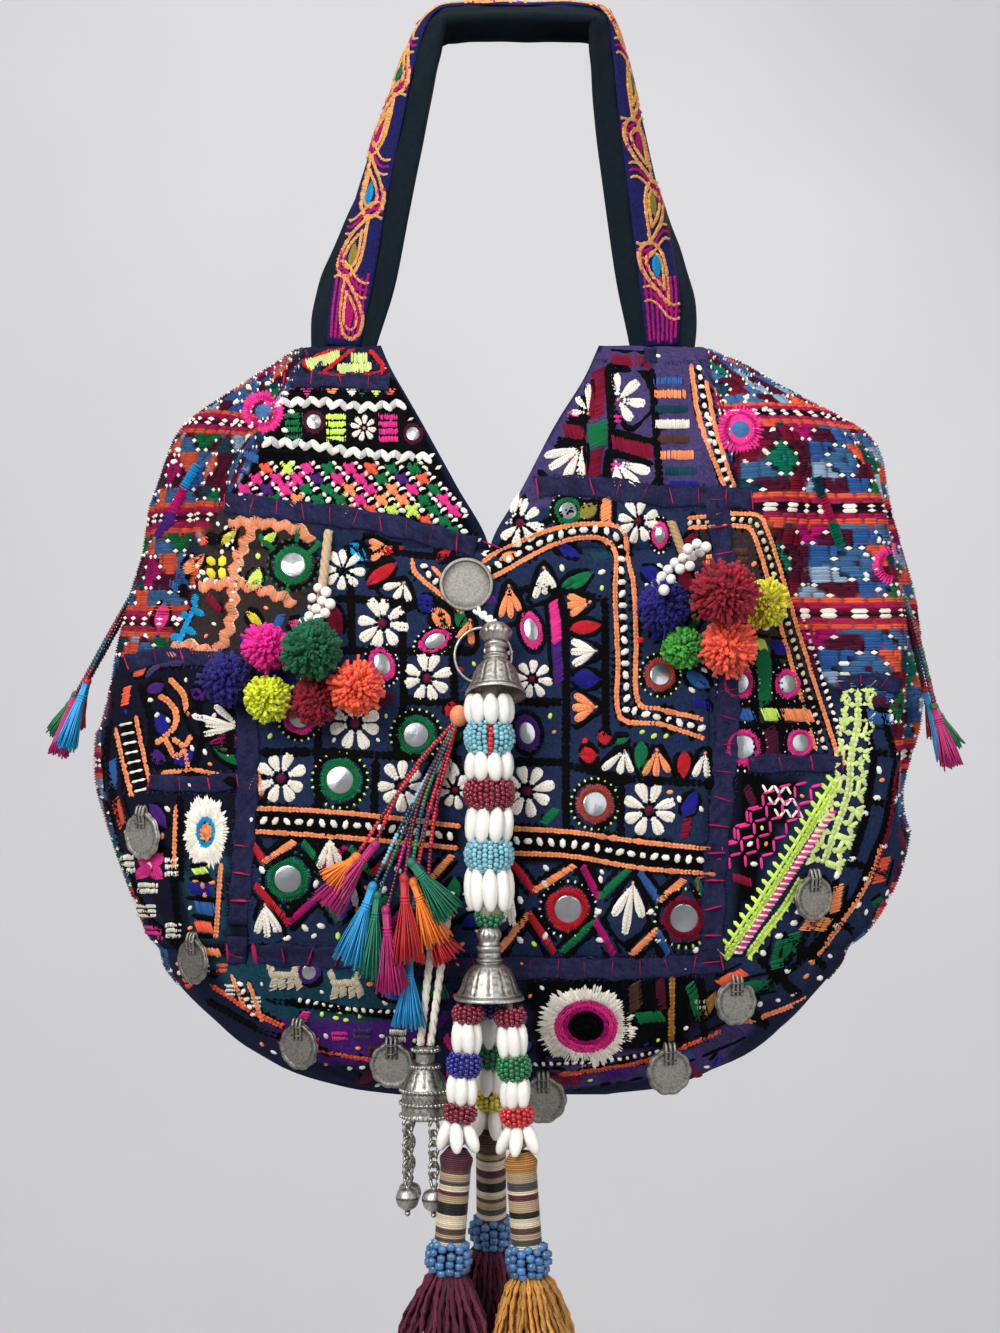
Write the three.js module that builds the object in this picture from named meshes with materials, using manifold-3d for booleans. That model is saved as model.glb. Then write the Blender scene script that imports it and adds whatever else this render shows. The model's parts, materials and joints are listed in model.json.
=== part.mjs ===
// An embroidered patchwork hobo bag that hangs by its strap, with its beaded drop, bells, coins and tassels.
// Millimetres, +Z up, front towards -Y. The origin is where the strap's inner face lies on the hook.
import * as THREE from "three";
import { mergeVertices } from "three/addons/utils/BufferGeometryUtils.js";
import Module from "manifold-3d";

const wasm = await Module();
wasm.setup();

// Driving dimensions
const WALL = 2.4; // quilted cloth
const CLEAR = 0.3; // gap between pieces that touch
const SEAM_INSET = 0.0012; // share of a half ring left open on each side of a seam
const ROW_INSET = 0.012; // share of a section row left open on each side of a seam
const WELD = 1e-4;
const CENTRE_X = -7; // plane of the V-neck and of the beaded drop
const ROUNDNESS = 2.6; // superellipse exponent of the horizontal sections
const FRONT_SHARE = 1 / 3; // share of a half ring that the front, the side and the back each take

// A list of rows with named columns.
function table(columns, rows) {
  return rows.map((row) => Object.fromEntries(row.map((value, i) => [columns[i], value])));
}

// Horizontal sections of the body from the strap ends down to the bottom line. left and right are the reach
// from the V-neck's plane, notch is half the V's width, the seams bound the front, front and back are depths.
const SECTIONS = table(
  ["z", "left", "right", "notch", "seamLeft", "seamRight", "front", "back"],
  [
    [-168, 95, 108, 54, 88, 98, 11, 10],
    [-184, 120, 142, 47, 101, 110, 23, 20],
    [-210, 160, 192, 32, 117, 118, 37, 31],
    [-240, 172, 206, 16, 132, 120, 47, 39],
    [-270, 178, 214, 0, 134, 110, 54, 44],
    [-304, 188, 221, 0, 128, 106, 61, 48],
    [-344, 195, 222, 0, 124, 105, 67, 51],
    [-384, 194, 213, 0, 121, 105, 71, 53],
    [-424, 184, 203, 0, 119, 105, 72, 53],
    [-466, 165, 181, 0, 117, 104, 65, 49],
    [-496, 143, 156, 0, 104, 96, 51, 39],
    [-520, 114, 126, 0, 84, 82, 33, 26],
    [-535, 78, 92, 0, 58, 60, 15, 12],
    [-541, 46, 58, 0, 34, 38, 0, 0],
  ],
);
const NECK_ROW = 4; // the V's point
const BASE_ROW = 9; // seam between the upright walls and the bottom
const LAST_ROW = SECTIONS.length - 1;

const PLEAT = 0.48; // where the deep side folds lie on the half ring

// Folds that dent the cloth inwards: along is the share of the half ring, top and end are section rows.
const FOLDS = table(
  ["side", "along", "width", "depth", "top", "end"],
  [
    [-1, PLEAT, 0.03, 24, 0.6, 6.4],
    [1, PLEAT, 0.03, 28, 0.6, 7.6],
    [-1, 0.365, 0.025, 7, 5.6, 9.4],
    [1, 0.4, 0.028, 7, 4.4, 9.2],
    [-1, 0.2, 0.05, 3.5, 4.6, 9],
    [1, 0.16, 0.045, 3, 5, 9.4],
    [-1, 0.8, 0.05, 6, 3, 9.5],
    [1, 0.78, 0.05, 6, 2.4, 9],
  ],
);

// Closed solids

// Positions welded, collapsed triangles dropped and faces turned outwards.
function closed(geometry) {
  const bare = new THREE.BufferGeometry().setAttribute("position", geometry.getAttribute("position"));
  if (geometry.index) bare.setIndex(geometry.index);
  const welded = mergeVertices(bare, WELD);
  const points = welded.getAttribute("position").array;
  const corner = (i) => new THREE.Vector3().fromArray(points, 3 * i);
  const kept = [];
  let volume = 0;
  for (let i = 0; i < welded.index.count; i += 3) {
    const [a, b, c] = welded.index.array.slice(i, i + 3);
    if (a === b || b === c || a === c) continue;
    kept.push([a, b, c]);
    volume += corner(a).dot(corner(b).cross(corner(c)));
  }
  const facing = kept.map(([a, b, c]) => (volume < 0 ? [a, c, b] : [a, b, c]));
  return welded.setIndex(facing.flat());
}

function solidOf(geometry) {
  const shell = closed(geometry);
  const vertProperties = new Float32Array(shell.getAttribute("position").array);
  const triVerts = new Uint32Array(shell.index.array);
  return new wasm.Manifold(new wasm.Mesh({ numProp: 3, vertProperties, triVerts }));
}

function geometryOf(solid) {
  const mesh = solid.getMesh();
  return new THREE.BufferGeometry()
    .setAttribute("position", new THREE.BufferAttribute(new Float32Array(mesh.vertProperties), 3))
    .setIndex(new THREE.BufferAttribute(new Uint32Array(mesh.triVerts), 1));
}

// Overlapping geometries as one body.
function fuse(geometries) {
  const [first, ...rest] = geometries.map(solidOf);
  return geometryOf(rest.reduce((joined, next) => joined.add(next), first));
}

// A thick sheet over a grid: outer(u, v) and inner(u, v) give its two faces for u and v from 0 to 1.
// A ring sheet joins its first column to its last and closes where its last row collapses to a line.
function sheet(columns, rows, outer, inner, isRing = false) {
  const points = [];
  const index = [];
  const across = columns + 1;
  const layer = across * (rows + 1);
  for (const face of [outer, inner])
    for (let j = 0; j <= rows; j++)
      for (let i = 0; i <= columns; i++) points.push(...face((i / columns) % (isRing ? 1 : 2), j / rows));
  const quad = (a, b, c, d) => index.push(a, b, c, a, c, d);
  const at = (i, j, depth) => depth * layer + j * across + i;
  for (let j = 0; j < rows; j++)
    for (let i = 0; i < columns; i++) {
      quad(at(i, j, 0), at(i + 1, j, 0), at(i + 1, j + 1, 0), at(i, j + 1, 0));
      quad(at(i, j, 1), at(i, j + 1, 1), at(i + 1, j + 1, 1), at(i + 1, j, 1));
    }
  for (let i = 0; i < columns; i++) {
    quad(at(i, 0, 1), at(i + 1, 0, 1), at(i + 1, 0, 0), at(i, 0, 0));
    if (!isRing) quad(at(i, rows, 0), at(i + 1, rows, 0), at(i + 1, rows, 1), at(i, rows, 1));
  }
  for (let j = 0; j < rows && !isRing; j++) {
    quad(at(0, j, 0), at(0, j + 1, 0), at(0, j + 1, 1), at(0, j, 1));
    quad(at(columns, j, 1), at(columns, j + 1, 1), at(columns, j + 1, 0), at(columns, j, 0));
  }
  const made = new THREE.BufferGeometry();
  made.setAttribute("position", new THREE.Float32BufferAttribute(points, 3)).setIndex(index);
  return closed(made);
}

// A solid of revolution about Z from [radius, z] pairs that start and end on the axis or close on themselves.
function turned(profile, sides) {
  const line = profile.map(([radius, z]) => new THREE.Vector2(radius, z));
  return closed(new THREE.LatheGeometry(line, sides).rotateX(Math.PI / 2));
}

// A round tube through points.
function tube(points, radius, sides, steps) {
  const ring = new THREE.EllipseCurve(0, 0, radius, radius).getPoints(sides).slice(0, sides);
  const section = new THREE.Shape(ring);
  const route = new THREE.CatmullRomCurve3(points.map((p) => new THREE.Vector3(...p)));
  return closed(new THREE.ExtrudeGeometry(section, { extrudePath: route, steps }));
}

// A copy moved to a place, turned first about X, Y and Z by angles in degrees.
function placed(geometry, [x, y, z], turn = [0, 0, 0]) {
  const angles = new THREE.Euler(...turn.map(THREE.MathUtils.degToRad));
  const matrix = new THREE.Matrix4().makeRotationFromEuler(angles).setPosition(x, y, z);
  return geometry.clone().applyMatrix4(matrix);
}

// The body's surface

const lerp = THREE.MathUtils.lerp;

// The section at a row number between the table's rows, by a Catmull-Rom spline in each column.
function sectionAt(row) {
  const k = Math.min(Math.max(Math.floor(row), 0), LAST_ROW - 1);
  const f = row - k;
  const rowAt = (i) => SECTIONS[Math.min(Math.max(i, 0), LAST_ROW)];
  const [p, q, r, s] = [k - 1, k, k + 1, k + 2].map(rowAt);
  const spline = (name) => {
    const [a, b, c, d] = [p, q, r, s].map((one) => one[name]);
    return b + 0.5 * f * (c - a + f * (2 * a - 5 * b + 4 * c - d + f * (3 * (b - c) + d - a)));
  };
  return Object.fromEntries(Object.keys(p).map((name) => [name, spline(name)]));
}

function rowAtHeight(z) {
  let [low, high] = [0, LAST_ROW];
  while (high - low > 1e-4) {
    const middle = (low + high) / 2;
    if (sectionAt(middle).z > z) low = middle;
    else high = middle;
  }
  return low;
}

const ARC_POWER = 2 / ROUNDNESS;
const angleOf = (share) => Math.asin(Math.min(share, 1) ** (1 / ARC_POWER));

// Half a ring runs from the front's middle edge (along 0) round the side (0.5) to the back's middle edge (1).
function ringAngle(cut, side, along, row) {
  const reach = side < 0 ? cut.left : cut.right;
  const first = angleOf((row < NECK_ROW ? Math.max(cut.notch, CLEAR) : 0) / reach);
  const seam = angleOf((side < 0 ? cut.seamLeft : cut.seamRight) / reach);
  if (along < FRONT_SHARE) return lerp(first, seam, along / FRONT_SHARE);
  if (along > 1 - FRONT_SHARE) return lerp(Math.PI - first, Math.PI - seam, (1 - along) / FRONT_SHARE);
  return lerp(seam, Math.PI - seam, (along - FRONT_SHARE) / (1 - 2 * FRONT_SHARE));
}

function foldDepth(side, along, row) {
  let depth = 0;
  for (const fold of FOLDS) {
    const down = (row - fold.top) / (fold.end - fold.top);
    if (fold.side !== side || down <= 0 || down >= 1) continue;
    const aside = (along - fold.along) / fold.width;
    depth += fold.depth * Math.sin(Math.PI * down) ** 0.7 * Math.exp(-(aside ** 2));
  }
  return depth;
}

// A point of the outer surface; side is -1 or 1, along runs round the half ring, row runs down the sections.
function skin(side, along, row) {
  const cut = sectionAt(row);
  const reach = side < 0 ? cut.left : cut.right;
  const angle = ringAngle(cut, side, along, row);
  const [sine, cosine] = [Math.sin(angle), Math.cos(angle)];
  const depth = cosine > 0 ? cut.front : cut.back;
  const dent = Math.min(foldDepth(side, along, row), 0.45 * (cut.front + cut.back));
  return new THREE.Vector3(
    CENTRE_X + side * (reach * sine ** ARC_POWER - dent * sine),
    -Math.sign(cosine) * depth * Math.abs(cosine) ** ARC_POWER + dent * cosine,
    cut.z,
  );
}

function skinNormal(side, along, row) {
  if (row > LAST_ROW - 0.01) return new THREE.Vector3(0, 0, -1);
  const [da, dr] = [0.004, 0.03];
  const [a0, a1] = [Math.max(along - da, 0), Math.min(along + da, 1)];
  const [r0, r1] = [Math.max(row - dr, 0), Math.min(row + dr, LAST_ROW)];
  const round = skin(side, a1, row).sub(skin(side, a0, row));
  const down = skin(side, along, r1).sub(skin(side, along, r0));
  return down.cross(round).multiplyScalar(side).normalize();
}

// A point a given distance outside the surface.
function offSkin(side, along, row, distance) {
  return skin(side, along, row).addScaledVector(skinNormal(side, along, row), distance);
}

// A point outside the front at x and z.
function offFront(x, z, distance) {
  const row = rowAtHeight(z);
  const cut = sectionAt(row);
  const side = x < CENTRE_X ? -1 : 1;
  let [low, high] = [0, 0.5];
  while (high - low > 1e-4) {
    const middle = (low + high) / 2;
    if (Math.abs(skin(side, middle, row).x - CENTRE_X) < Math.abs(x - CENTRE_X)) low = middle;
    else high = middle;
  }
  return new THREE.Vector3(x, skin(side, low, row).y - distance, cut.z);
}

// Finishes

function finish(color, roughness, metalness = 0) {
  return new THREE.MeshStandardMaterial({ color, roughness, metalness });
}

const FINISH = {
  patchwork: finish(0x1d2140, 0.9),
  yoke: finish(0x3a2f5a, 0.9),
  countedThread: finish(0x6a2a3a, 0.9),
  strap: finish(0x14252f, 0.8),
  trim: finish(0x2a2470, 0.85),
  silver: finish(0xa9a59b, 0.35, 0.9),
  coin: finish(0x8a887f, 0.45, 0.85),
  bone: finish(0xf0eee8, 0.3),
  cotton: finish(0xe4e2dc, 0.9),
  handle: finish(0x6d5a50, 0.5),
};
const YARN = Object.fromEntries(
  Object.entries({
    pink: 0xd81f8c,
    green: 0x0c5a37,
    navy: 0x1c1668,
    lime: 0xb9c01c,
    crimson: 0x8e1226,
    coral: 0xe8573f,
    yellow: 0xc9b92c,
    grass: 0x3f9438,
    maroon: 0x4a1428,
    ochre: 0xb07d33,
    mixed: 0xb02350,
  }).map(([name, color]) => [name, finish(color, 0.95)]),
);

const bag = new THREE.Group();
const inPlace = []; // solids of the pieces added so far, in the bag's own frame

function addPiece(name, geometry, material, parent = bag) {
  const mesh = new THREE.Mesh(geometry, material);
  mesh.name = name;
  parent.add(mesh);
  mesh.updateWorldMatrix(true, false);
  inPlace.push(solidOf(geometry.clone().applyMatrix4(mesh.matrixWorld)));
}

const INWARDS = [0, 1, 0]; // from in front of the bag towards its cloth
const SETTLE = { steps: 60, reach: 80, close: 0.03 };

// A piece slid along a direction until only the clear gap is left to what is already in place.
function settled(geometry, direction = INWARDS) {
  const solid = solidOf(geometry);
  const shift = (travel) => direction.map((share) => share * travel);
  let travel = 0;
  for (let i = 0; i < SETTLE.steps; i++) {
    const moved = solid.translate(shift(travel));
    const gap = Math.min(...inPlace.map((other) => moved.minGap(other, SETTLE.reach))) - CLEAR;
    if (gap < SETTLE.close) break;
    travel += gap;
  }
  return geometry.clone().translate(...shift(travel));
}

// Cloth walls

const YOKE_STEPS = 5;
const WALL_STEPS = 6;
const SIDE_STEPS = YOKE_STEPS + WALL_STEPS;
const YOKE_COLUMNS = 5;
const FRONT_COLUMNS = 14;
const BACK_COLUMNS = 12;
const BOWL = { columns: 30, rows: 5 };
// Columns of a side panel as offsets from the pleat, close together where it dents.
const PLEAT_COLUMNS = [-0.108, -0.075, -0.05, -0.03, -0.015, 0, 0.015, 0.03, 0.05, 0.075, 0.11, 0.148];
const SIDE_COLUMNS = [FRONT_SHARE, ...PLEAT_COLUMNS.map((offset) => PLEAT + offset), 1 - FRONT_SHARE];

// A yoke over part of one half ring, inset at each seam.
function yokeFaces(side, along) {
  const face = (depth) => (u, v) => {
    const a = lerp(along[0] + SEAM_INSET, along[1] - SEAM_INSET, u);
    return offSkin(side, a, lerp(ROW_INSET, NECK_ROW - ROW_INSET, v), -depth);
  };
  return [face(0), face(WALL)];
}

// A side panel from the strap to the base seam, on the rows of the yokes and then of the front and back.
function sideFaces(side) {
  const last = SIDE_COLUMNS.length - 1;
  const face = (depth) => (u, v) => {
    const column = Math.round(u * last);
    const inset = column === 0 ? SEAM_INSET : column === last ? -SEAM_INSET : 0;
    const step = v * SIDE_STEPS;
    const row =
      step < YOKE_STEPS
        ? lerp(ROW_INSET, NECK_ROW, step / YOKE_STEPS)
        : lerp(NECK_ROW, BASE_ROW - ROW_INSET, (step - YOKE_STEPS) / WALL_STEPS);
    return offSkin(side, SIDE_COLUMNS[column] + inset, row, -depth);
  };
  return [face(0), face(WALL)];
}

// A wall that crosses the middle: u runs from the left seam through the middle to the right seam.
function middleFaces(atFront, rows) {
  const face = (depth) => (u, v) => {
    const side = u < 0.5 ? -1 : 1;
    const out = Math.abs(2 * u - 1) * (FRONT_SHARE - SEAM_INSET);
    return offSkin(side, atFront ? out : 1 - out, lerp(rows[0] + ROW_INSET, rows[1] - ROW_INSET, v), -depth);
  };
  return [face(0), face(WALL)];
}

function addBody() {
  const walls = [NECK_ROW, BASE_ROW];
  addPiece("front_panel", sheet(FRONT_COLUMNS, WALL_STEPS, ...middleFaces(true, walls)), FINISH.patchwork);
  addPiece("back_panel", sheet(BACK_COLUMNS, WALL_STEPS, ...middleFaces(false, walls)), FINISH.patchwork);
  for (const [word, side] of [["left", -1], ["right", 1]]) {
    const front = [0, FRONT_SHARE];
    const back = [1 - FRONT_SHARE, 1];
    const sideColumns = SIDE_COLUMNS.length - 1;
    addPiece(`front_${word}_yoke`, sheet(YOKE_COLUMNS, YOKE_STEPS, ...yokeFaces(side, front)), FINISH.yoke);
    addPiece(`back_${word}_yoke`, sheet(YOKE_COLUMNS, YOKE_STEPS, ...yokeFaces(side, back)), FINISH.yoke);
    addPiece(`${word}_side_panel`, sheet(sideColumns, SIDE_STEPS, ...sideFaces(side)), FINISH.countedThread);
  }
  addPiece("bottom_panel", bottomBowl(), FINISH.patchwork);
}

// The bowl under the base seam: u goes once round, left front to back and right back to front.
function bottomBowl() {
  const face = (depth) => (u, v) => {
    const side = u < 0.5 ? -1 : 1;
    const along = side < 0 ? 2 * u : 2 - 2 * u;
    return offSkin(side, along, lerp(BASE_ROW + ROW_INSET, LAST_ROW, v), -depth);
  };
  return sheet(BOWL.columns, BOWL.rows, face(0), face(WALL), true);
}

// The shoulder strap

const STRAP_THICK = 2.6;
const STRAP_CURL = THREE.MathUtils.degToRad(52); // half the arc of a fully curled section
const TRIM_THICK = 1.2;
const TRIM_SHARE = 0.5; // share of the strap's width under the embroidered strip
const STRAP_STEPS = 24;
const TRIM_START = 2; // steps from each end of the strap where its strip starts

// Stations from the left end, inside the left peak, over the hook to the right end. twist turns the strap
// from facing front (0) to facing away from the loop's middle (90).
const STRAP_ROUTE = table(
  ["x", "z", "twist", "width", "curl"],
  [
    [-80, -184, 0, 29, 0],
    [-80, -165, 3, 33, 0.1],
    [-75, -134, 25, 43, 0.6],
    [-67, -94, 46, 47, 0.9],
    [-57, -54, 60, 48, 1],
    [-47, -22, 74, 48, 1],
    [-36, -3, 88, 48, 1],
    [-20, 1.3, 90, 48, 1],
    [8, 1.3, 90, 48, 1],
    [36, 1.3, 90, 48, 1],
    [51, -3, 88, 48, 1],
    [58, -22, 74, 48, 1],
    [64, -54, 60, 48, 1],
    [71, -94, 46, 47, 0.9],
    [77, -134, 25, 43, 0.6],
    [79, -165, 3, 33, 0.1],
    [79, -184, 0, 29, 0],
  ],
);

// A point of the strap: across runs over its width from -1 to 1, rise is the height above its middle layer.
function strapPoint(place, across, rise) {
  const last = STRAP_ROUTE.length - 1;
  const spot = Math.min(Math.max(place, 0), 1) * last;
  const k = Math.min(Math.floor(spot), last - 1);
  const station = (name) => lerp(STRAP_ROUTE[k][name], STRAP_ROUTE[k + 1][name], spot - k);
  const ahead = strapRoute.getTangent(Math.min(Math.max(place, 0), 1));
  const middle = strapRoute.getPoint(Math.min(Math.max(place, 0), 1));
  const twist = THREE.MathUtils.degToRad(station("twist"));
  const away = new THREE.Vector3(-ahead.z, 0, ahead.x);
  const normal = away.multiplyScalar(Math.sin(twist)).add(new THREE.Vector3(0, -Math.cos(twist), 0));
  const aside = ahead.clone().cross(normal);
  const arc = Math.max(STRAP_CURL * station("curl"), 1e-3);
  const radius = station("width") / 2 / arc;
  return middle
    .addScaledVector(aside, (radius + rise) * Math.sin(arc * across))
    .addScaledVector(normal, (radius + rise) * Math.cos(arc * across) - radius);
}

const strapRoute = new THREE.CatmullRomCurve3(STRAP_ROUTE.map(({ x, z }) => new THREE.Vector3(x, 0, z)));

function addStrap() {
  const face = (rise) => (u, v) => strapPoint(v, 2 * u - 1, rise);
  const half = STRAP_THICK / 2;
  addPiece("shoulder_strap", sheet(4, STRAP_STEPS, face(half), face(-half)), FINISH.strap);
  const start = TRIM_START / STRAP_STEPS;
  const low = half + CLEAR;
  const strip = (rise) => (u, v) => strapPoint(lerp(start, 1 - start, v), (2 * u - 1) * TRIM_SHARE, rise);
  const steps = STRAP_STEPS - 2 * TRIM_START;
  addPiece("strap_trim", sheet(2, steps, strip(low + TRIM_THICK), strip(low)), FINISH.trim);
}

// Coin button, its cord loop and the split ring

const BUTTON = { x: -18, z: -288, radius: 12.8, thick: 1.8, tilt: -6 };
const BUTTON_LOOP = {
  radius: 1.5,
  route: [
    [-13.4, -63.9, -300],
    [-9, -68.2, -303.2],
    [-4.8, -74.4, -306],
  ],
};
const RING = { x: -10, z: -322, radius: 13.4, wire: 1.1, tilt: 84 };
const DROP_Y = -89; // axis of the beaded drop, clear of the belly
const UPPER_BELL = { x: -4, y: -75, z: -307, tilt: -22 };

function addButton() {
  const seat = offFront(BUTTON.x, BUTTON.z, 2 * CLEAR + BUTTON.thick);
  const disc = new THREE.CylinderGeometry(BUTTON.radius, BUTTON.radius, BUTTON.thick, 20);
  addPiece("coin_button", settled(placed(closed(disc), seat.toArray(), [BUTTON.tilt, 0, 0])), FINISH.coin);
  const ringY = offFront(RING.x, RING.z, RING.wire + 2 * CLEAR).y;
  const ring = closed(new THREE.TorusGeometry(RING.radius, RING.wire, 5, 18));
  addPiece("split_ring", settled(placed(ring, [RING.x, ringY, RING.z], [RING.tilt, 0, 0])), FINISH.silver);
  addPiece("button_loop", tube(BUTTON_LOOP.route, BUTTON_LOOP.radius, 6, 4), FINISH.cotton);
}

// The beaded drop

const BELL_SIDES = 13;
const BEAD_SIDES = 10;

// A solid about Z whose rows hold z, radius and groove: every other point of a row lies deeper by its groove.
function lobed(rows, lobes) {
  const around = 2 * lobes;
  const points = rows.flatMap(({ z, radius, groove }) =>
    Array.from({ length: around }, (_, i) => {
      const turn = (Math.PI * i) / lobes;
      const reach = radius * (i % 2 ? 1 - groove : 1);
      return [reach * Math.cos(turn), reach * Math.sin(turn), z];
    }),
  );
  points.push([0, 0, rows[0].z], [0, 0, rows.at(-1).z]);
  const index = [];
  const base = (rows.length - 1) * around;
  for (let i = 0; i < around; i++) {
    const next = (i + 1) % around;
    index.push(points.length - 2, i, next, points.length - 1, base + next, base + i);
    for (let low = 0; low < base; low += around)
      index.push(low + i, low + around + next, low + next, low + i, low + around + i, low + around + next);
  }
  const made = new THREE.BufferGeometry();
  made.setAttribute("position", new THREE.Float32BufferAttribute(points.flat(), 3)).setIndex(index);
  return closed(made);
}

const barrel = (radius, height, sides) =>
  turned(
    [
      [0, -height / 2],
      [0.72 * radius, -height / 2],
      [radius, 0],
      [0.72 * radius, height / 2],
      [0, height / 2],
    ],
    sides,
  );

// A hollow bell below its stem: the outer profile goes down to the rim and the inner one back up.
function bellShape({ stem, mouth, length, knob, wall }) {
  return turned(
    [
      [0, 0],
      [0.6 * knob, -0.02 * length],
      [knob, -0.14 * length],
      [stem, -0.27 * length],
      [stem, -0.5 * length],
      [0.7 * mouth, -0.7 * length],
      [mouth, -length],
      [mouth - wall, -length],
      [0.7 * mouth - wall, -0.73 * length],
      [0, -0.68 * length],
    ],
    BELL_SIDES,
  );
}

// How a tier's rows lie: at is the share of its height, out the share of its radius.
const TIER_ROWS = {
  seed: table(["at", "out", "groove"], [[0.08, 0.9, 0], [0.5, 1, 0], [0.92, 0.9, 0]]),
  bone: table(["at", "out", "groove"], [[0.04, 0.74, 0.12], [0.5, 1, 0.27], [0.96, 0.74, 0.12]]),
};

// Tiers downwards: seed is one ring of seed beads, bone is a sheaf of oval bone beads.
const UPPER_TIERS = table(
  ["kind", "height", "radius"],
  [
    ["bone", 11, 12],
    ["seed", 15.4, 12.2],
    ["bone", 11, 12],
    ["seed", 14.6, 12.4],
    ["bone", 13.6, 12],
    ["seed", 14.9, 12],
    ["bone", 16.5, 12],
    ["seed", 8.7, 7.2],
  ],
);
const LOWER_TIERS = table(
  ["kind", "height", "radius"],
  [
    ["seed", 8, 8],
    ["bone", 14, 7.6],
    ["seed", 11, 8.6],
    ["bone", 12.5, 7.6],
    ["seed", 8.5, 8.2],
    ["bone", 12.5, 8.2],
  ],
);

// A strand from its core's top through its tiers, each tier on a row of its own height.
function strandShape(tiers, top, neck, lobes) {
  const rows = [top + neck.length, top].map((z) => ({ z, radius: neck.radius, groove: 0 }));
  let z = top;
  for (const { kind, height, radius } of tiers) {
    for (const { at, out, groove } of TIER_ROWS[kind])
      rows.push({ z: z - at * height, radius: out * radius, groove });
    z -= height;
  }
  return lobed(rows, lobes);
}

const UPPER_STRAND = { top: -341, lobes: 6, neck: { radius: 4, length: 6 } };
const UPPER_BELL_SHAPE = { stem: 5, mouth: 14.2, length: 36, knob: 7.8, wall: 1 };
const LOWER_BELL = { z: -446.1, stem: 5.4, mouth: 16.2, length: 34.6, knob: 5.8, wall: 1 };
const LOWER_STRAND = { top: -2.2, lobes: 4, neck: { radius: 1.6, length: 8 } };

// The three strands below the lower bell. x and y start from the bell's axis, lean and pitch tip the strand.
const STRANDS = table(
  ["name", "x", "y", "lean", "pitch", "drop", "yarn"],
  [
    ["left", -9.2, -5, 4.6, 0, 0, "maroon"],
    ["right", 9.2, -5, -4.2, 0, 1.5, "ochre"],
    ["rear", 0, 9.6, -0.5, 12, -0.7, "maroon"],
  ],
);
const HANDLE = { top: 69, knob: 8, grip: 7.2, collarTop: 111.5, collar: 11.4, end: 126 };
const TASSEL = { top: 126.4, end: 205, neck: 9, flare: 19.5, locks: 9, groove: 0.13 };

function handleShape() {
  const { top, knob, grip, collarTop, collar, end } = HANDLE;
  return turned(
    [
      [0, -top],
      [0.6 * knob, -top],
      [knob, -top - 4],
      [grip, -top - 8.5],
      [grip, -collarTop],
      [collar, lerp(-collarTop, -end, 0.35)],
      [collar, lerp(-collarTop, -end, 0.65)],
      [0.75 * collar, -end],
      [0, -end],
    ],
    BEAD_SIDES,
  );
}

function tasselShape() {
  const { top, end, neck, flare, locks, groove } = TASSEL;
  const rows = table(
    ["z", "radius", "groove"],
    [
      [-top, neck, 0],
      [-top - 6, 1.4 * neck, groove],
      [lerp(-top, -end, 0.45), 0.92 * flare, groove],
      [-end, flare, groove],
    ],
  );
  return lobed(rows, locks);
}

function addDrop() {
  const { x, y, z, tilt } = UPPER_BELL;
  addPiece("upper_bell", placed(bellShape(UPPER_BELL_SHAPE), [x, y, z], [tilt, 0, 0]), FINISH.silver);
  const drop = new THREE.Group();
  drop.position.set(CENTRE_X, DROP_Y, 0);
  bag.add(drop);
  const upper = strandShape(UPPER_TIERS, UPPER_STRAND.top, UPPER_STRAND.neck, UPPER_STRAND.lobes);
  addPiece("upper_bead_strand", upper, FINISH.bone, drop);
  addPiece("lower_bell", placed(bellShape(LOWER_BELL), [0, 0, LOWER_BELL.z - CLEAR]), FINISH.silver, drop);
  const lower = strandShape(LOWER_TIERS, LOWER_STRAND.top, LOWER_STRAND.neck, LOWER_STRAND.lobes);
  for (const strand of STRANDS) {
    const group = new THREE.Group();
    group.position.set(strand.x, strand.y, LOWER_BELL.z - LOWER_BELL.length - strand.drop);
    group.rotation.set(THREE.MathUtils.degToRad(strand.pitch), THREE.MathUtils.degToRad(strand.lean), 0);
    drop.add(group);
    addPiece(`${strand.name}_bead_strand`, lower, FINISH.bone, group);
    addPiece(`${strand.name}_wrapped_handle`, handleShape(), FINISH.handle, group);
    addPiece(`${strand.name}_yarn_tassel`, tasselShape(), YARN[strand.yarn], group);
  }
}

// The jhumka: a small domed bell on two cotton cords, with three ball drops

const JHUMKA = { x: -37, y: -75, z: -505, radius: 11.6, height: 33 };
const JHUMKA_CORDS = table(
  ["name", "startX", "startZ", "endX"],
  [
    ["left_jhumka_cord", -31.5, -433, -39.4],
    ["right_jhumka_cord", -25, -433, -34.6],
  ],
);
const CORD_RADIUS = 2;
const BALLS = table(
  ["name", "turn"],
  [
    ["front_ball_drop", -65],
    ["side_ball_drop", -145],
    ["rear_ball_drop", 140],
  ],
);
const BALL_INSET = 1.7; // from the bell's outside to a ball drop's axis

// The dome down to its rim and back up inside.
function jhumkaShape({ radius, height }) {
  const inner = radius - 2.4;
  return turned(
    [
      [0, 0],
      [5.4, 0],
      [6.2, -1.5],
      [4.6, -3],
      [4.6, -7.5],
      [6.4, -9],
      [9.6, -15],
      [radius, -20],
      [radius, 1 - height],
      [radius - 1, -height],
      [inner, -height],
      [inner, -20],
      [0, -12],
    ],
    BELL_SIDES,
  );
}

// A rod for the chain, a ball and the nib under it.
function ballDropShape() {
  return turned(
    [
      [0, 0],
      [1.9, 0],
      [1.9, -30],
      [4.6, -32.5],
      [5.6, -36.5],
      [4.2, -41],
      [1.4, -43],
      [1.4, -45],
      [0, -45],
    ],
    BEAD_SIDES,
  );
}

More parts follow.
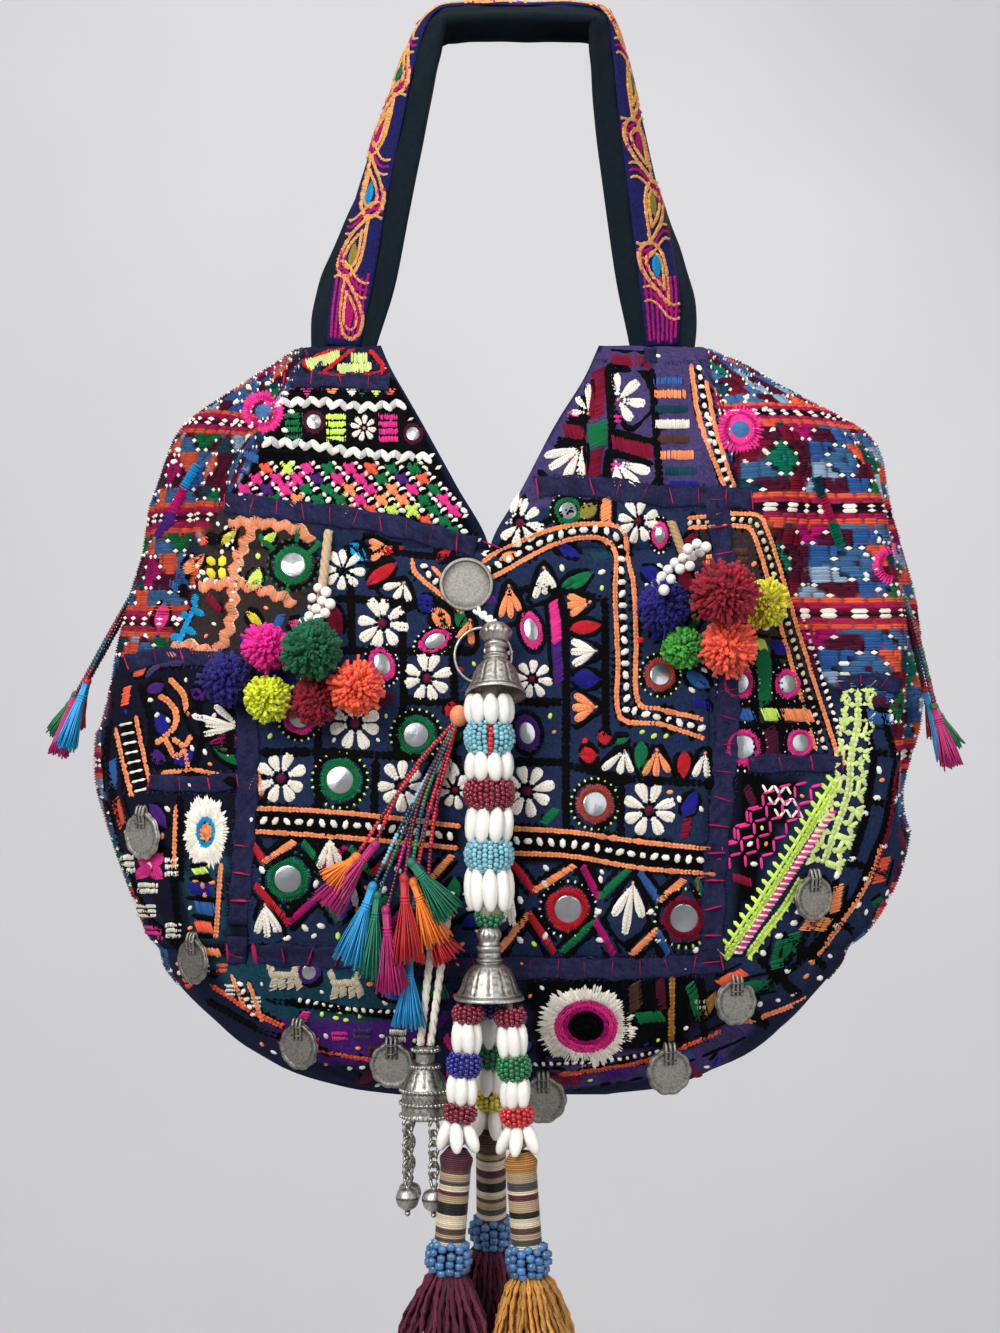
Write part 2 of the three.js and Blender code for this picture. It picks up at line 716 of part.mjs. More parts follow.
function addJhumka() {
  const { x, y, z, radius, height } = JHUMKA;
  for (const cord of JHUMKA_CORDS) {
    const start = offFront(cord.startX, cord.startZ, CORD_RADIUS + CLEAR);
    const end = new THREE.Vector3(cord.endX, y, z + CLEAR);
    const route = [0, 0.25, 0.5, 0.75, 1].map((share) => start.clone().lerp(end, share).toArray());
    addPiece(cord.name, tube(route, CORD_RADIUS, 8, 8), FINISH.cotton);
  }
  addPiece("jhumka_bell", placed(jhumkaShape(JHUMKA), [x, y, z]), FINISH.silver);
  for (const { name, turn } of BALLS) {
    const angle = THREE.MathUtils.degToRad(turn);
    const reach = radius - BALL_INSET;
    const at = [x + reach * Math.cos(angle), y + reach * Math.sin(angle), z - height - CLEAR];
    addPiece(name, placed(ballDropShape(), at), FINISH.silver);
  }
}

// Hanging coins: each hangs upright from its loop, sewn to the cloth at x and z, facing as the cloth does there

const COIN = { thick: 1.6, loop: 2.6, wire: 0.8, sides: 14 };
const LOOP_RISE = 0.4 * COIN.loop; // of the loop's middle above the coin's edge
const COINS = table(
  ["name", "x", "z", "radius", "facing"],
  [
    ["far_left_coin", -174, -396, 11.4, -38],
    ["low_left_coin", -150, -457, 11, -44],
    ["base_left_coin", -99, -498, 11, -32],
    ["rear_drop_coin", -54, -507, 11, -12],
    ["middle_coin", 19, -526, 11.4, 4],
    ["base_right_coin", 80, -511, 11.2, 16],
    ["low_right_coin", 111, -476, 10.8, 22],
    ["far_right_coin", 148, -426, 10.8, 30],
  ],
);

function coinShape(radius) {
  const disc = new THREE.CylinderGeometry(radius, radius, COIN.thick, COIN.sides).rotateY(Math.PI / COIN.sides);
  const loop = new THREE.TorusGeometry(COIN.loop, COIN.wire, 4, 6).rotateY(Math.PI / 2).rotateX(Math.PI / 2);
  return fuse([disc, loop.translate(0, 0, radius + LOOP_RISE)]);
}

function addCoins() {
  for (const coin of COINS) {
    const top = offFront(coin.x, coin.z, COIN.loop + COIN.wire + 3 * CLEAR);
    const at = [top.x, top.y, top.z - coin.radius - LOOP_RISE];
    addPiece(coin.name, settled(placed(coinShape(coin.radius), at, [0, 0, coin.facing])), FINISH.coin);
  }
}

// Pompom clusters

const POMPOM_START = 60; // how far in front of the cloth a pompom starts before it settles
// In the order they settle, so the last of a cluster lies in front.
const POMPOMS = table(
  ["cluster", "yarn", "x", "z", "radius"],
  [
    ["left", "crimson", -89, -343, 12.6],
    ["left", "navy", -131, -333, 13.4],
    ["left", "lime", -111, -342, 12.4],
    ["left", "coral", -69, -337, 14],
    ["left", "pink", -112, -318, 12.6],
    ["left", "green", -89, -319, 15.4],
    ["right", "grass", 84, -318, 11],
    ["right", "yellow", 123, -297, 13],
    ["right", "navy", 75, -299, 14],
    ["right", "coral", 105, -318, 15],
    ["right", "crimson", 102, -293, 17],
  ],
);
const STEMS = table(
  ["name", "startX", "startZ", "endX", "endZ"],
  [
    ["left_pompom_stem", -84, -262, -88, -303],
    ["right_pompom_stem", 80, -258, 88, -281],
  ],
);
const STEM_RADIUS = 2.4;
const TUFT_GROOVE = 0.14;

// A tufted ball: the icosahedron's own corners stand out and the points between them lie deeper.
function pompomShape(radius) {
  const ball = new THREE.IcosahedronGeometry(1, 1);
  const points = ball.getAttribute("position");
  const at = new THREE.Vector3();
  const golden = (1 + Math.sqrt(5)) / 2;
  for (let i = 0; i < points.count; i++) {
    at.fromBufferAttribute(points, i).normalize();
    const [low, middle, high] = at.toArray().map(Math.abs).sort((a, b) => a - b);
    const isCorner = low < 0.01 && Math.abs(high / middle - golden) < 0.01;
    at.multiplyScalar(radius * (isCorner ? 1 : 1 - TUFT_GROOVE));
    points.setXYZ(i, at.x, at.y, at.z);
  }
  return closed(ball);
}

function addPompoms() {
  for (const stem of STEMS) {
    const route = [0, 0.5, 1].map((share) => {
      const [x, z] = [lerp(stem.startX, stem.endX, share), lerp(stem.startZ, stem.endZ, share)];
      return offFront(x, z, STEM_RADIUS + 2 * CLEAR).toArray();
    });
    addPiece(stem.name, settled(tube(route, STEM_RADIUS, 6, 4)), FINISH.cotton);
  }
  for (const { cluster, yarn, x, z, radius } of POMPOMS) {
    const at = offFront(x, z, POMPOM_START).toArray();
    addPiece(`${cluster}_${yarn}_pompom`, settled(placed(pompomShape(radius), at)), YARN[yarn]);
  }
}

// Thread tassels on strings of seed beads

const THREAD_TASSEL = { head: 2.2, flare: 5.6, locks: 3, groove: 0.2 };
const STRING_RADIUS = 1.5;

// A small tassel from its head to its tail.
function threadTassel(head, tail) {
  const along = tail.clone().sub(head);
  const length = along.length();
  const { head: narrow, flare, locks, groove } = THREAD_TASSEL;
  const rows = table(
    ["z", "radius", "groove"],
    [
      [0, narrow, 0],
      [-0.3 * length, 1.5 * narrow, groove],
      [-length, flare, groove],
    ],
  );
  const skirt = lobed(rows, locks);
  const turn = new THREE.Quaternion().setFromUnitVectors(new THREE.Vector3(0, 0, -1), along.normalize());
  return skirt.applyQuaternion(turn).translate(...head.toArray());
}

// The bunch beside the drop. Each string leaves the knot and carries two tassels: a main one at its end and a
// second one beside it. Heads and tails lie in front of the cloth, off is the distance kept at the head.
const BUNCH_KNOT = { x: -25, z: -352, radius: 4.4 };
const BUNCH = table(
  ["headX", "headZ", "tailX", "tailZ", "twinX", "twinZ", "off"],
  [
    [-64, -410, -84, -430, -82, -442, 11],
    [-61, -430, -75, -466, -63, -472, 13],
    [-52, -440, -50, -479, -43, -466, 14.5],
    [-40, -424, -31, -442, -32, -457, 16],
    [-45, -460, -46, -494, -35, -480, 15],
  ],
);

function addBunch() {
  const knot = offFront(BUNCH_KNOT.x, BUNCH_KNOT.z, BUNCH_KNOT.radius + CLEAR);
  const parts = [placed(barrel(BUNCH_KNOT.radius, 8, 8), knot.toArray())];
  for (const row of BUNCH) {
    const head = offFront(row.headX, row.headZ, row.off);
    const tail = new THREE.Vector3(row.tailX, head.y, row.tailZ);
    const twin = new THREE.Vector3(row.twinX, head.y, row.twinZ);
    const bow = knot.clone().lerp(head, 0.5).add(new THREE.Vector3(-3, -2, 0));
    const end = head.clone().lerp(tail, 0.1);
    parts.push(tube([knot, bow, end].map((p) => p.toArray()), STRING_RADIUS, 5, 3));
    parts.push(threadTassel(head, tail), threadTassel(head, twin));
  }
  addPiece("tassel_bunch", settled(fuse(parts)), YARN.mixed);
}

// Side bunches: a thread-wrapped stem lies in the pleat, strings follow the bulge below it and carry tassels.
const SIDE_STEM = { radius: 3.2, off: 10.2, top: 2.8, end: 4.2 };
const SIDE_TASSELS = table(
  ["shift", "row", "off", "length", "spread", "twin"],
  [
    [-0.012, 5.9, 15, 32, 10, 7],
    [0.012, 6.1, 17, 28, 8, 11],
  ],
);

function addSideBunches() {
  for (const [word, side] of [["left", -1], ["right", 1]]) {
    const stemRoute = [0, 0.5, 1].map((share) => {
      return offSkin(side, PLEAT, lerp(SIDE_STEM.top, SIDE_STEM.end, share), SIDE_STEM.off);
    });
    const parts = [tube(stemRoute.map((p) => p.toArray()), SIDE_STEM.radius, 8, 3)];
    for (const { shift, row, off, length, spread, twin } of SIDE_TASSELS) {
      const head = offSkin(side, PLEAT + shift, row, off);
      const half = offSkin(side, PLEAT, lerp(SIDE_STEM.end, row, 0.5), 0.8 * off);
      const tails = [
        new THREE.Vector3(side * spread, -6, -length),
        new THREE.Vector3(side * twin, 3, (-2 / 3) * length),
      ];
      const string = [stemRoute[2], half, head];
      parts.push(tube(string.map((p) => p.toArray()), STRING_RADIUS, 5, 3));
      parts.push(...tails.map((hang) => threadTassel(head, head.clone().add(hang))));
    }
    addPiece(`${word}_side_tassels`, settled(fuse(parts), [-side, 0, 0]), YARN.mixed);
  }
}

addBody();
addStrap();
addDrop();
addButton();
addJhumka();
addCoins();
addPompoms();
addBunch();
addSideBunches();

export default bag;
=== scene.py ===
"""Looks of the embroidered hobo bag: cloth, stitched patches, strap, beads, metal, pompoms and tassels."""

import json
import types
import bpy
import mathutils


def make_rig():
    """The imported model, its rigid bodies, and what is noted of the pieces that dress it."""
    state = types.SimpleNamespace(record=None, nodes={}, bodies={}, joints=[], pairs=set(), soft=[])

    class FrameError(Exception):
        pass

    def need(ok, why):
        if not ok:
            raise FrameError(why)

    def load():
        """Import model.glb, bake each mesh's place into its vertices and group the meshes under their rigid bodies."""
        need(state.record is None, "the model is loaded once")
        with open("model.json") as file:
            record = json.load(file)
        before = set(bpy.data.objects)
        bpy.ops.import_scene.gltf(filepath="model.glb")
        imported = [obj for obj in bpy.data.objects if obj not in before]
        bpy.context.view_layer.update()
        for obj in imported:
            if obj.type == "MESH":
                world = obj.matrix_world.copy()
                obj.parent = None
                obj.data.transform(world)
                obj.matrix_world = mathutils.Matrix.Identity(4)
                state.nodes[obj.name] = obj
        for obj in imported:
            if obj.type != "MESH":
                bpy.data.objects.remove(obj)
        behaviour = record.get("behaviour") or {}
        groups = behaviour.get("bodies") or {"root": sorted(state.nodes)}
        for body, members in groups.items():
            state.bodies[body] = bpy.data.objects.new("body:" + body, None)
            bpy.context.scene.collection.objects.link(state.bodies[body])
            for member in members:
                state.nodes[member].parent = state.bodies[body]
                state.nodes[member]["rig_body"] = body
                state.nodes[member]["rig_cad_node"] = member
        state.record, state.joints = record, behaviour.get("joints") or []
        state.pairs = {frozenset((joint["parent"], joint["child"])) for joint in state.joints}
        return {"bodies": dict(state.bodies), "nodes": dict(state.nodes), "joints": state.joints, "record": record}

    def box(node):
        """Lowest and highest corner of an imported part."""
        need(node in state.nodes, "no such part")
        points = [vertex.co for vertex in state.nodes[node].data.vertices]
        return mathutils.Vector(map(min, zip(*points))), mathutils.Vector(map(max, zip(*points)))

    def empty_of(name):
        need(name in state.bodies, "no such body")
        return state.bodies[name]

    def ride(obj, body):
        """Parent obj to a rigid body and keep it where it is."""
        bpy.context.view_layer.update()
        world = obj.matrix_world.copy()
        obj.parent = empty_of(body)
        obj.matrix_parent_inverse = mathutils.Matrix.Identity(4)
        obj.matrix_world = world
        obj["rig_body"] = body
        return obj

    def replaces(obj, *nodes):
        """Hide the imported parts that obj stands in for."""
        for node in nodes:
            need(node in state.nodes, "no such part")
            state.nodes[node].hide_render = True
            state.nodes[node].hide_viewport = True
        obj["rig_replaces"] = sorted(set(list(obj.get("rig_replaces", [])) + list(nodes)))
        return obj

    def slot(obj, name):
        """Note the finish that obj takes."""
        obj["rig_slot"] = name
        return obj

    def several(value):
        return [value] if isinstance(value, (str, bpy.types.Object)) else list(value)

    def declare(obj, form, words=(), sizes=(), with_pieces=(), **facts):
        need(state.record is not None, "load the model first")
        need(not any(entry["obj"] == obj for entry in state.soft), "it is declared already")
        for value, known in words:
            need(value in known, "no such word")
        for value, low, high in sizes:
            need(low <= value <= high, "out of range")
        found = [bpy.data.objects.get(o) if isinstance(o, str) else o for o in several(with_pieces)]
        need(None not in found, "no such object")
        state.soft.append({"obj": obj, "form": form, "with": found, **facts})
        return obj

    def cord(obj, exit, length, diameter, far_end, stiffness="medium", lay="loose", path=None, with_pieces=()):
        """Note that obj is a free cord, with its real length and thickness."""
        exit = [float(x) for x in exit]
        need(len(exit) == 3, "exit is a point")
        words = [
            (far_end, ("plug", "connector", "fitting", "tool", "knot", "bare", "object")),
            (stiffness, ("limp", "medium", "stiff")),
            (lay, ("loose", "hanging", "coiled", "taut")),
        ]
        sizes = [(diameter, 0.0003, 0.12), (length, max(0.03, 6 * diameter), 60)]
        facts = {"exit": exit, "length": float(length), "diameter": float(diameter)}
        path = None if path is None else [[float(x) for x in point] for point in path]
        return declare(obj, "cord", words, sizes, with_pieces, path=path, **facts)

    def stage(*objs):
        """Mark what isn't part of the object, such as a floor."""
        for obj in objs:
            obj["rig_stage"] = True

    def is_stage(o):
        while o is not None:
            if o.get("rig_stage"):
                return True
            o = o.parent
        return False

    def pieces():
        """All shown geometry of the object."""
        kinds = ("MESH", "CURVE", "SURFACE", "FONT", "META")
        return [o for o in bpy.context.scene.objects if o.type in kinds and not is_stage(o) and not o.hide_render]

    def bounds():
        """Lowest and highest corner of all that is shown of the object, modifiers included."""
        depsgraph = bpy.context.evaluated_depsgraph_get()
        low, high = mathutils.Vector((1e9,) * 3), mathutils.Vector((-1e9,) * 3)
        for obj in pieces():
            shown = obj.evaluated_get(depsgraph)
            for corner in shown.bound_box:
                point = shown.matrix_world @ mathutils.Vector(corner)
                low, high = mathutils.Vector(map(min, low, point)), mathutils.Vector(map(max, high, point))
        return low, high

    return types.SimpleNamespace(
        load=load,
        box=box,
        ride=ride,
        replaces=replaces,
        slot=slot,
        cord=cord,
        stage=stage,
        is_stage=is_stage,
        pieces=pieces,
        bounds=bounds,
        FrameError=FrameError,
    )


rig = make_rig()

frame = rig.load()
cad_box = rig.bounds()

import json
import math
from types import SimpleNamespace

import bpy
import numpy as np
from mathutils import Vector
from mathutils.bvhtree import BVHTree

MM = 0.001
CAMERA_PLACE = np.array([-2.0, -1200.0, -327.0])
PHOTO_SIZE = (1000, 1333)
MM_PER_PIXEL = 0.5  # in the plane y = 0
SENSOR = 36.0
rng = np.random.default_rng(11)


def table(columns, rows):
    """Rows with named columns."""
    names = columns.split()
    return [SimpleNamespace(**dict(zip(names, row))) for row in rows]


def unit(vectors):
    return vectors / np.maximum(np.linalg.norm(vectors, axis=-1, keepdims=True), 1e-12)


def turns(count):
    """Even steps round a full turn, in radians."""
    return 2 * np.pi * np.arange(count) / count


def circle(turn):
    """Points of a unit circle at angles in radians."""
    return np.stack([np.cos(turn), np.sin(turn)], -1)


def flat_turn(angle):
    """A matrix that turns flat row vectors by degrees."""
    c, s = math.cos(math.radians(angle)), math.sin(math.radians(angle))
    return np.array([[c, s], [-s, c]])


def near(value, middle, width):
    """1 at the middle, falling to 0 over a width."""
    return np.exp(-(((value - middle) / width) ** 2))


def lengths_along(path):
    """The way along a line from its start to each of its points."""
    return np.concatenate([[0], np.cumsum(np.linalg.norm(np.diff(path, axis=0), axis=1))])


def box_of(node):
    """The low and high corners of a CAD node's box, in millimetres."""
    return np.array(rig.box(node)) / MM


def srgb(red, green, blue):
    """A colour of 0 to 255 as linear light."""
    share = np.array([red, green, blue]) / 255
    return np.where(share < 0.04045, share / 12.92, ((share + 0.055) / 1.055) ** 2.4)


TINT = {
    "black": srgb(3, 3, 5),
    "ink": srgb(20, 22, 38),
    "ground": srgb(28, 33, 58),
    "navy": srgb(33, 46, 76),
    "earth": srgb(52, 44, 44),
    "plum": srgb(70, 58, 108),
    "rust": srgb(170, 70, 60),
    "pistachio": srgb(206, 222, 140),
    "band": srgb(40, 41, 72),
    "teal": srgb(26, 66, 82),
    "white": srgb(238, 231, 216),
    "cream": srgb(214, 200, 172),
    "orange": srgb(246, 150, 98),
    "coral": srgb(238, 98, 68),
    "red": srgb(196, 34, 44),
    "crimson": srgb(178, 34, 84),
    "peach": srgb(222, 160, 92),
    "marigold": srgb(246, 130, 36),
    "emerald": srgb(10, 118, 88),
    "slate": srgb(70, 66, 66),
    "umber": srgb(30, 16, 26),
    "sand": srgb(176, 152, 118),
    "maroon": srgb(122, 20, 46),
    "pink": srgb(226, 56, 140),
    "magenta": srgb(176, 22, 106),
    "purple": srgb(76, 36, 118),
    "violet": srgb(70, 60, 104),
    "royal": srgb(34, 34, 132),
    "blue": srgb(52, 96, 160),
    "sky": srgb(30, 150, 205),
    "steel": srgb(68, 112, 158),
    "mist": srgb(150, 174, 200),
    "turquoise": srgb(124, 184, 198),
    "green": srgb(22, 112, 66),
    "neon": srgb(206, 236, 104),
    "yellow": srgb(222, 206, 56),
    "ochre": srgb(176, 124, 56),
    "wine": srgb(82, 22, 46),
    "brown": srgb(84, 56, 44),
    "bone": srgb(240, 237, 228),
    "strap": srgb(16, 29, 37),
    "strip": srgb(33, 34, 88),
    "tan": srgb(216, 140, 104),
    "olive": srgb(150, 138, 60),
    "silver_thread": srgb(186, 184, 180),
    "silver": np.ones(3),
}


# Meshes


SLIM = 2.2  # a stitch longer than this many widths keeps its width along a ridge
SUNK = 0.3  # how far a stitch's ends and edges sink in, as a share of its height
# The side of a stitch that lies in the cloth has no faces
PEAK_FACES = [[(0, 1, 2), (0, 2, 3), (4, 2, 1), (4, 3, 2)]]
RIDGE_FACES = [[(0, 1, 2), (0, 2, 3), (7, 5, 4), (7, 6, 5)], [(1, 4, 5, 2), (2, 5, 6, 3)]]


def ring_quads(rings, sides, flip=False):
    """The quads between each ring of points and the next; flip turns their faces over."""
    quads = []
    for low in range(0, (rings - 1) * sides, sides):
        for i in range(sides):
            after = (i + 1) % sides
            quad = (low + i, low + sides + i, low + sides + after, low + after)
            quads.append(quad[:1] + quad[:0:-1] if flip else quad)
    return quads


class Pile:
    """Vertices, faces and tints gathered for one mesh."""

    def __init__(self):
        self.points, self.faces, self.tints, self.count = [], [], [], 0

    def add(self, points, faces, tint):
        points = np.asarray(points, float).reshape(-1, 3)
        for group in faces if isinstance(faces, list) else [faces]:
            self.faces.append(np.asarray(group) + self.count)
        self.points.append(points)
        self.tints.append(np.broadcast_to(np.asarray(tint, float), points.shape))
        self.count += len(points)

    def repeat(self, points, faces, tint):
        """The same faces on each of n sets of points: points is (n, k, 3), tint one colour or (n, 3)."""
        n, k = points.shape[:2]
        steps = (np.arange(n) * k)[:, None, None]
        groups = [(np.asarray(group)[None] + steps).reshape(-1, len(group[0])) for group in faces]
        tint = np.repeat(np.broadcast_to(tint, (n, 3)), k, axis=0)
        self.add(points, groups, tint)

    def strands(self, start, end, normal, width, height, tint):
        """Padded stitches between two pinched ends: a short one has a peak, a slim one a ridge."""
        slim = np.linalg.norm(end - start, axis=1) > SLIM * width
        for chosen, shares, faces in ((~slim, (0.5,), PEAK_FACES), (slim, (0.2, 0.8), RIDGE_FACES)):
            if not chosen.any():
                continue
            a, b, up = start[chosen], end[chosen], normal[chosen] * height[chosen, None]
            side = unit(np.cross(b - a, normal[chosen])) * (width[chosen] / 2)[:, None]
            rings = [a - SUNK * up]
            for share in shares:
                middle = a + (b - a) * share
                rings += [middle + side - SUNK * up, middle + up, middle - side - SUNK * up]
            rings.append(b - SUNK * up)
            self.repeat(np.stack(rings, 1), faces, tint[chosen])

    def tubes(self, paths, radii, sides, tint):
        """Round tubes along n paths of k points; radii is (n, k)."""
        n, k = paths.shape[:2]
        ahead = unit(np.gradient(paths, axis=1))
        mean = unit(paths[:, -1] - paths[:, 0])
        upright = np.abs(mean[:, 2:3]) > 0.8
        reference = np.where(upright, np.array([[0.0, 1.0, 0.0]]), np.array([[0.0, 0.0, 1.0]]))
        side = unit(np.cross(ahead, reference[:, None]))
        other = np.cross(ahead, side)
        turn = turns(sides)
        ring = side[:, :, None] * np.cos(turn)[:, None] + other[:, :, None] * np.sin(turn)[:, None]
        points = (paths[:, :, None] + ring * radii[:, :, None, None]).reshape(n, k * sides, 3)
        ends = [tuple(range(sides))[::-1], tuple((k - 1) * sides + i for i in range(sides))]
        self.repeat(points, [ring_quads(k, sides, flip=True), ends], tint)

    def tube(self, path, radius, sides, tint):
        """One tube of even radius, in millimetres."""
        self.tubes(path[None] * MM, np.full((1, len(path)), radius * MM), sides, tint)

    def cord(self, path, twist, offset, radius, sides, tint):
        """Three plies, twisted by so many radians, along a path in millimetres."""
        turn = twist * np.linspace(0, 1, len(path))[:, None]
        for phase in turns(3):
            ply = np.concatenate([np.cos(turn + phase), np.sin(turn + phase), 0 * turn], 1)
            self.tube(path + offset * ply, radius, sides, tint)

    def stamps(self, shape, places, frames, tint):
        """Copies of a shape's points and faces at places; frames is (n, 3, 3) with scaled axes as columns."""
        points, faces = shape
        moved = np.einsum("nij,kj->nki", frames, points) + places[:, None]
        self.repeat(moved, faces, tint)

    def make(self, name, finish, slot, replaced=()):
        """The mesh as a piece that rides on the bag."""
        mesh = bpy.data.meshes.new(name)
        points = np.concatenate(self.points)
        corners = np.concatenate([group.ravel() for group in self.faces])
        sizes = np.concatenate([np.full(len(group), group.shape[1]) for group in self.faces])
        mesh.vertices.add(len(points))
        mesh.vertices.foreach_set("co", points.astype(np.float32).ravel())
        mesh.loops.add(len(corners))
        mesh.loops.foreach_set("vertex_index", corners.astype(np.int32))
        mesh.polygons.add(len(sizes))
        mesh.polygons.foreach_set("loop_start", np.concatenate([[0], np.cumsum(sizes)[:-1]]).astype(np.int32))
        mesh.polygons.foreach_set("use_smooth", np.ones(len(sizes), bool))
        tint = np.concatenate([np.concatenate(self.tints), np.ones((len(points), 1))], 1)
        layer = mesh.color_attributes.new("tint", "FLOAT_COLOR", "POINT")
        layer.data.foreach_set("color", tint.astype(np.float32).ravel())
        mesh.update(calc_edges=True)
        mesh.validate()
        mesh.materials.append(finish)
        piece = bpy.data.objects.new(name, mesh)
        bpy.context.scene.collection.objects.link(piece)
        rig.ride(piece, "root")
        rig.slot(piece, slot)
        if replaced:
            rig.replaces(piece, *replaced)
        return piece


def ball(rings, sides):
    """A unit ball about Z as points and faces."""
    polar = np.pi * np.arange(1, rings) / rings
    turn = turns(sides)
    body = [[math.sin(p) * math.cos(t), math.sin(p) * math.sin(t), math.cos(p)] for p in polar for t in turn]
    top, base = len(body), len(body) + 1
    after = lambda i: (i + 1) % sides
    caps = [(top, i, after(i)) for i in range(sides)]
    low = (rings - 2) * sides
    caps += [(base, low + after(i), low + i) for i in range(sides)]
    return np.array(body + [[0, 0, 1], [0, 0, -1]]), [caps, ring_quads(rings - 1, sides)]


SEED = ball(3, 7)


def dome(sides, square, paddle=0.0):
    """A low cushion of unit size that lies in the cloth. Its plan is round, squarer the smaller the power
    square is, or a paddle that widens towards +X."""
    turn = turns(sides)
    plan = np.stack([np.sign(f) * np.abs(f) ** square for f in (np.cos(turn), np.sin(turn))], -1)
    plan[:, 1] *= paddle_width(plan[:, 0], paddle)
    points = [(*spot, -0.3) for spot in plan] + [(*spot, 0.66) for spot in 0.74 * plan] + [(0, 0, 1)]
    after = lambda i: (i + 1) % sides
    caps = [(sides + i, sides + after(i), 2 * sides) for i in range(sides)]
    return np.array(points, float), [np.array(ring_quads(2, sides, flip=True)), np.array(caps)]


def paddle_width(x, paddle):
    """How much of its full width a paddle has at x, from -1 at the root to 1 at the tip."""
    return (1 + paddle * x) / (1 + 0.27 * paddle)


PADDLE = 0.8
ROUND_PAD = dome(10, 1.0)
SQUARE_PAD = dome(8, 0.4)
PETAL_PAD = dome(12, 1.0, PADDLE)
KNOT = dome(6, 1.0)
OVAL = ball(7, 10)


PATINA = 0.78  # how much darker a groove is than the metal round it


def lathe(profile, sides, groove=None, depth=0.0):
    """A solid about Z through (radius, z) pairs, its faces, and a shade for each point.
    groove(turn, profile) gives 0 to 1: it takes that share of depth off the radius and darkens the shade."""
    profile = np.asarray(profile, float)
    turn = turns(sides)
    cut = np.zeros((len(profile), sides)) if groove is None else groove(turn[None], profile)
    radius = profile[:, :1] * (1 - depth * cut)
    height = np.broadcast_to(profile[:, 1:], radius.shape)
    points = np.stack([radius * np.cos(turn), radius * np.sin(turn), height], -1).reshape(-1, 3)
    shade = (1 - PATINA * cut).reshape(-1, 1) * np.ones(3)
    return points, [ring_quads(len(profile), sides)], shade


def catmull_rom(a, b, c, d, f):
    """The curve from b to c, at shares f of the way, that a before it and d after it bend."""
    return b + 0.5 * f * (c - a + f * (2 * a - 5 * b + 4 * c - d + f * (3 * (b - c) + d - a)))


def smooth_line(points, steps):
    """A Catmull-Rom line through points, with a number of steps between each two."""
    points = np.asarray(points, float)
    padded = np.concatenate([2 * points[:1] - points[1:2], points, 2 * points[-1:] - points[-2:-1]])
    a, b, c, d = (padded[i : len(padded) - 3 + i, None] for i in range(4))
    f = np.linspace(0, 1, steps, endpoint=False)[None, :, None]
    bent = catmull_rom(a, b, c, d, f)
    return np.concatenate([bent.reshape(-1, points.shape[1]), points[-1:]])


def turned(points, about_x=0.0, about_y=0.0, about_z=0.0):
    """Points turned about X, then Y, then Z, by degrees."""
    for angle, (i, j) in ((about_x, (1, 2)), (about_y, (2, 0)), (about_z, (0, 1))):
        c, s = math.cos(math.radians(angle)), math.sin(math.radians(angle))
        moved = points.copy()
        moved[..., i] = c * points[..., i] - s * points[..., j]
        moved[..., j] = s * points[..., i] + c * points[..., j]
        points = moved
    return points


def centre_of(node):
    """The middle of a CAD node's box, in millimetres."""
    return box_of(node).mean(axis=0)


# Materials


def new_finish(name, roughness, **sockets):
    """A Principled material and its nodes; constant values sit on the shader's own sockets."""
    finish = bpy.data.materials.new(name)
    finish.use_nodes = True
    shader = finish.node_tree.nodes["Principled BSDF"]
    shader.inputs["Roughness"].default_value = roughness
    for socket, value in sockets.items():
        shader.inputs[socket.replace("_", " ")].default_value = value
    return finish, finish.node_tree.nodes, finish.node_tree.links, shader


def add_node(nodes, links, kind, inputs=None, **settings):
    node = nodes.new(kind)
    for name, value in settings.items():
        setattr(node, name, value)
    for name, value in (inputs or {}).items():
        socket = node.inputs[name]
        if isinstance(value, bpy.types.NodeSocket):
            links.new(value, socket)
        else:
            socket.default_value = value
    return node


def tinted(name, roughness, grain, spread, bump, weave=0.0, **sockets):
    """The mesh's own tint, broken up by a fine grain that also gives a bump; weave adds crossed threads."""
    finish, nodes, links, shader = new_finish(name, roughness, **sockets)
    place = add_node(nodes, links, "ShaderNodeTexCoord").outputs["Object"]
    tint = add_node(nodes, links, "ShaderNodeAttribute", attribute_name="tint").outputs["Color"]
    noise = add_node(nodes, links, "ShaderNodeTexNoise", {"Vector": place, "Scale": grain, "Detail": 4.0})
    shade = add_node(
        nodes, links, "ShaderNodeMapRange",
        {"Value": noise.outputs["Fac"], "From Min": 0.3, "From Max": 0.7, "To Min": 1 - spread,
         "To Max": 1 + spread},
    )
    mixed = add_node(
        nodes, links, "ShaderNodeVectorMath", {0: tint, 1: shade.outputs["Result"]}, operation="MULTIPLY"
    )
    links.new(mixed.outputs["Vector"], shader.inputs["Base Color"])
    height = noise.outputs["Fac"]
    for axis in ("X", "Z") if weave else ():
        wave = add_node(
            nodes, links, "ShaderNodeTexWave", {"Vector": place, "Scale": weave, "Distortion": 0.6},
            bands_direction=axis,
        )
        height = add_node(nodes, links, "ShaderNodeMath",
                          {0: height, 1: wave.outputs["Fac"]}).outputs["Value"]
    relief = add_node(nodes, links, "ShaderNodeBump",
                      {"Height": height, "Strength": bump, "Distance": 0.0006})
    links.new(relief.outputs["Normal"], shader.inputs["Normal"])
    return finish


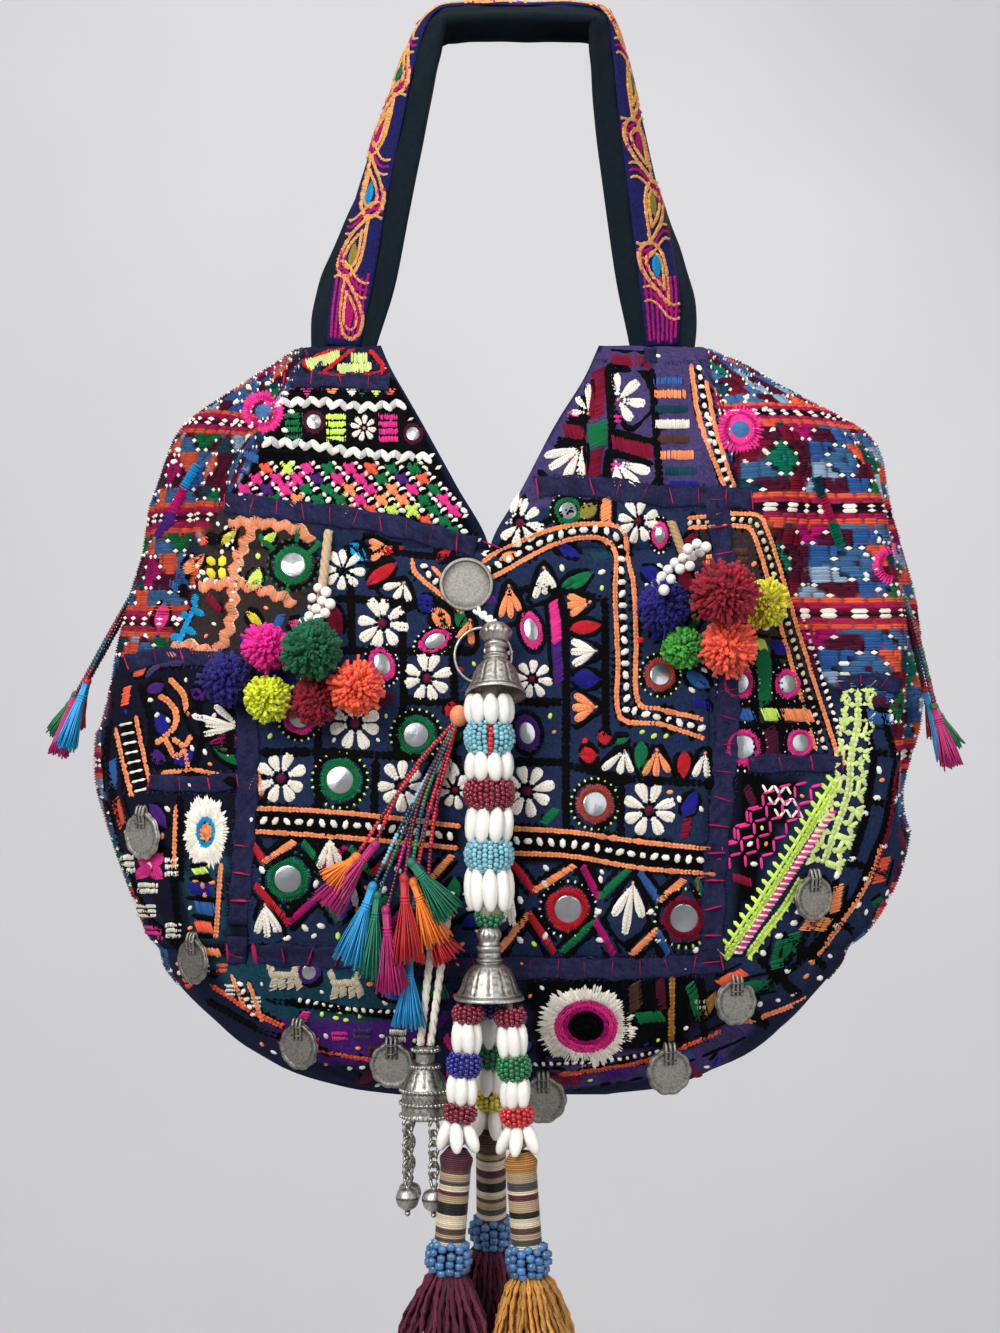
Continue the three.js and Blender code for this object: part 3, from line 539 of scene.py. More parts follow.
def worn_metal(name, dark, bright, roughness, scale):
    """White metal with dark patina in its hollows and rubbed bright patches."""
    finish, nodes, links, shader = new_finish(name, roughness, Metallic=0.92)
    place = add_node(nodes, links, "ShaderNodeTexCoord").outputs["Object"]
    noise = add_node(nodes, links, "ShaderNodeTexNoise", {"Vector": place, "Scale": scale, "Detail": 6.0})
    ramp = add_node(nodes, links, "ShaderNodeValToRGB", {"Fac": noise.outputs["Fac"]})
    ramp.color_ramp.elements[0].position = 0.36
    ramp.color_ramp.elements[0].color = (*dark, 1)
    ramp.color_ramp.elements[1].position = 0.6
    ramp.color_ramp.elements[1].color = (*bright, 1)
    tint = add_node(nodes, links, "ShaderNodeAttribute", attribute_name="tint").outputs["Color"]
    mixed = add_node(nodes, links, "ShaderNodeVectorMath", {0: ramp.outputs["Color"], 1: tint},
                     operation="MULTIPLY")
    links.new(mixed.outputs["Vector"], shader.inputs["Base Color"])
    fine = add_node(nodes, links, "ShaderNodeTexNoise", {"Vector": place, "Scale": scale * 6, "Detail": 3.0})
    relief = add_node(
        nodes, links, "ShaderNodeBump", {"Height": fine.outputs["Fac"], "Strength": 0.35, "Distance": 0.0004}
    )
    links.new(relief.outputs["Normal"], shader.inputs["Normal"])
    return finish


CLOTH = tinted("patch_cloth", roughness=0.95, grain=700, spread=0.3, bump=0.5, weave=900,
               Specular_IOR_Level=0.08)
THREAD = tinted("stitch_thread", roughness=0.75, grain=1600, spread=0.18, bump=0.4, Specular_IOR_Level=0.07)
WOOL = tinted("wool_yarn", roughness=0.95, grain=1300, spread=0.25, bump=0.6, Sheen_Weight=0.06)
SILK = tinted("silk_thread", roughness=0.5, grain=1500, spread=0.14, bump=0.2, Sheen_Weight=0.05)
STRAP_CLOTH = tinted("strap_cotton", roughness=0.9, grain=500, spread=0.18, bump=0.5, weave=1100,
                     Specular_IOR_Level=0.15)
SEED_GLASS = tinted("seed_bead", roughness=0.22, grain=500, spread=0.14, bump=0.1, Coat_Weight=0.3)
BONE = tinted("white_bead", roughness=0.28, grain=260, spread=0.05, bump=0.12, Coat_Weight=0.25)
COTTON = tinted("cotton_cord", roughness=0.9, grain=1200, spread=0.12, bump=0.5)
SILVER = worn_metal("old_silver", (0.34, 0.32, 0.28), (0.55, 0.53, 0.48), roughness=0.3, scale=700)
COIN_METAL = worn_metal("coin_metal", (0.2, 0.19, 0.165), (0.3, 0.285, 0.255), roughness=0.42, scale=900)
GLASS = worn_metal("mirror_glass", (0.34, 0.36, 0.37), (0.44, 0.46, 0.47), roughness=0.28, scale=60)


# The body's surface, with the sections and folds of the CAD model in millimetres

WALL = 2.4
CENTRE_X = -7.0
ROUNDNESS = 2.6
FRONT_SHARE = 1 / 3
PLEAT = 0.48
NECK_ROW, BASE_ROW = 4, 9
# z, left reach, right reach, notch, left seam, right seam, front depth, back depth
SECTIONS = np.array([
    (-168, 95, 108, 54, 88, 98, 11, 10),
    (-184, 120, 142, 47, 101, 110, 23, 20),
    (-210, 160, 192, 32, 117, 118, 37, 31),
    (-240, 172, 206, 16, 132, 120, 47, 39),
    (-270, 178, 214, 0, 134, 110, 54, 44),
    (-304, 188, 221, 0, 128, 106, 61, 48),
    (-344, 195, 222, 0, 124, 105, 67, 51),
    (-384, 194, 213, 0, 121, 105, 71, 53),
    (-424, 184, 203, 0, 119, 105, 72, 53),
    (-466, 165, 181, 0, 117, 104, 65, 49),
    (-496, 143, 156, 0, 104, 96, 51, 39),
    (-520, 114, 126, 0, 84, 82, 33, 26),
    (-535, 78, 92, 0, 58, 60, 15, 12),
    (-541, 46, 58, 0, 34, 38, 0, 0),
], float)
LAST_ROW = len(SECTIONS) - 1
FOLDS = table("side along width depth top end", [
    (-1, PLEAT, 0.03, 24, 0.6, 6.4), (1, PLEAT, 0.03, 28, 0.6, 7.6), (-1, 0.365, 0.025, 7, 5.6, 9.4),
    (1, 0.4, 0.028, 5, 6, 9.4), (-1, 0.374, 0.018, 9, 1.2, 6.4), (1, 0.386, 0.02, 12, 1.4, 7.8),
    (-1, 0.2, 0.05, 3.5, 4.6, 9), (1, 0.16, 0.045, 3, 5, 9.4), (-1, 0.8, 0.05, 6, 3, 9.5),
    (1, 0.78, 0.05, 6, 2.4, 9),
])
RING_LENGTH = 430.0  # about half the way round the belly


def sections(row):
    """The section columns at row numbers between the table's rows."""
    k = np.clip(np.floor(row), 0, LAST_ROW - 1).astype(int)
    f = (row - k)[..., None]
    a, b, c, d = (SECTIONS[np.clip(k + i, 0, LAST_ROW)] for i in (-1, 0, 1, 2))
    return catmull_rom(a, b, c, d, f)


def fold_depth(side, along, row):
    depth = np.zeros(np.broadcast(side, along, row).shape)
    for fold in FOLDS:
        down = np.clip((row - fold.top) / (fold.end - fold.top), 0, 1)
        dent = fold.depth * np.sin(np.pi * down) ** 0.7 * near(along, fold.along, fold.width)
        depth = depth + np.where((side == fold.side) & (down > 0) & (down < 1), dent, 0)
    return depth


def skin(side, along, row):
    """Points of the plain outer surface, in millimetres."""
    side, along, row = np.broadcast_arrays(*(np.asarray(v, float) for v in (side, along, row)))
    z, left, right, notch, seam_left, seam_right, front, back = np.moveaxis(sections(row), -1, 0)
    reach = np.where(side < 0, left, right)
    seam = np.where(side < 0, seam_left, seam_right)
    angle_of = lambda share: np.arcsin(np.clip(share, 0, 1) ** (ROUNDNESS / 2))
    first = angle_of(np.where(row < NECK_ROW, np.maximum(notch, 0.3), 0) / reach)
    edge = angle_of(seam / reach)
    middle = edge + (np.pi - 2 * edge) * (along - FRONT_SHARE) / (1 - 2 * FRONT_SHARE)
    angle = np.where(
        along < FRONT_SHARE,
        first + (edge - first) * along / FRONT_SHARE,
        np.where(along > 1 - FRONT_SHARE, np.pi - first - (edge - first) * (1 - along) / FRONT_SHARE, middle),
    )
    sine, cosine = np.sin(angle), np.cos(angle)
    depth = np.where(cosine > 0, front, back)
    dent = np.minimum(fold_depth(side, along, row), 0.45 * (front + back))
    power = 2 / ROUNDNESS
    x = CENTRE_X + side * (reach * np.abs(sine) ** power - dent * sine)
    y = -np.sign(cosine) * depth * np.abs(cosine) ** power + dent * cosine
    return np.stack([x, y, z], -1)


def skin_normal(side, along, row):
    step_along, step_row = 0.004, 0.03
    place = lambda a, r: skin(side, np.clip(a, 0, 1), np.clip(r, 0, LAST_ROW))
    round_ring = place(along + step_along, row) - place(along - step_along, row)
    down = place(along, row + step_row) - place(along, row - step_row)
    normal = unit(np.cross(down, round_ring) * np.asarray(side, float)[..., None])
    flat = np.array([0.0, 0.0, -1.0])
    return np.where((np.asarray(row) > LAST_ROW - 0.05)[..., None], flat, normal)


SEAM_DENT, SEAM_REACH, SEAM_ROWS = 2.6, 0.011, 0.14  # millimetres, share of the half ring, rows
PUCKERS = [(61, 3.1, 0.4, 0.8), (37, -5.3, 1.7, 0.9), (97, 7.9, 2.6, 0.45), (23, 9.7, 4.1, 0.6),
           (131, -11.0, 0.9, 0.3)]


def pucker(side, along, row):
    """Small rises and dents of sewn cloth, in millimetres, fading to nothing at the bottom line."""
    total = np.zeros(np.broadcast(along, row).shape)
    for across, down, start, size in PUCKERS:
        total = total + size * np.sin(across * along + down * row * 0.35 + start * (2 + side))
    for seam in (FRONT_SHARE, 1 - FRONT_SHARE):
        total = total - SEAM_DENT * near(along, seam, SEAM_REACH) * (row > 0.5)
    at_wall = (along < FRONT_SHARE) | (along > 1 - FRONT_SHARE)
    total = total - SEAM_DENT * near(row, NECK_ROW, SEAM_ROWS) * at_wall
    total = total - SEAM_DENT * near(row, BASE_ROW, SEAM_ROWS)
    return total * np.clip((LAST_ROW - row) / 2, 0, 1) * np.clip(row / 0.8, 0.25, 1)


def cloth(side, along, row, rise=0.0):
    """Points of the sewn cloth in metres, a given number of millimetres above it."""
    side, along, row = np.broadcast_arrays(*(np.asarray(v, float) for v in (side, along, row)))
    lift = pucker(side, along, row) + rise
    return (skin(side, along, row) + skin_normal(side, along, row) * lift[..., None]) * MM


def row_at(z):
    """Row numbers of heights in millimetres."""
    rows = np.linspace(0, LAST_ROW, 800)
    heights = sections(rows)[:, 0]
    return np.interp(-np.asarray(z, float), -heights, rows)


def sheet_faces(rows, columns, closed_ring=False):
    """Faces of a thick sheet: an outer and an inner grid of points, joined round the open edges."""
    layer = rows * columns
    at = lambda j, i, depth: depth * layer + j * columns + i % columns
    quads = []
    last = columns if closed_ring else columns - 1
    for j in range(rows - 1):
        for i in range(last):
            quads.append((at(j, i, 0), at(j + 1, i, 0), at(j + 1, i + 1, 0), at(j, i + 1, 0)))
            quads.append((at(j, i, 1), at(j, i + 1, 1), at(j + 1, i + 1, 1), at(j + 1, i, 1)))
    for i in range(last):
        quads.append((at(0, i, 0), at(0, i + 1, 0), at(0, i + 1, 1), at(0, i, 1)))
        if not closed_ring:
            j = rows - 1
            quads.append((at(j, i + 1, 0), at(j, i, 0), at(j, i, 1), at(j, i + 1, 1)))
    for j in range(rows - 1) if not closed_ring else ():
        quads.append((at(j + 1, 0, 0), at(j, 0, 0), at(j, 0, 1), at(j + 1, 0, 1)))
        i = columns - 1
        quads.append((at(j, i, 0), at(j + 1, i, 0), at(j + 1, i, 1), at(j, i, 1)))
    return np.array(quads)


FINE, COARSE = 2.8, 3.8  # grid sizes of the cloth in front and elsewhere, millimetres
# Lengths of cloth that set the number of grid steps, millimetres
SPAN = SimpleNamespace(half_front=130, wall=200, yoke=120, side_wide=200, side_high=310, half_ring=330,
                       bottom=100)
outer_grids = []  # outer faces of all walls, for casting the embroidery onto them


def add_wall(name, node, side, along, row, slot, closed_ring=False):
    """A cloth wall over a grid of surface numbers."""
    outer = cloth(side, along, row)
    inner = cloth(side, along, row, -WALL)
    pile = Pile()
    tint = ground_tint(outer).reshape(-1, 3)
    flat = [v.ravel() for v in np.broadcast_arrays(np.asarray(side, float), along, row)]
    counted_ground(tint, *flat, outer.reshape(-1, 3))
    lining = np.broadcast_to(TINT["ink"], tint.shape)
    points = np.concatenate([outer.reshape(-1, 3), inner.reshape(-1, 3)])
    faces = sheet_faces(*row.shape, closed_ring)
    inside_out = volume(points, faces) < 0
    pile.add(points, faces[:, ::-1] if inside_out else faces, np.concatenate([tint, lining]))
    outer_grids.append((outer, closed_ring, inside_out))
    return pile.make(name, CLOTH, slot, (node,))


def volume(points, quads):
    """Six times the volume within a closed mesh of quads, negative where its faces look inwards."""
    a, b, c, d = (points[quads[:, i]] for i in range(4))
    return np.sum(a * np.cross(b, c)) + np.sum(a * np.cross(c, d))


def add_walls():
    """The front and back walls, the four yokes, the side panels and the bottom."""
    share_of = lambda cell: np.linspace(0, FRONT_SHARE, int(SPAN.half_front / cell))
    for name, node, cell, place in (
        ("front_wall", "front_panel", FINE, lambda u: np.abs(u)),
        ("back_wall", "back_panel", COARSE, lambda u: 1 - np.abs(u)),
    ):
        share = share_of(cell)
        rows = np.linspace(NECK_ROW, BASE_ROW, int(SPAN.wall / cell))
        u, row = np.meshgrid(np.concatenate([-share[:0:-1], share]), rows)
        add_wall(name, node, np.where(u < 0, -1.0, 1.0), place(u), row, "patchwork")
    for word, side in (("left", -1.0), ("right", 1.0)):
        for face, cell, place in (("front", FINE, lambda u: u), ("back", COARSE, lambda u: 1 - u)):
            u, row = np.meshgrid(share_of(cell), np.linspace(0, NECK_ROW, int(SPAN.yoke / cell)))
            add_wall(f"{face}_{word}_yoke_cloth", f"{face}_{word}_yoke", side, place(u), row, "yoke_cloth")
        across = np.linspace(FRONT_SHARE, 1 - FRONT_SHARE, int(SPAN.side_wide / COARSE))
        u, row = np.meshgrid(across, np.linspace(0, BASE_ROW, int(SPAN.side_high / COARSE)))
        add_wall(f"{word}_side_cloth", f"{word}_side_panel", side, u, row, "counted_thread")
    once_round = np.linspace(0, 2, 2 * int(SPAN.half_ring / COARSE), endpoint=False)
    u, row = np.meshgrid(once_round, np.linspace(BASE_ROW, LAST_ROW, int(SPAN.bottom / COARSE)))
    side = np.where(u < 1, -1.0, 1.0)
    along = np.where(u < 1, u, 2 - u)
    add_wall("bottom_cloth", "bottom_panel", side, along, row, "patchwork", closed_ring=True)


def ground_tint(points):
    """The cloth's own colour before it is embroidered, by patch."""
    base = np.broadcast_to(TINT["ground"], points.shape).copy()
    pixels = pixels_of(points.reshape(-1, 3)).reshape(*points.shape[:-1], 2)
    for patch in GROUNDS:
        corners = np.array(patch.corners, float)
        near_patch = np.all((pixels > corners.min(axis=0)) & (pixels < corners.max(axis=0)), axis=-1)
        for spot_index in zip(*np.nonzero(near_patch)):
            if within(pixels[spot_index], corners):
                base[spot_index] = TINT[patch.tint]
    return base


# The strap

STRAP_THICK, STRAP_HALF = 2.6, 24.0
STRAP_CURL = math.radians(52)
TRIM_THICK, TRIM_GAP, TRIM_SHARE = 1.2, 0.3, 0.5
TRIM_END = 0.058  # where the strip starts, as a share of the strap's line
HEM_RISE, HEM_PLACE, HEM_WIDTH = 1.1, 0.94, 0.07
TRIM_EDGE, TRIM_EDGE_WIDTH = 0.5, 0.05
STRAP_ROUTE = np.array([  # x, z, twist, width, curl
    (-80, -184, 0, 29, 0),
    (-80, -165, 3, 33, 0.1),
    (-75, -134, 25, 43, 0.6),
    (-67, -94, 46, 47, 0.9),
    (-57, -54, 60, 48, 1),
    (-47, -22, 74, 48, 1),
    (-36, -3, 88, 48, 1),
    (-20, 1.3, 90, 48, 1),
    (8, 1.3, 90, 48, 1),
    (36, 1.3, 90, 48, 1),
    (51, -3, 88, 48, 1),
    (58, -22, 74, 48, 1),
    (64, -54, 60, 48, 1),
    (71, -94, 46, 47, 0.9),
    (77, -134, 25, 43, 0.6),
    (79, -165, 3, 33, 0.1),
    (79, -184, 0, 29, 0),
], float)
STRAP_STEPS = 14  # smoothing steps between two stations
strap_line = smooth_line(STRAP_ROUTE, STRAP_STEPS)


def strap_point(place, across, rise):
    """A point of the strap and the outward direction there; place runs from 0 to 1, across from -1 to 1."""
    spot = np.clip(place, 0, 1) * (len(strap_line) - 1)
    x, z, twist, width, curl = (np.interp(spot, np.arange(len(strap_line)), c) for c in strap_line.T)
    slope = np.gradient(strap_line[:, :2], axis=0)
    dx, dz = (np.interp(spot, np.arange(len(strap_line)), c) for c in slope.T)
    ahead = unit(np.stack([dx, 0 * dx, dz], -1))
    away = np.stack([-ahead[..., 2], 0 * dx, ahead[..., 0]], -1)
    angle = np.radians(twist)[..., None]
    normal = away * np.sin(angle) + np.array([0.0, -1.0, 0.0]) * np.cos(angle)
    aside = np.cross(ahead, normal)
    arc = np.maximum(STRAP_CURL * curl, 1e-3)
    radius = width / 2 / arc
    reach = (radius + rise)[..., None] if np.ndim(radius) else radius + rise
    bend = (arc * across)[..., None]
    middle = np.stack([x, 0 * x, z], -1)
    point = middle + aside * reach * np.sin(bend) + normal * (reach * np.cos(bend) - radius[..., None])
    return point * MM, unit(aside * np.sin(bend) + normal * np.cos(bend))


def add_band(name, outer, inner, tint, finish, slot, node):
    """A thick band between two grids of points."""
    pile = Pile()
    points = np.concatenate([outer.reshape(-1, 3), inner.reshape(-1, 3)])
    pile.add(points, sheet_faces(*outer.shape[:2]), TINT[tint])
    pile.make(name, finish, slot, (node,))


def add_strap():
    """The teal strap with rolled hems, and the royal blue strip that carries its embroidery."""
    places = np.linspace(0, 1, 130)
    across = np.linspace(-1, 1, 25)
    u, v = np.meshgrid(across, places)
    hem = HEM_RISE * near(np.abs(u), HEM_PLACE, HEM_WIDTH)
    crease = 0.35 * np.sin(55 * v + 6 * u) + 0.25 * np.sin(140 * v - 9 * u)
    outer, _ = strap_point(v, u, STRAP_THICK / 2 + hem + crease)
    inner, _ = strap_point(v, u, -STRAP_THICK / 2 - hem + crease)
    add_band("shoulder_strap_cloth", outer, inner, "strap", STRAP_CLOTH, "strap_cloth", "shoulder_strap")
    places = np.linspace(TRIM_END, 1 - TRIM_END, 110)
    u, v = np.meshgrid(np.linspace(-TRIM_SHARE, TRIM_SHARE, 11), places)
    low = STRAP_THICK / 2 + TRIM_GAP
    edge = TRIM_EDGE * near(np.abs(u), TRIM_SHARE, TRIM_EDGE_WIDTH)
    outer, _ = strap_point(v, u, low + TRIM_THICK - edge + 0.12 * np.sin(90 * v + 8 * u))
    inner, _ = strap_point(v, u, low + 0 * u)
    add_band("strap_trim_cloth", outer, inner, "strip", CLOTH, "strap_embroidery", "strap_trim")


# Metal

DROP_AXIS = np.array([CENTRE_X, -89.0, 0.0])
FACE_TILT = 84  # the button and the ring turned about X
BUTTON = SimpleNamespace(radius=12.8, half=0.9, sunk=0.25)
RING_RADIUS, RING_WIRE = 13.4, 0.75
LOOP_ROUTE = [(-13.4, -63.9, -300), (-9, -68.2, -303.2), (-4.8, -74.4, -306)]
BELL_STEPS, BELL_SIDES, BELL_LEAVES = 5, 96, 12
LOWER_BELL_Z, LOWER_BELL_LENGTH = -446.1, 34.6
BELLS = table("node place tilt shape", [
    ("upper_bell", (-4.0, -75.0, -307.0), -22, dict(stem=5, mouth=14.2, length=36, knob=7.8, wall=1)),
    ("lower_bell", DROP_AXIS + (0, 0, LOWER_BELL_Z - 0.3), 0,
     dict(stem=5.4, mouth=16.2, length=LOWER_BELL_LENGTH, knob=5.8, wall=1)),
])
NECK_RINGS = (0.27, 0.36, 0.44, 0.52, 0.94)  # down the bell, as shares of its length


def bell_profile(stem, mouth, length, knob, wall):
    """The CAD bell's outline, rounded, with a lip and raised rings, down the outside and back up inside."""
    outer = smooth_line([
        (0.4, 0), (0.62 * knob, -0.02 * length), (knob, -0.13 * length), (0.8 * knob, -0.22 * length),
        (stem, -0.27 * length), (1.12 * stem, -0.31 * length), (stem, -0.35 * length), (stem, -0.44 * length),
        (1.15 * stem, -0.47 * length), (1.02 * stem, -0.51 * length), (0.55 * mouth, -0.58 * length),
        (0.72 * mouth, -0.7 * length), (0.84 * mouth, -0.86 * length), (0.97 * mouth, -0.95 * length),
        (mouth, -0.98 * length), (mouth, -length),
    ], BELL_STEPS)
    inner = smooth_line([
        (mouth - 0.8 * wall, -length), (0.8 * mouth - wall, -0.86 * length),
        (0.68 * mouth - wall, -0.72 * length), (0.3 * mouth, -0.68 * length), (0.4, -0.68 * length),
    ], 2)
    return np.concatenate([outer, inner])


def add_bell(bell):
    """A bell with a melon knob, dark rings on its neck and chased leaves on its flare."""
    profile = bell_profile(**bell.shape)
    outside = np.arange(len(profile)) <= 15 * BELL_STEPS

    def groove(turn, line):
        depth = -line[:, 1:] / bell.shape["length"]
        lobe = np.abs(np.sin(BELL_LEAVES / 2 * turn))
        knob = (1 - lobe) ** 2 * near(depth, 0.13, 0.07)
        veins = 0.7 * near(np.sin(34 * depth + 2.5 * lobe), 0, 0.35)
        flare = np.maximum(near(lobe, 0, 0.22), veins) * ((depth > 0.57) & (depth < 0.92))
        rings = sum(near(depth, level, 0.012) for level in NECK_RINGS) * np.ones_like(lobe)
        return np.clip(np.maximum(np.maximum(knob, flare), rings), 0, 1) * outside[:, None]

    points, faces, shade = lathe(profile, BELL_SIDES, groove, depth=0.05)
    pile = Pile()
    pile.add((turned(points, about_x=bell.tilt) + bell.place) * MM, faces, shade)
    pile.make(f"{bell.node}_metal", SILVER, "old_silver", (bell.node,))


def add_button():
    """The worn coin that closes the neck, its white loop, and the split ring."""
    place = centre_of("coin_button")
    r, half, face = BUTTON.radius, BUTTON.half, BUTTON.half - BUTTON.sunk
    upper = [(0.1, face), (0.82 * r, face), (0.86 * r, half), (0.97 * r, half), (r, 0.4)]
    profile = smooth_line(upper + [(reach, -z) for reach, z in upper[::-1]], 3)
    worn = lambda turn, line: near(line[:, :1], 0.83 * r, 0.5) * (0.6 + 0.2 * np.sin(3 * turn))
    points, faces, shade = lathe(profile, sides=64, groove=worn)
    pile = Pile()
    pile.add((turned(points, about_x=FACE_TILT) + place) * MM, faces, shade)
    pile.make("coin_button_disc", COIN_METAL, "coin_metal", ("coin_button",))
    ring = centre_of("split_ring")
    turn = np.linspace(0, 4 * np.pi, 120)
    coil = np.column_stack([RING_RADIUS * circle(turn), RING_WIRE * (turn / (2 * np.pi) - 1)])
    pile = Pile()
    pile.tube(turned(coil, about_x=FACE_TILT) + ring, RING_WIRE, sides=8, tint=TINT["silver"])
    pile.make("split_ring_coil", SILVER, "old_silver", ("split_ring",))
    loop = smooth_line(LOOP_ROUTE, 8)
    axes = np.array([(1.0, 0.0, 0.6), (0.0, 0.5, 1.0)])
    twist = np.linspace(0, 3 * np.pi, len(loop))
    pile = Pile()
    for phase in (0, np.pi):
        path = loop + 0.9 * circle(twist + phase) @ axes
        pile.tube(path, radius=0.95, sides=8, tint=TINT["white"])
    pile.make("button_loop_cord", COTTON, "cotton", ("button_loop",))


COIN_FACING = table("node facing radius", [
    ("far_left_coin", -38, 11.4), ("low_left_coin", -44, 11), ("base_left_coin", -32, 11),
    ("rear_drop_coin", -12, 11), ("middle_coin", 4, 11.4), ("base_right_coin", 16, 11.2),
    ("low_right_coin", 22, 10.8), ("far_right_coin", 30, 10.8),
])
COIN_LOBES, RIM_DOTS = 10, 26
# Painted highlight: one coin's colour is brightened, as if more light fell on it than on the other coins
COIN_PAINTED_HIGHLIGHT = {"far_left_coin": 1.6}  # beside the other coins


def add_coins():
    """Scalloped coins with a dotted rim, a plain worn face and a ridged strap that takes the thread."""
    for coin in COIN_FACING:
        low, high = box_of(coin.node)
        centre = np.array([(low[0] + high[0]) / 2, (low[1] + high[1]) / 2, low[2] + coin.radius])
        half, r = 0.8, coin.radius
        profile = smooth_line(
            [(0.1, half - 0.35), (0.5 * r, half - 0.3), (0.78 * r, half - 0.35), (0.86 * r, half),
             (0.96 * r, half),
             (r, 0.3), (r, -0.3), (0.96 * r, -half), (0.1, -half)],
            3,
        )

        def groove(turn, line):
            edge = (line[:, :1] / r) ** 4 * 0.5 * (1 - np.abs(np.cos(COIN_LOBES / 2 * turn)))
            dots = near(line[:, :1], 0.8 * r, 0.05 * r) * (0.5 + 0.5 * np.sin(RIM_DOTS * turn))
            return np.clip(edge + 0.8 * dots * (line[:, 1:] > 0), 0, 1)

        points, faces, shade = lathe(profile, sides=60, groove=groove, depth=0.09)
        pile = Pile()
        # One coin's patina shade is brightened as a painted highlight
        shade = shade * COIN_PAINTED_HIGHLIGHT.get(coin.node, 1.0)
        pile.add((turned(points, about_x=90, about_z=coin.facing) + centre) * MM, faces, shade)
        bars = []
        for x in (-2.2, 0, 2.2):
            front = [(x, -1.1, 0.3 * r), (x, -1.3, 0.62 * r), (x, -1.6, 0.95 * r)]
            bars.append(smooth_line([*front, (x, 0, r + 2.8), (x, 1.6, 0.9 * r)], 3))
        paths = turned(np.array(bars), about_z=coin.facing) + centre
        pile.tubes(paths * MM, np.full(paths.shape[:2], 0.8 * MM), sides=6, tint=TINT["silver"])
        wires = [[(-3, -2.0, level * r), (0, -2.3, level * r), (3, -2.0, level * r)] for level in (0.5, 0.86)]
        paths = turned(np.array(wires), about_z=coin.facing) + centre
        pile.tubes(paths * MM, np.full(paths.shape[:2], 0.45 * MM), sides=6, tint=TINT["silver"] * 0.7)
        pile.make(f"{coin.node}_disc", COIN_METAL, "coin_metal", (coin.node,))


# Bead strands

STRAND_TOP = -341.0


def bone_tier(pile, frame_points, top, height, radius, count, bead, spread=0.0):
    """A sheaf of white oval beads round the axis; spread splays their lower ends."""
    turn = 2 * np.pi * (np.arange(count) + rng.uniform(0, 1)) / count
    reach = radius - bead
    out = np.stack([np.cos(turn), np.sin(turn), 0 * turn], -1)
    places = out * (reach + spread / 2) + np.array([0, 0, top - height / 2])
    long_axis = unit(out * spread + np.array([0, 0, -height * 0.5]) + rng.normal(0, 0.35, out.shape))
    side = unit(np.cross(long_axis, out))
    other = np.cross(side, long_axis)
    frames = np.stack([side * bead, other * bead, long_axis * (height * 0.55)], -1)
    pile.stamps(OVAL, frame_points(places) * MM, frames * MM, TINT["bone"])


def seed_ring(pile, frame_points, top, height, radius, tint, seed, stripe=None):
    """Upright columns of seed beads over a barrel; stripe recolours one column in front."""
    rows = max(3, round(height / (1.65 * seed)))
    columns = int(2 * np.pi * (radius - seed) / (1.95 * seed))
    turn, at = np.meshgrid(turns(columns), (np.arange(rows) + 0.5) / rows)
    at = np.clip(at + (np.arange(columns) % 2 - 0.5) * 0.4 / rows, 0, 1)
    bulge = (radius - seed) * (0.66 + 0.34 * np.sin(np.pi * at) ** 0.7)
    places = np.stack([bulge * np.cos(turn), bulge * np.sin(turn), top - at * height], -1).reshape(-1, 3)
    count = len(places)
    places = places + rng.normal(0, 0.1 * seed, places.shape)
    frames = np.eye(3) * np.array([1.08, 1.08, 0.98]) * seed * rng.uniform(0.95, 1.12, (count, 1, 1))
    shade = tint * rng.uniform(0.75, 1.2, (count, 1))
    if stripe is not None:
        shade[np.arange(count) % columns == round(0.77 * columns)] = stripe
    pile.stamps(SEED, frame_points(places) * MM, frames * MM, shade)


UPPER_TIERS = table("kind height radius tint", [
    ("bone", 11, 12, None), ("seed", 15.4, 12.2, "turquoise"), ("bone", 11, 12, None),
    ("seed", 14.6, 12.4, "maroon"), ("bone", 13.6, 12, None), ("seed", 14.9, 12, "turquoise"),
    ("bone", 16.5, 12, None), ("seed", 8.7, 7.2, "green"),
])
LOWER_TIERS = table("kind height radius", [
    ("seed", 8, 8), ("bone", 14, 7.6), ("seed", 11, 8.6), ("bone", 12.5, 7.6), ("seed", 8.5, 8.2),
    ("bone", 12.5, 8.2),
])
STRANDS = table("name x y lean pitch drop yarn rings knob", [
    ("left", -9.2, -5, 4.6, 0, 0, "wine", ("maroon", "royal", "maroon"), "wine"),
    ("right", 9.2, -5, -4.2, 0, 1.5, "ochre", ("maroon", "green", "red"), "ochre"),
    ("rear", 0, 9.6, -0.5, 12, -0.7, "wine", ("royal", "green", "yellow"), "brown"),
])
HANDLE = SimpleNamespace(top=69, knob=8, knob_high=8.5, grip=7.2, collar_top=111.5, collar=11.4, end=126)
TASSEL = SimpleNamespace(top=126.4, end=205, neck=9, flare=19.5)


def add_upper_strand():
    """The strand between the bells: seed rings between sheaves of beads."""
    pile, beads = Pile(), Pile()
    straight = lambda points: points + DROP_AXIS
    z = STRAND_TOP
    core, faces, _ = lathe([(0.1, -335), (4, -335), (4, -341), (7, -345), (7, -440), (4, -446),
                            (0.1, -446)], sides=20)
    pile.add((core + DROP_AXIS) * MM, faces, TINT["cream"] * 0.4)
    for tier in UPPER_TIERS:
        if tier.kind == "bone":
            bone_tier(beads, straight, z + 1.2, tier.height + 2.4, tier.radius, count=8, bead=3.7)
        else:
            stripe = TINT["red"] if tier.height > 15 else None
            seed_ring(pile, straight, z, tier.height, tier.radius, TINT[tier.tint], seed=1.35, stripe=stripe)
        z -= tier.height
    pile.make("upper_seed_rings", SEED_GLASS, "beads")
    beads.make("upper_bone_beads", BONE, "beads", ("upper_bead_strand",))


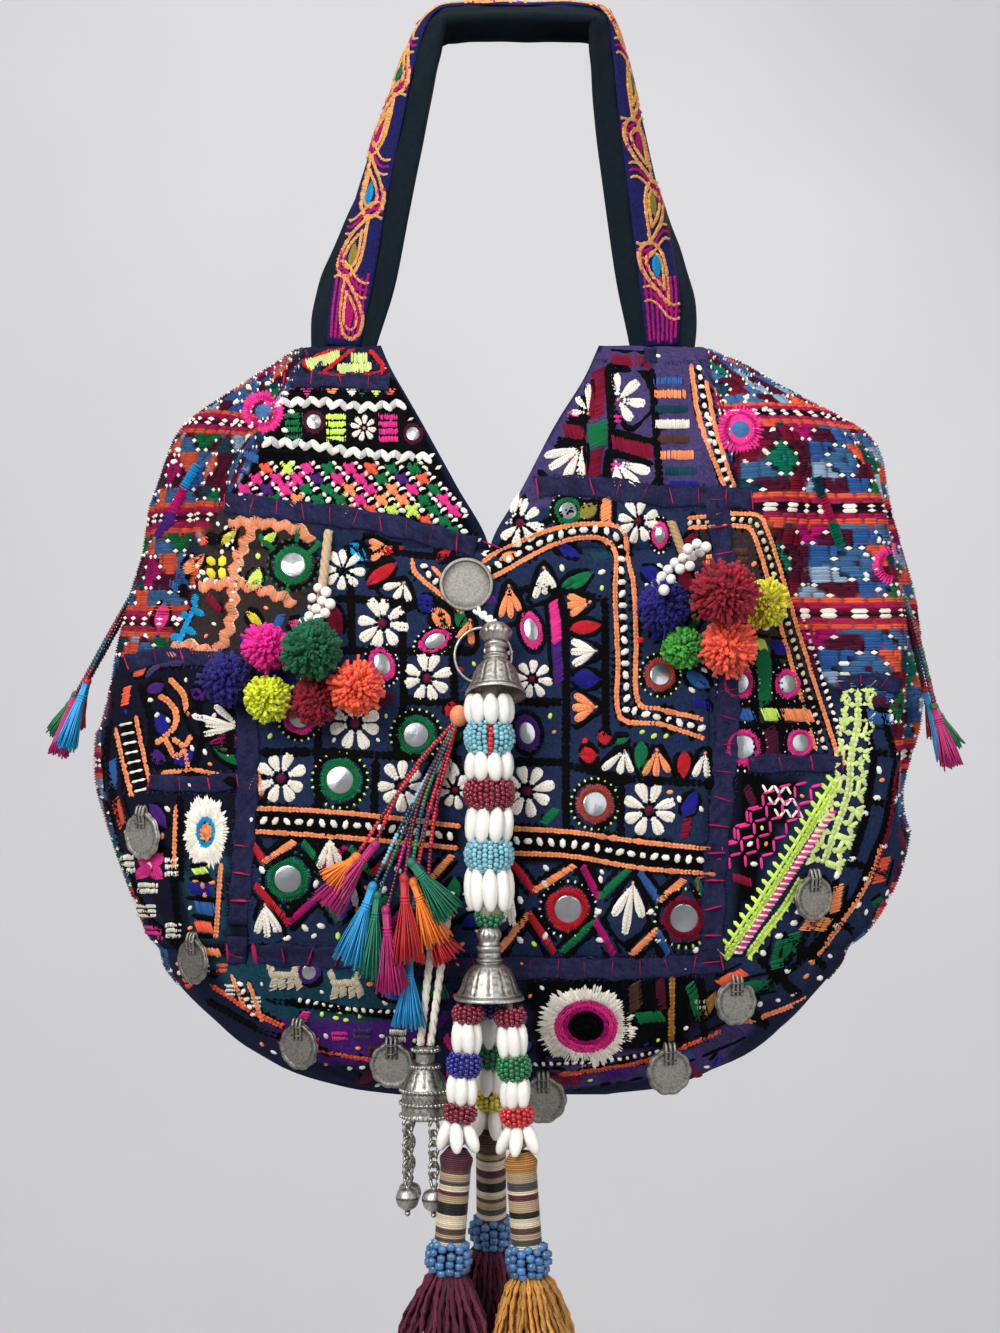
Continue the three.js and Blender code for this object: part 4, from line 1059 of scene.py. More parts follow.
def strand_frame(strand):
    """Moves points of a lower strand, with Z down from the bell's mouth, to where the strand hangs."""
    place = DROP_AXIS + np.array([strand.x, strand.y, LOWER_BELL_Z - LOWER_BELL_LENGTH - strand.drop])

    def moved(points):
        leaning = turned(np.asarray(points, float), about_y=strand.lean)
        return turned(leaning, about_x=strand.pitch) + place

    return moved


def add_lower_strand(strand):
    """One strand: seed rings between sheaves of beads, a wrapped handle with a collar, and a tassel."""
    moved = strand_frame(strand)
    rings, beads = Pile(), Pile()
    core, faces, _ = lathe([(0.1, 5.8), (1.6, 5.8), (1.6, -2.2), (4, -5), (4, -66), (0.1, -68.5)], sides=12)
    rings.add(moved(core) * MM, faces, TINT["cream"] * 0.4)
    z, ring = -2.2, 0
    for tier in LOWER_TIERS:
        if tier.kind == "bone":
            splay = 3.0 if tier is LOWER_TIERS[-1] else 0.0
            bone_tier(beads, moved, z + 0.8, tier.height + 1.6, tier.radius, count=5, bead=3.3, spread=splay)
        else:
            seed_ring(rings, moved, z, tier.height, tier.radius, TINT[strand.rings[ring]], seed=1.25)
            ring += 1
        z -= tier.height
    rings.make(f"{strand.name}_seed_rings", SEED_GLASS, "beads")
    beads.make(f"{strand.name}_bone_beads", BONE, "beads", (f"{strand.name}_bead_strand",))
    add_handle(strand, moved)
    add_yarn_tassel(strand, moved)


HANDLE_BANDS = ["cream", "brown", "sand", "slate", "cream", "wine", "sand", "black"]


def add_handle(strand, moved):
    """A knob and a grip wrapped with bands of thread, ending in a collar of blue seed beads."""
    pile = Pile()
    h = HANDLE
    pitch = 0.9
    levels = np.arange(h.top, h.collar_top + 2, pitch)
    stations = [h.top, h.top + 4, h.top + h.knob_high, h.collar_top + 2]
    shape = np.interp(levels, stations, [0.62 * h.knob, h.knob, h.grip, h.grip])
    turn = np.linspace(0, 2 * np.pi, 17)
    edges = h.top + np.cumsum(rng.uniform(1.6, 6.0, 24))
    for z, radius in zip(levels, shape):
        band = HANDLE_BANDS[int(np.searchsorted(edges, z)) % len(HANDLE_BANDS)]
        if z < h.top + h.knob_high:
            band = strand.knob
        path = np.stack([(radius - 0.45) * np.cos(turn), (radius - 0.45) * np.sin(turn), 0 * turn - z], -1)
        pile.tube(moved(path), radius=0.52, sides=4, tint=TINT[band] * rng.uniform(0.75, 1.1))
    profile = [(0.1, -h.top), (5, -h.top - 0.3), (6.2, -h.top - 6), (6.2, -h.end + 1), (0.1, -h.end + 1)]
    core, faces, _ = lathe(profile, sides=20)
    pile.add(moved(core) * MM, faces, TINT["brown"] * 0.5)
    pile.make(f"{strand.name}_handle_wrap", SILK, "wrapped_thread", (f"{strand.name}_wrapped_handle",))
    collar = Pile()
    seed_ring(collar, moved, -h.collar_top, h.end - h.collar_top, h.collar, TINT["steel"], seed=2.2)
    collar.make(f"{strand.name}_collar_beads", SEED_GLASS, "beads")


GOLDEN_TURN = math.pi * (3 - math.sqrt(5))
YARN_CORDS, YARN_POINTS = 84, 15
YARN_RADIUS, PLY_OFFSET = 0.95, 0.6


def add_yarn_tassel(strand, moved):
    """Plied wool cords hanging from under the collar, bowed outwards, wavy and cut a little unevenly."""
    t = TASSEL
    share = np.linspace(0, 1, YARN_POINTS)
    spot = (np.arange(YARN_CORDS) + 0.5) / YARN_CORDS
    reach = np.sqrt(spot)
    length = (t.end - t.top) * rng.uniform(0.9, 1.0, YARN_CORDS)
    spread = np.interp(share, [0, 0.1, 0.45, 1], [0.7 * t.neck, 1.4 * t.neck, 1.15 * t.flare, 1.25 * t.flare])
    drift = lambda size, pace: size * np.sin(pace * share[None] + rng.uniform(0, 6, (YARN_CORDS, 1)))
    radial = reach[:, None] * spread[None] + (drift(2.2, 9) + drift(1.4, 19)) * share[None] ** 0.5
    angle = GOLDEN_TURN * np.arange(YARN_CORDS)[:, None] + (drift(0.22, 7) + drift(0.16, 17)) * share[None]
    z = -t.top + 2 - length[:, None] * share[None]
    middle = np.stack([radial * np.cos(angle), radial * np.sin(angle), z], -1)
    pile = Pile()
    shade = TINT[strand.yarn] * rng.uniform(0.75, 1.7, (YARN_CORDS, 1))
    radii = np.full((YARN_CORDS, YARN_POINTS), YARN_RADIUS)
    twist = 34 * share[None] + rng.uniform(0, 6, (YARN_CORDS, 1))
    for phase in (0, np.pi):
        ply = PLY_OFFSET * np.stack([np.cos(twist + phase), np.sin(twist + phase), 0 * twist], -1)
        pile.tubes(moved(middle + ply) * MM, radii * MM, sides=3, tint=shade)
    slot = "yarn_ochre" if strand.yarn == "ochre" else "yarn_maroon"
    pile.make(f"{strand.name}_tassel_yarn", WOOL, slot, (f"{strand.name}_yarn_tassel",))


# The jhumka

JHUMKA = SimpleNamespace(x=-37, y=-75, z=-505, radius=11.6, height=33)
JHUMKA_GROOVES = [(-3, 0.5), (-7.6, 0.5), (-21, 0.4), (-25.6, 0.4), (-27, 0.4)]  # height and width
CORD_DIAMETER = 4.0
JHUMKA_CORDS = table("name start_x start_z end_x", [
    ("left_jhumka_cord", -31.5, -433, -39.4), ("right_jhumka_cord", -25, -433, -34.6),
])
BALL_PROFILE = [
    (0.1, -30.4), (1.2, -30.8), (1.6, -31.6), (4.3, -32.8), (5.4, -35.4), (5.65, -36.5), (5.4, -37.6),
    (4.3, -40.4),
    (1.8, -42.2), (1.2, -43), (1.4, -44), (0.6, -45), (0.1, -45),
]
CHAIN_LINKS = 6
BEADED_RINGS = table("z radius count", [
    (-1.5, 6.1, 18), (-9.4, 6.5, 20), (-20.2, 11.7, 34), (-26.2, 11.7, 34), (-32.2, 11.6, 34),
])
BALLS = table("name turn", [("front_ball_drop", -65), ("side_ball_drop", -145), ("rear_ball_drop", 140)])


def add_jhumka():
    """A domed bell with beaded rings and a pierced skirt, on two twisted cords, with three ball drops."""
    j = JHUMKA
    place = np.array([j.x, j.y, j.z])
    profile = smooth_line([
        (0.3, -0.2), (5, -0.2), (6.2, -1.5), (4.7, -3), (4.5, -5), (4.7, -7.4), (6.5, -8.8), (6.3, -10.2),
        (8, -12.5),
        (9.8, -16), (11, -19), (11.9, -20.2), (11.3, -21.5), (11.2, -25), (11.9, -26.2), (11.3, -27.4),
        (11.2, -31.4),
        (11.8, -32.4), (11.2, -33), (9.6, -33), (9.4, -22), (6, -14), (0.3, -12.5),
    ], 4)

    def groove(turn, line):
        z = line[:, 1:]
        lobe = np.abs(np.sin(6 * turn))
        veins = 0.7 * near(np.sin(2.2 * z + 2 * lobe), 0, 0.35)
        dome = np.maximum(near(lobe, 0, 0.24), veins) * ((z < -10.5) & (z > -19))
        mesh = np.maximum(*(near(np.sin(9 * turn + slant * z), 0, 0.3) for slant in (0.55, -0.55)))
        band = mesh * (((z < -21.4) & (z > -25.2)) | ((z < -27.2) & (z > -31.6)))
        neck = sum(near(z, level, width) for level, width in JHUMKA_GROOVES)
        return np.clip(np.maximum(dome, band) + neck, 0, 1) * (np.arange(len(line)) < 72)[:, None]

    points, faces, shade = lathe(profile, sides=72, groove=groove, depth=0.04)
    bell = Pile()
    bell.add((points + place) * MM, faces, shade)
    for ring in BEADED_RINGS:
        places = np.column_stack([ring.radius * circle(turns(ring.count)),
                                  np.full(ring.count, ring.z)]) + place
        bell.stamps(SEED, places * MM, np.broadcast_to(np.eye(3) * MM, (ring.count, 3, 3)), TINT["silver"])
    bell = bell.make("jhumka_dome", SILVER, "old_silver", ("jhumka_bell",))
    drops = [add_ball_drop(drop, place) for drop in BALLS]
    for cord in JHUMKA_CORDS:
        add_jhumka_cord(cord, [bell] + drops)


def add_ball_drop(drop, place):
    """A short chain of wire links that turn by a quarter, with a ball that has a seam and a nib."""
    j = JHUMKA
    angle = math.radians(drop.turn)
    out = j.radius - 1.7
    top = place + np.array([out * math.cos(angle), out * math.sin(angle), -j.height - 0.3])
    pile = Pile()
    turn = np.linspace(0, 2 * np.pi, 17)
    for i in range(CHAIN_LINKS):
        link = np.stack([2.5 * np.cos(turn), 0 * turn, 3.5 * np.sin(turn)], -1)
        path = turned(link, about_z=35 + 90 * (i % 2)) + top + np.array([0, 0, -3.2 - 4.9 * i])
        pile.tube(path, radius=0.85, sides=6, tint=TINT["silver"] * 0.8)
    profile = smooth_line(BALL_PROFILE, 4)
    seam = lambda turn, line: near(line[:, 1:], -36.5, 0.5) + near(line[:, 1:], -42.4, 0.5) + 0 * turn
    points, faces, shade = lathe(profile, sides=32, groove=seam, depth=0.03)
    pile.add((points + top) * MM, faces, shade)
    return pile.make(f"{drop.name}_chain", SILVER, "old_silver", (drop.name,))


def add_jhumka_cord(cord, carried):
    """A twisted cotton cord from the cloth to the jhumka's crown."""
    j = JHUMKA
    start = front_point(cord.start_x, cord.start_z, CORD_DIAMETER / 2 + 0.3)
    end = np.array([cord.end_x, j.y, j.z + 0.3])
    path = start + (end - start) * np.linspace(0, 1, 30)[:, None]
    pile = Pile()
    pile.cord(path, twist=30, offset=0.95, radius=1.05, sides=8, tint=TINT["white"])
    piece = pile.make(f"{cord.name}_plies", COTTON, "cotton", (cord.name,))
    length = float(np.linalg.norm(end - start)) * MM
    facts = dict(length=length, diameter=CORD_DIAMETER * MM, stiffness="limp", lay="hanging")
    route = [tuple(point) for point in path * MM]
    if cord is JHUMKA_CORDS[0]:
        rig.cord(piece, exit=route[0], far_end="fitting", path=route, with_pieces=carried, **facts)
    else:
        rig.cord(piece, exit=route[-1], far_end="object", path=route[::-1], **facts)


def front_point(x, z, off):
    """A point in front of the cloth at x and z, in millimetres."""
    row = row_at(z)
    side = -1.0 if x < CENTRE_X else 1.0
    along = np.linspace(0, 0.5, 400)
    ring = skin(side, along, row + 0 * along)
    y = np.interp(abs(x - CENTRE_X), np.abs(ring[:, 0] - CENTRE_X), ring[:, 1])
    return np.array([x, y - off, z], float)


# Pompoms

POMPOMS = table("cluster yarn tint", [
    ("left", "crimson", srgb(140, 14, 40)), ("left", "navy", srgb(30, 20, 110)),
    ("left", "lime", srgb(206, 214, 40)), ("left", "coral", srgb(246, 96, 66)),
    ("left", "pink", srgb(236, 30, 150)), ("left", "green", srgb(4, 92, 56)),
    ("right", "grass", srgb(66, 158, 54)), ("right", "yellow", srgb(214, 204, 52)),
    ("right", "navy", srgb(28, 20, 116)), ("right", "coral", srgb(246, 96, 70)),
    ("right", "crimson", srgb(146, 16, 42)),
])
POMPOM_STRANDS = 580


def ball_rays(count):
    """Directions spread evenly over a ball."""
    height = 1 - 2 * (np.arange(count) + 0.5) / count
    turn = GOLDEN_TURN * np.arange(count)
    wide = np.sqrt(1 - height ** 2)
    return np.stack([wide * np.cos(turn), wide * np.sin(turn), height], -1)


def add_pompoms():
    """Balls of cut yarn: strands from the middle, bent a little and trimmed unevenly."""
    for row in POMPOMS:
        node = f"{row.cluster}_{row.yarn}_pompom"
        low, high = np.array(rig.box(node))
        centre, radius = (low + high) / 2, (high - low).max() / 2
        rays = unit(ball_rays(POMPOM_STRANDS) + rng.normal(0, 0.09, (POMPOM_STRANDS, 3)))
        bend = rng.normal(0, 0.16, (POMPOM_STRANDS, 3)) * radius
        reach = radius * rng.uniform(0.86, 1.05, (POMPOM_STRANDS, 1))
        halfway = centre + rays * 0.74 * reach + 0.2 * bend
        paths = np.stack([centre + rays * 0.5 * radius, halfway, centre + rays * reach + 0.6 * bend], 1)
        shade = row.tint * rng.uniform(0.6, 1.4, (POMPOM_STRANDS, 1))
        radii = np.array([0.6, 1.0, 1.1]) * MM * rng.uniform(0.75, 1.2, (POMPOM_STRANDS, 1))
        pile = Pile()
        pile.tubes(paths, radii, sides=3, tint=shade)
        # A core of the same yarn, darkened, as painted shade deep inside the ball
        points, faces = ball(8, 12)
        pile.add(centre + points * 0.78 * radius, [np.array(group) for group in faces], row.tint * 0.45)
        pile.make(f"{node}_yarn", WOOL, f"yarn_{row.yarn}", (node,))


POMPOM_STEMS = table("node start_x start_z end_x end_z tint", [
    ("left_pompom_stem", -84, -262, -88, -303, srgb(196, 168, 132)),
    ("right_pompom_stem", 80, -258, 88, -281, srgb(176, 140, 96)),
])
STEM_RADIUS = 2.4
STEM_BEADS = {  # pixels of the white beads beside each stem
    "left": [
        (318, 588), (326, 592), (312, 598), (322, 601), (330, 604), (316, 609), (325, 613), (309, 616),
        (318, 619),
        (303, 622), (312, 626), (299, 630),
    ],
    "right": [
        (668, 570), (675, 563), (683, 558), (692, 556), (700, 552), (662, 577), (656, 584), (688, 549),
        (697, 544),
        (706, 547), (680, 569), (690, 566), (671, 579), (664, 590),
    ],
}
BEAD_YARNS = {"left": ("green", "pink"), "right": ("crimson", "navy")}  # pompoms that the beads reach


def spot(px, py, y):
    """The point at depth y, in millimetres, that the camera sees at a pixel."""
    ray = pixel_ray(px, py)
    return CAMERA_PLACE + ray * ((y - CAMERA_PLACE[1]) / ray[1])


def add_pompom_stems():
    """Thread-wrapped stems and the white beads between them and the pompoms."""
    for stem in POMPOM_STEMS:
        low, _ = box_of(stem.node)
        share = np.linspace(0, 1, 26)[:, None]
        start, end = np.array([stem.start_x, stem.start_z]), np.array([stem.end_x, stem.end_z])
        flat = start + (end - start) * share
        route = np.array([front_point(x, z, off=0) for x, z in flat])
        route[:, 1] += low[1] - route[:, 1].min() + STEM_RADIUS
        pile = Pile()
        pile.cord(route, twist=20, offset=1.05, radius=1.3, sides=7, tint=stem.tint)
        pile.make(f"{stem.node}_wrap", COTTON, "cotton", (stem.node,))
        pile = Pile()
        cluster = stem.node.split("_")[0]
        beads = STEM_BEADS[cluster]
        front = min(box_of(f"{cluster}_{yarn}_pompom")[0][1] for yarn in BEAD_YARNS[cluster])
        for k, (px, py) in enumerate(beads):
            y = low[1] - 1.5 + (front - low[1]) * 0.55 * (k / len(beads)) + rng.uniform(-1, 1)
            place = spot(px, py, y)
            pile.stamps(OVAL, place[None] * MM, np.eye(3)[None] * 2.5 * MM * rng.uniform(0.9, 1.1),
                        TINT["bone"])
        pile.make(f"{cluster}_pompom_beads", BONE, "beads")


# Thread tassels on strings of seed beads

THREADS = 60


def thread_tassel(silk, head, tail, tint, flare=5.4):
    """A silky tassel: a bound head and threads that open towards their cut ends."""
    along = tail - head
    length = np.linalg.norm(along)
    axis = along / length
    side = unit(np.cross(axis, np.array([0.2, 1.0, 0.1])))
    other = np.cross(axis, side)
    turn = GOLDEN_TURN * np.arange(THREADS)[:, None]
    reach = np.sqrt((np.arange(THREADS) + 0.5) / THREADS)[:, None]
    share = np.linspace(0, 1, 5)[None]
    spread = np.interp(share, [0, 0.15, 0.25, 1], [1.7, 2.0, 1.7, flare])
    wave = 0.5 * np.sin(5 * share + rng.uniform(0, 6, (THREADS, 1))) * share
    radial = reach * spread + wave
    out = radial[..., None] * (np.cos(turn)[..., None] * side + np.sin(turn)[..., None] * other)
    far = length * rng.uniform(0.88, 1.0, (THREADS, 1))
    paths = head + axis * (far * share)[..., None] + out
    paths[:, :, 2] -= 1.5 * share ** 2
    shade = tint * rng.uniform(0.7, 1.3, (THREADS, 1))
    silk.tubes(paths * MM, np.full(paths.shape[:2], 0.48 * MM), sides=3, tint=shade)
    points, faces = ball(6, 10)
    frame = np.stack([side * 2.3, other * 2.3, axis * 2.6], -1)
    silk.stamps((points, faces), (head - axis * 0.6)[None] * MM, frame[None] * MM, tint * 0.8)
    turn = np.linspace(0, 2 * np.pi, 13)
    for at in (0.2, 0.24, 0.28):
        out = np.cos(turn)[:, None] * side + np.sin(turn)[:, None] * other
        ring = head + axis * (at * length) + 2.1 * out
        silk.tube(ring, radius=0.4, sides=5, tint=tint * 1.2)


def bead_string(beads, path, tints, size=1.15):
    """Seed beads threaded on a line, in runs of colour."""
    points, _ = along_path(path, step=1.75)
    count = len(points)
    runs = np.arange(count) // 9
    shade = np.array([tints[run % len(tints)] for run in runs]) * rng.uniform(0.75, 1.25, (count, 1))
    beads.stamps(SEED, points * MM, np.eye(3)[None] * size * MM * rng.uniform(0.88, 1.1, (count, 1, 1)),
                 shade)


def along_path(path, step):
    reach = lengths_along(path)
    at = np.arange(0, reach[-1], step)
    return np.stack([np.interp(at, reach, path[:, i]) for i in range(3)], -1), reach[-1]


BUNCH_KNOT = (459, 716)
BUNCH_FLARE = 8.6
BUNCH = table("tint head tail off string", [
    ("marigold", (355, 858), (331, 882), 11, ("red", "wine")),
    ("magenta", (374, 846), (325, 906), 10, ("maroon", "red")),
    ("sky", (372, 888), (347, 962), 13, ("turquoise", "teal")),
    ("emerald", (377, 897), (369, 977), 12, ("green", "teal")),
    ("magenta", (386, 912), (393, 992), 15, ("magenta", "wine")),
    ("red", (404, 880), (408, 962), 16, ("maroon", "wine")),
    ("marigold", (414, 884), (438, 942), 15, ("red", "maroon")),
    ("emerald", (412, 864), (453, 914), 17, ("green", "teal")),
    ("red", (425, 918), (450, 957), 14, ("maroon", "red")),
    ("sky", (409, 962), (409, 1026), 14, ("teal", "turquoise")),
])


def add_bunch():
    """The bunch beside the drop: strings of seed beads from one orange knot, each ending in a tassel."""
    silk, beads = Pile(), Pile()

    def hang(px, py, off):
        guess = spot(px, py, -75.0)
        for _ in range(3):
            guess = spot(px, py, front_point(guess[0], guess[2], off)[1])
        return guess

    knot = hang(*BUNCH_KNOT, 4.6)
    points, faces = ball(8, 12)
    silk.stamps((points, faces), knot[None] * MM, np.diag([4.4, 3.6, 5.2])[None] * MM, TINT["orange"] * 0.9)
    for row in BUNCH:
        head = hang(*row.head, row.off)
        tail = spot(*row.tail, head[1] + 1.0)
        middle = 0.5 * (knot + head) + np.array([-4.0 + rng.uniform(-2, 2), 0, rng.uniform(-6, 2)])
        middle[1] = front_point(middle[0], middle[2], 0.6 * row.off)[1]
        path = smooth_line([knot, middle, head], 14)
        bead_string(beads, path, [TINT[tint] for tint in row.string])
        thread_tassel(silk, head, tail, TINT[row.tint], BUNCH_FLARE)
    silk.make("tassel_bunch_thread", SILK, "silk_thread", ("tassel_bunch",))
    beads.make("tassel_bunch_beads", SEED_GLASS, "beads")


SIDE_STEM = SimpleNamespace(off=10.2, top=2.8, end=4.2)
SIDE_TASSELS = table("shift row off length spread twin tints", [
    (-0.012, 5.9, 15, 32, 10, 7, ("sky", "red")), (0.012, 6.1, 17, 28, 8, 11, ("magenta", "green")),
])
STEM_WRAPS = ("turquoise", "turquoise", "magenta", "purple", "magenta", "purple", "orange")
SIDE_STRINGS = [("maroon", "teal"), ("wine", "green"), ("teal", "maroon")]
TASSEL_FLARE = 5.6


def off_skin(along, row, off, side):
    return skin(side, along, row) + skin_normal(side, np.asarray(along, float), np.asarray(row, float)) * off


def add_side_bunches():
    """A wrapped stem in each pleat, with bead strings over the bulge below it and four tassels."""
    for word, side in (("left", -1.0), ("right", 1.0)):
        node = f"{word}_side_tassels"
        rows = np.linspace(SIDE_STEM.top, SIDE_STEM.end, 40)
        stem = np.array([off_skin(PLEAT, row, SIDE_STEM.off, side) for row in rows])
        heads = [off_skin(PLEAT + t.shift, t.row, t.off, side) for t in SIDE_TASSELS]
        outer = max(side * (head[0] + side * t.spread) for head, t in zip(heads, SIDE_TASSELS)) + TASSEL_FLARE
        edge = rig.box(node)[1][0] if side > 0 else -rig.box(node)[0][0]
        shift = np.array([side * (edge / MM - outer), 0, 0])
        silk, beads = Pile(), Pile()
        for k in range(len(stem) - 1):
            turn = np.linspace(0, 2 * np.pi, 13)
            axis = unit(stem[k + 1] - stem[k])
            a = unit(np.cross(axis, np.array([0.0, 1.0, 0.0])))
            b = np.cross(axis, a)
            ring = stem[k] + shift + 2.7 * (np.cos(turn)[:, None] * a + np.sin(turn)[:, None] * b)
            tint = TINT[STEM_WRAPS[int(k / len(stem) * len(STEM_WRAPS))]] * rng.uniform(0.85, 1.1)
            silk.tube(ring, radius=0.75, sides=6, tint=tint)
        for t, head in zip(SIDE_TASSELS, heads):
            half = off_skin(PLEAT, (SIDE_STEM.end + t.row) / 2, 0.8 * t.off, side)
            for k in range(len(SIDE_STRINGS)):
                jitter = np.array([rng.uniform(-1.2, 1.2), 2.2 * (k - 1), 0])
                path = smooth_line([stem[-1] + shift, half + shift + jitter, head + shift + 0.6 * jitter], 12)
                bead_string(beads, path, [TINT[name] for name in SIDE_STRINGS[k]])
            tails = (side * t.spread, -6, -t.length), (side * t.twin, 3, -2 / 3 * t.length)
            for tail, tint in zip(tails, t.tints):
                thread_tassel(silk, head + shift, head + shift + tail, TINT[tint])
        silk.make(f"{word}_side_thread", SILK, "silk_thread", (node,))
        beads.make(f"{word}_side_beads", SEED_GLASS, "beads")


# Charts: flat coordinates that lie on the cloth


def wall_tree():
    """The outer faces of all walls, for casting rays onto them."""
    points, faces, count = [], [], 0
    for outer, closed_ring, inside_out in outer_grids:
        rows, columns = outer.shape[:2]
        for j in range(rows - 1):
            for i in range(columns if closed_ring else columns - 1):
                after = (i + 1) % columns
                low, high = count + j * columns, count + (j + 1) * columns
                face = (low + i, high + i, high + after, low + after)
                faces.append(face[::-1] if inside_out else face)
        points.append(outer.reshape(-1, 3))
        count += rows * columns
    return BVHTree.FromPolygons(np.concatenate(points).tolist(), faces)


class PhotoChart:
    """Pixels of the photograph laid on the cloth that faces the camera, or on the cloth behind it."""

    step = 4
    left, right, top, base = 60, 964, 320, 1120
    widest_cell = 0.016
    steepest = 0.16

    def __init__(self, tree, behind=False):
        self.u = np.arange(self.left, self.right, self.step)
        self.v = np.arange(self.top, self.base, self.step)
        turn = np.array([1.0, -1.0 if behind else 1.0, 1.0])
        eye = Vector(CAMERA_PLACE * MM * turn)
        self.points = np.full((len(self.v), len(self.u), 3), np.nan)
        self.normals = np.full_like(self.points, np.nan)
        for j, v in enumerate(self.v):
            for i, u in enumerate(self.u):
                ray = unit(pixel_ray(u, v) * turn)
                hit, normal, _, _ = tree.ray_cast(eye, Vector(ray))
                if hit is None:
                    continue
                normal = np.array(normal)
                if normal @ ray < -self.steepest:
                    self.points[j, i], self.normals[j, i] = hit, normal

    def at(self, places):
        """Points and normals of the cloth at (n, 2) pixels, and which of them lie on it."""
        f = (np.asarray(places, float) - [self.u[0], self.v[0]]) / self.step
        k = np.floor(f).astype(int)
        limits = [len(self.u) - 2, len(self.v) - 2]
        inside = np.all((k >= 0) & (k <= limits), axis=1)
        i, j = np.clip(k, 0, limits).T
        f = np.clip(f - k, 0, 1)
        x, y = f.T
        weights = [(1 - x) * (1 - y), x * (1 - y), (1 - x) * y, x * y]
        corners = [(j, i), (j, i + 1), (j + 1, i), (j + 1, i + 1)]
        points = sum(w[:, None] * self.points[c] for w, c in zip(weights, corners))
        normals = unit(sum(w[:, None] * self.normals[c] for w, c in zip(weights, corners)))
        spread = np.linalg.norm(self.points[corners[0]] - self.points[corners[3]], axis=1)
        ok = inside & np.isfinite(points).all(axis=1) & (spread < self.widest_cell)
        return points, normals, ok


def pixel_ray(u, v):
    return np.array([
        (u - PHOTO_SIZE[0] / 2) * MM_PER_PIXEL, -CAMERA_PLACE[1], -(v - PHOTO_SIZE[1] / 2) * MM_PER_PIXEL
    ])


class SkinChart:
    """Millimetres round one half ring of the body, and millimetres down it."""

    def __init__(self, side):
        self.side = float(side)
        rows = np.linspace(0, LAST_ROW, 400)
        line = skin(self.side, 0.4 + 0 * rows, rows)
        self.rows, self.lengths = rows, lengths_along(line)

    def at(self, places):
        places = np.asarray(places, float)
        along = places[:, 0] / RING_LENGTH
        row = np.interp(places[:, 1], self.lengths, self.rows)
        ok = (along > 0.0) & (along < 1.0) & (places[:, 1] > 1) & (places[:, 1] < self.lengths[-1] - 1)
        return cloth(self.side, along, row), skin_normal(self.side + 0 * along, along, row), ok


class StrapChart:
    """Millimetres along the strap, and across it, on its embroidered strip."""

    def __init__(self):
        places = np.linspace(0, 1, 500)
        points, _ = strap_point(places, 0 * places, rise=0.0)
        self.places = places
        self.lengths = lengths_along(points) / MM

    def at(self, places):
        places = np.asarray(places, float)
        place = np.interp(places[:, 0], self.lengths, self.places)
        rise = STRAP_THICK / 2 + TRIM_GAP + TRIM_THICK
        points, normals = strap_point(place, places[:, 1] / STRAP_HALF, rise + 0 * place)
        ok = (place > TRIM_END) & (place < 1 - TRIM_END) & (np.abs(places[:, 1]) < TRIM_SHARE * STRAP_HALF)
        return points, normals, ok


# Stitches

STRANDS_PER_PIECE = 11000
SHORTEST, LONGEST = 0.0003, 0.03  # metres; other stitches are left out
TAPE_PROFILE = [  # across and above the cloth
    (-1, -0.5), (-1, 0.7), (-0.8, 1.15), (-0.4, 1.0), (0, 0.95), (0.4, 1.0), (0.8, 1.15), (1, 0.7), (1, -0.5),
]
BACKED_CHAIN = 2.6  # chain stitches wider than this lie on a flat cord
GLASS_DISC = lathe([(0.01, 0.3), (0.86, 0.3), (1, 0.1), (1, -0.4), (0.01, -0.4)], sides=20)[:2]


def along_line(path, step):
    """Points and directions at even steps on a polyline."""
    path = np.asarray(path, float)
    reach = lengths_along(path)
    count = max(2, round(reach[-1] / step) + 1)
    at = np.linspace(0, reach[-1], count)
    points = np.stack([np.interp(at, reach, path[:, 0]), np.interp(at, reach, path[:, 1])], -1)
    return points, unit(np.gradient(points, axis=0))


def side_of(ahead):
    return np.stack([-ahead[..., 1], ahead[..., 0]], -1)


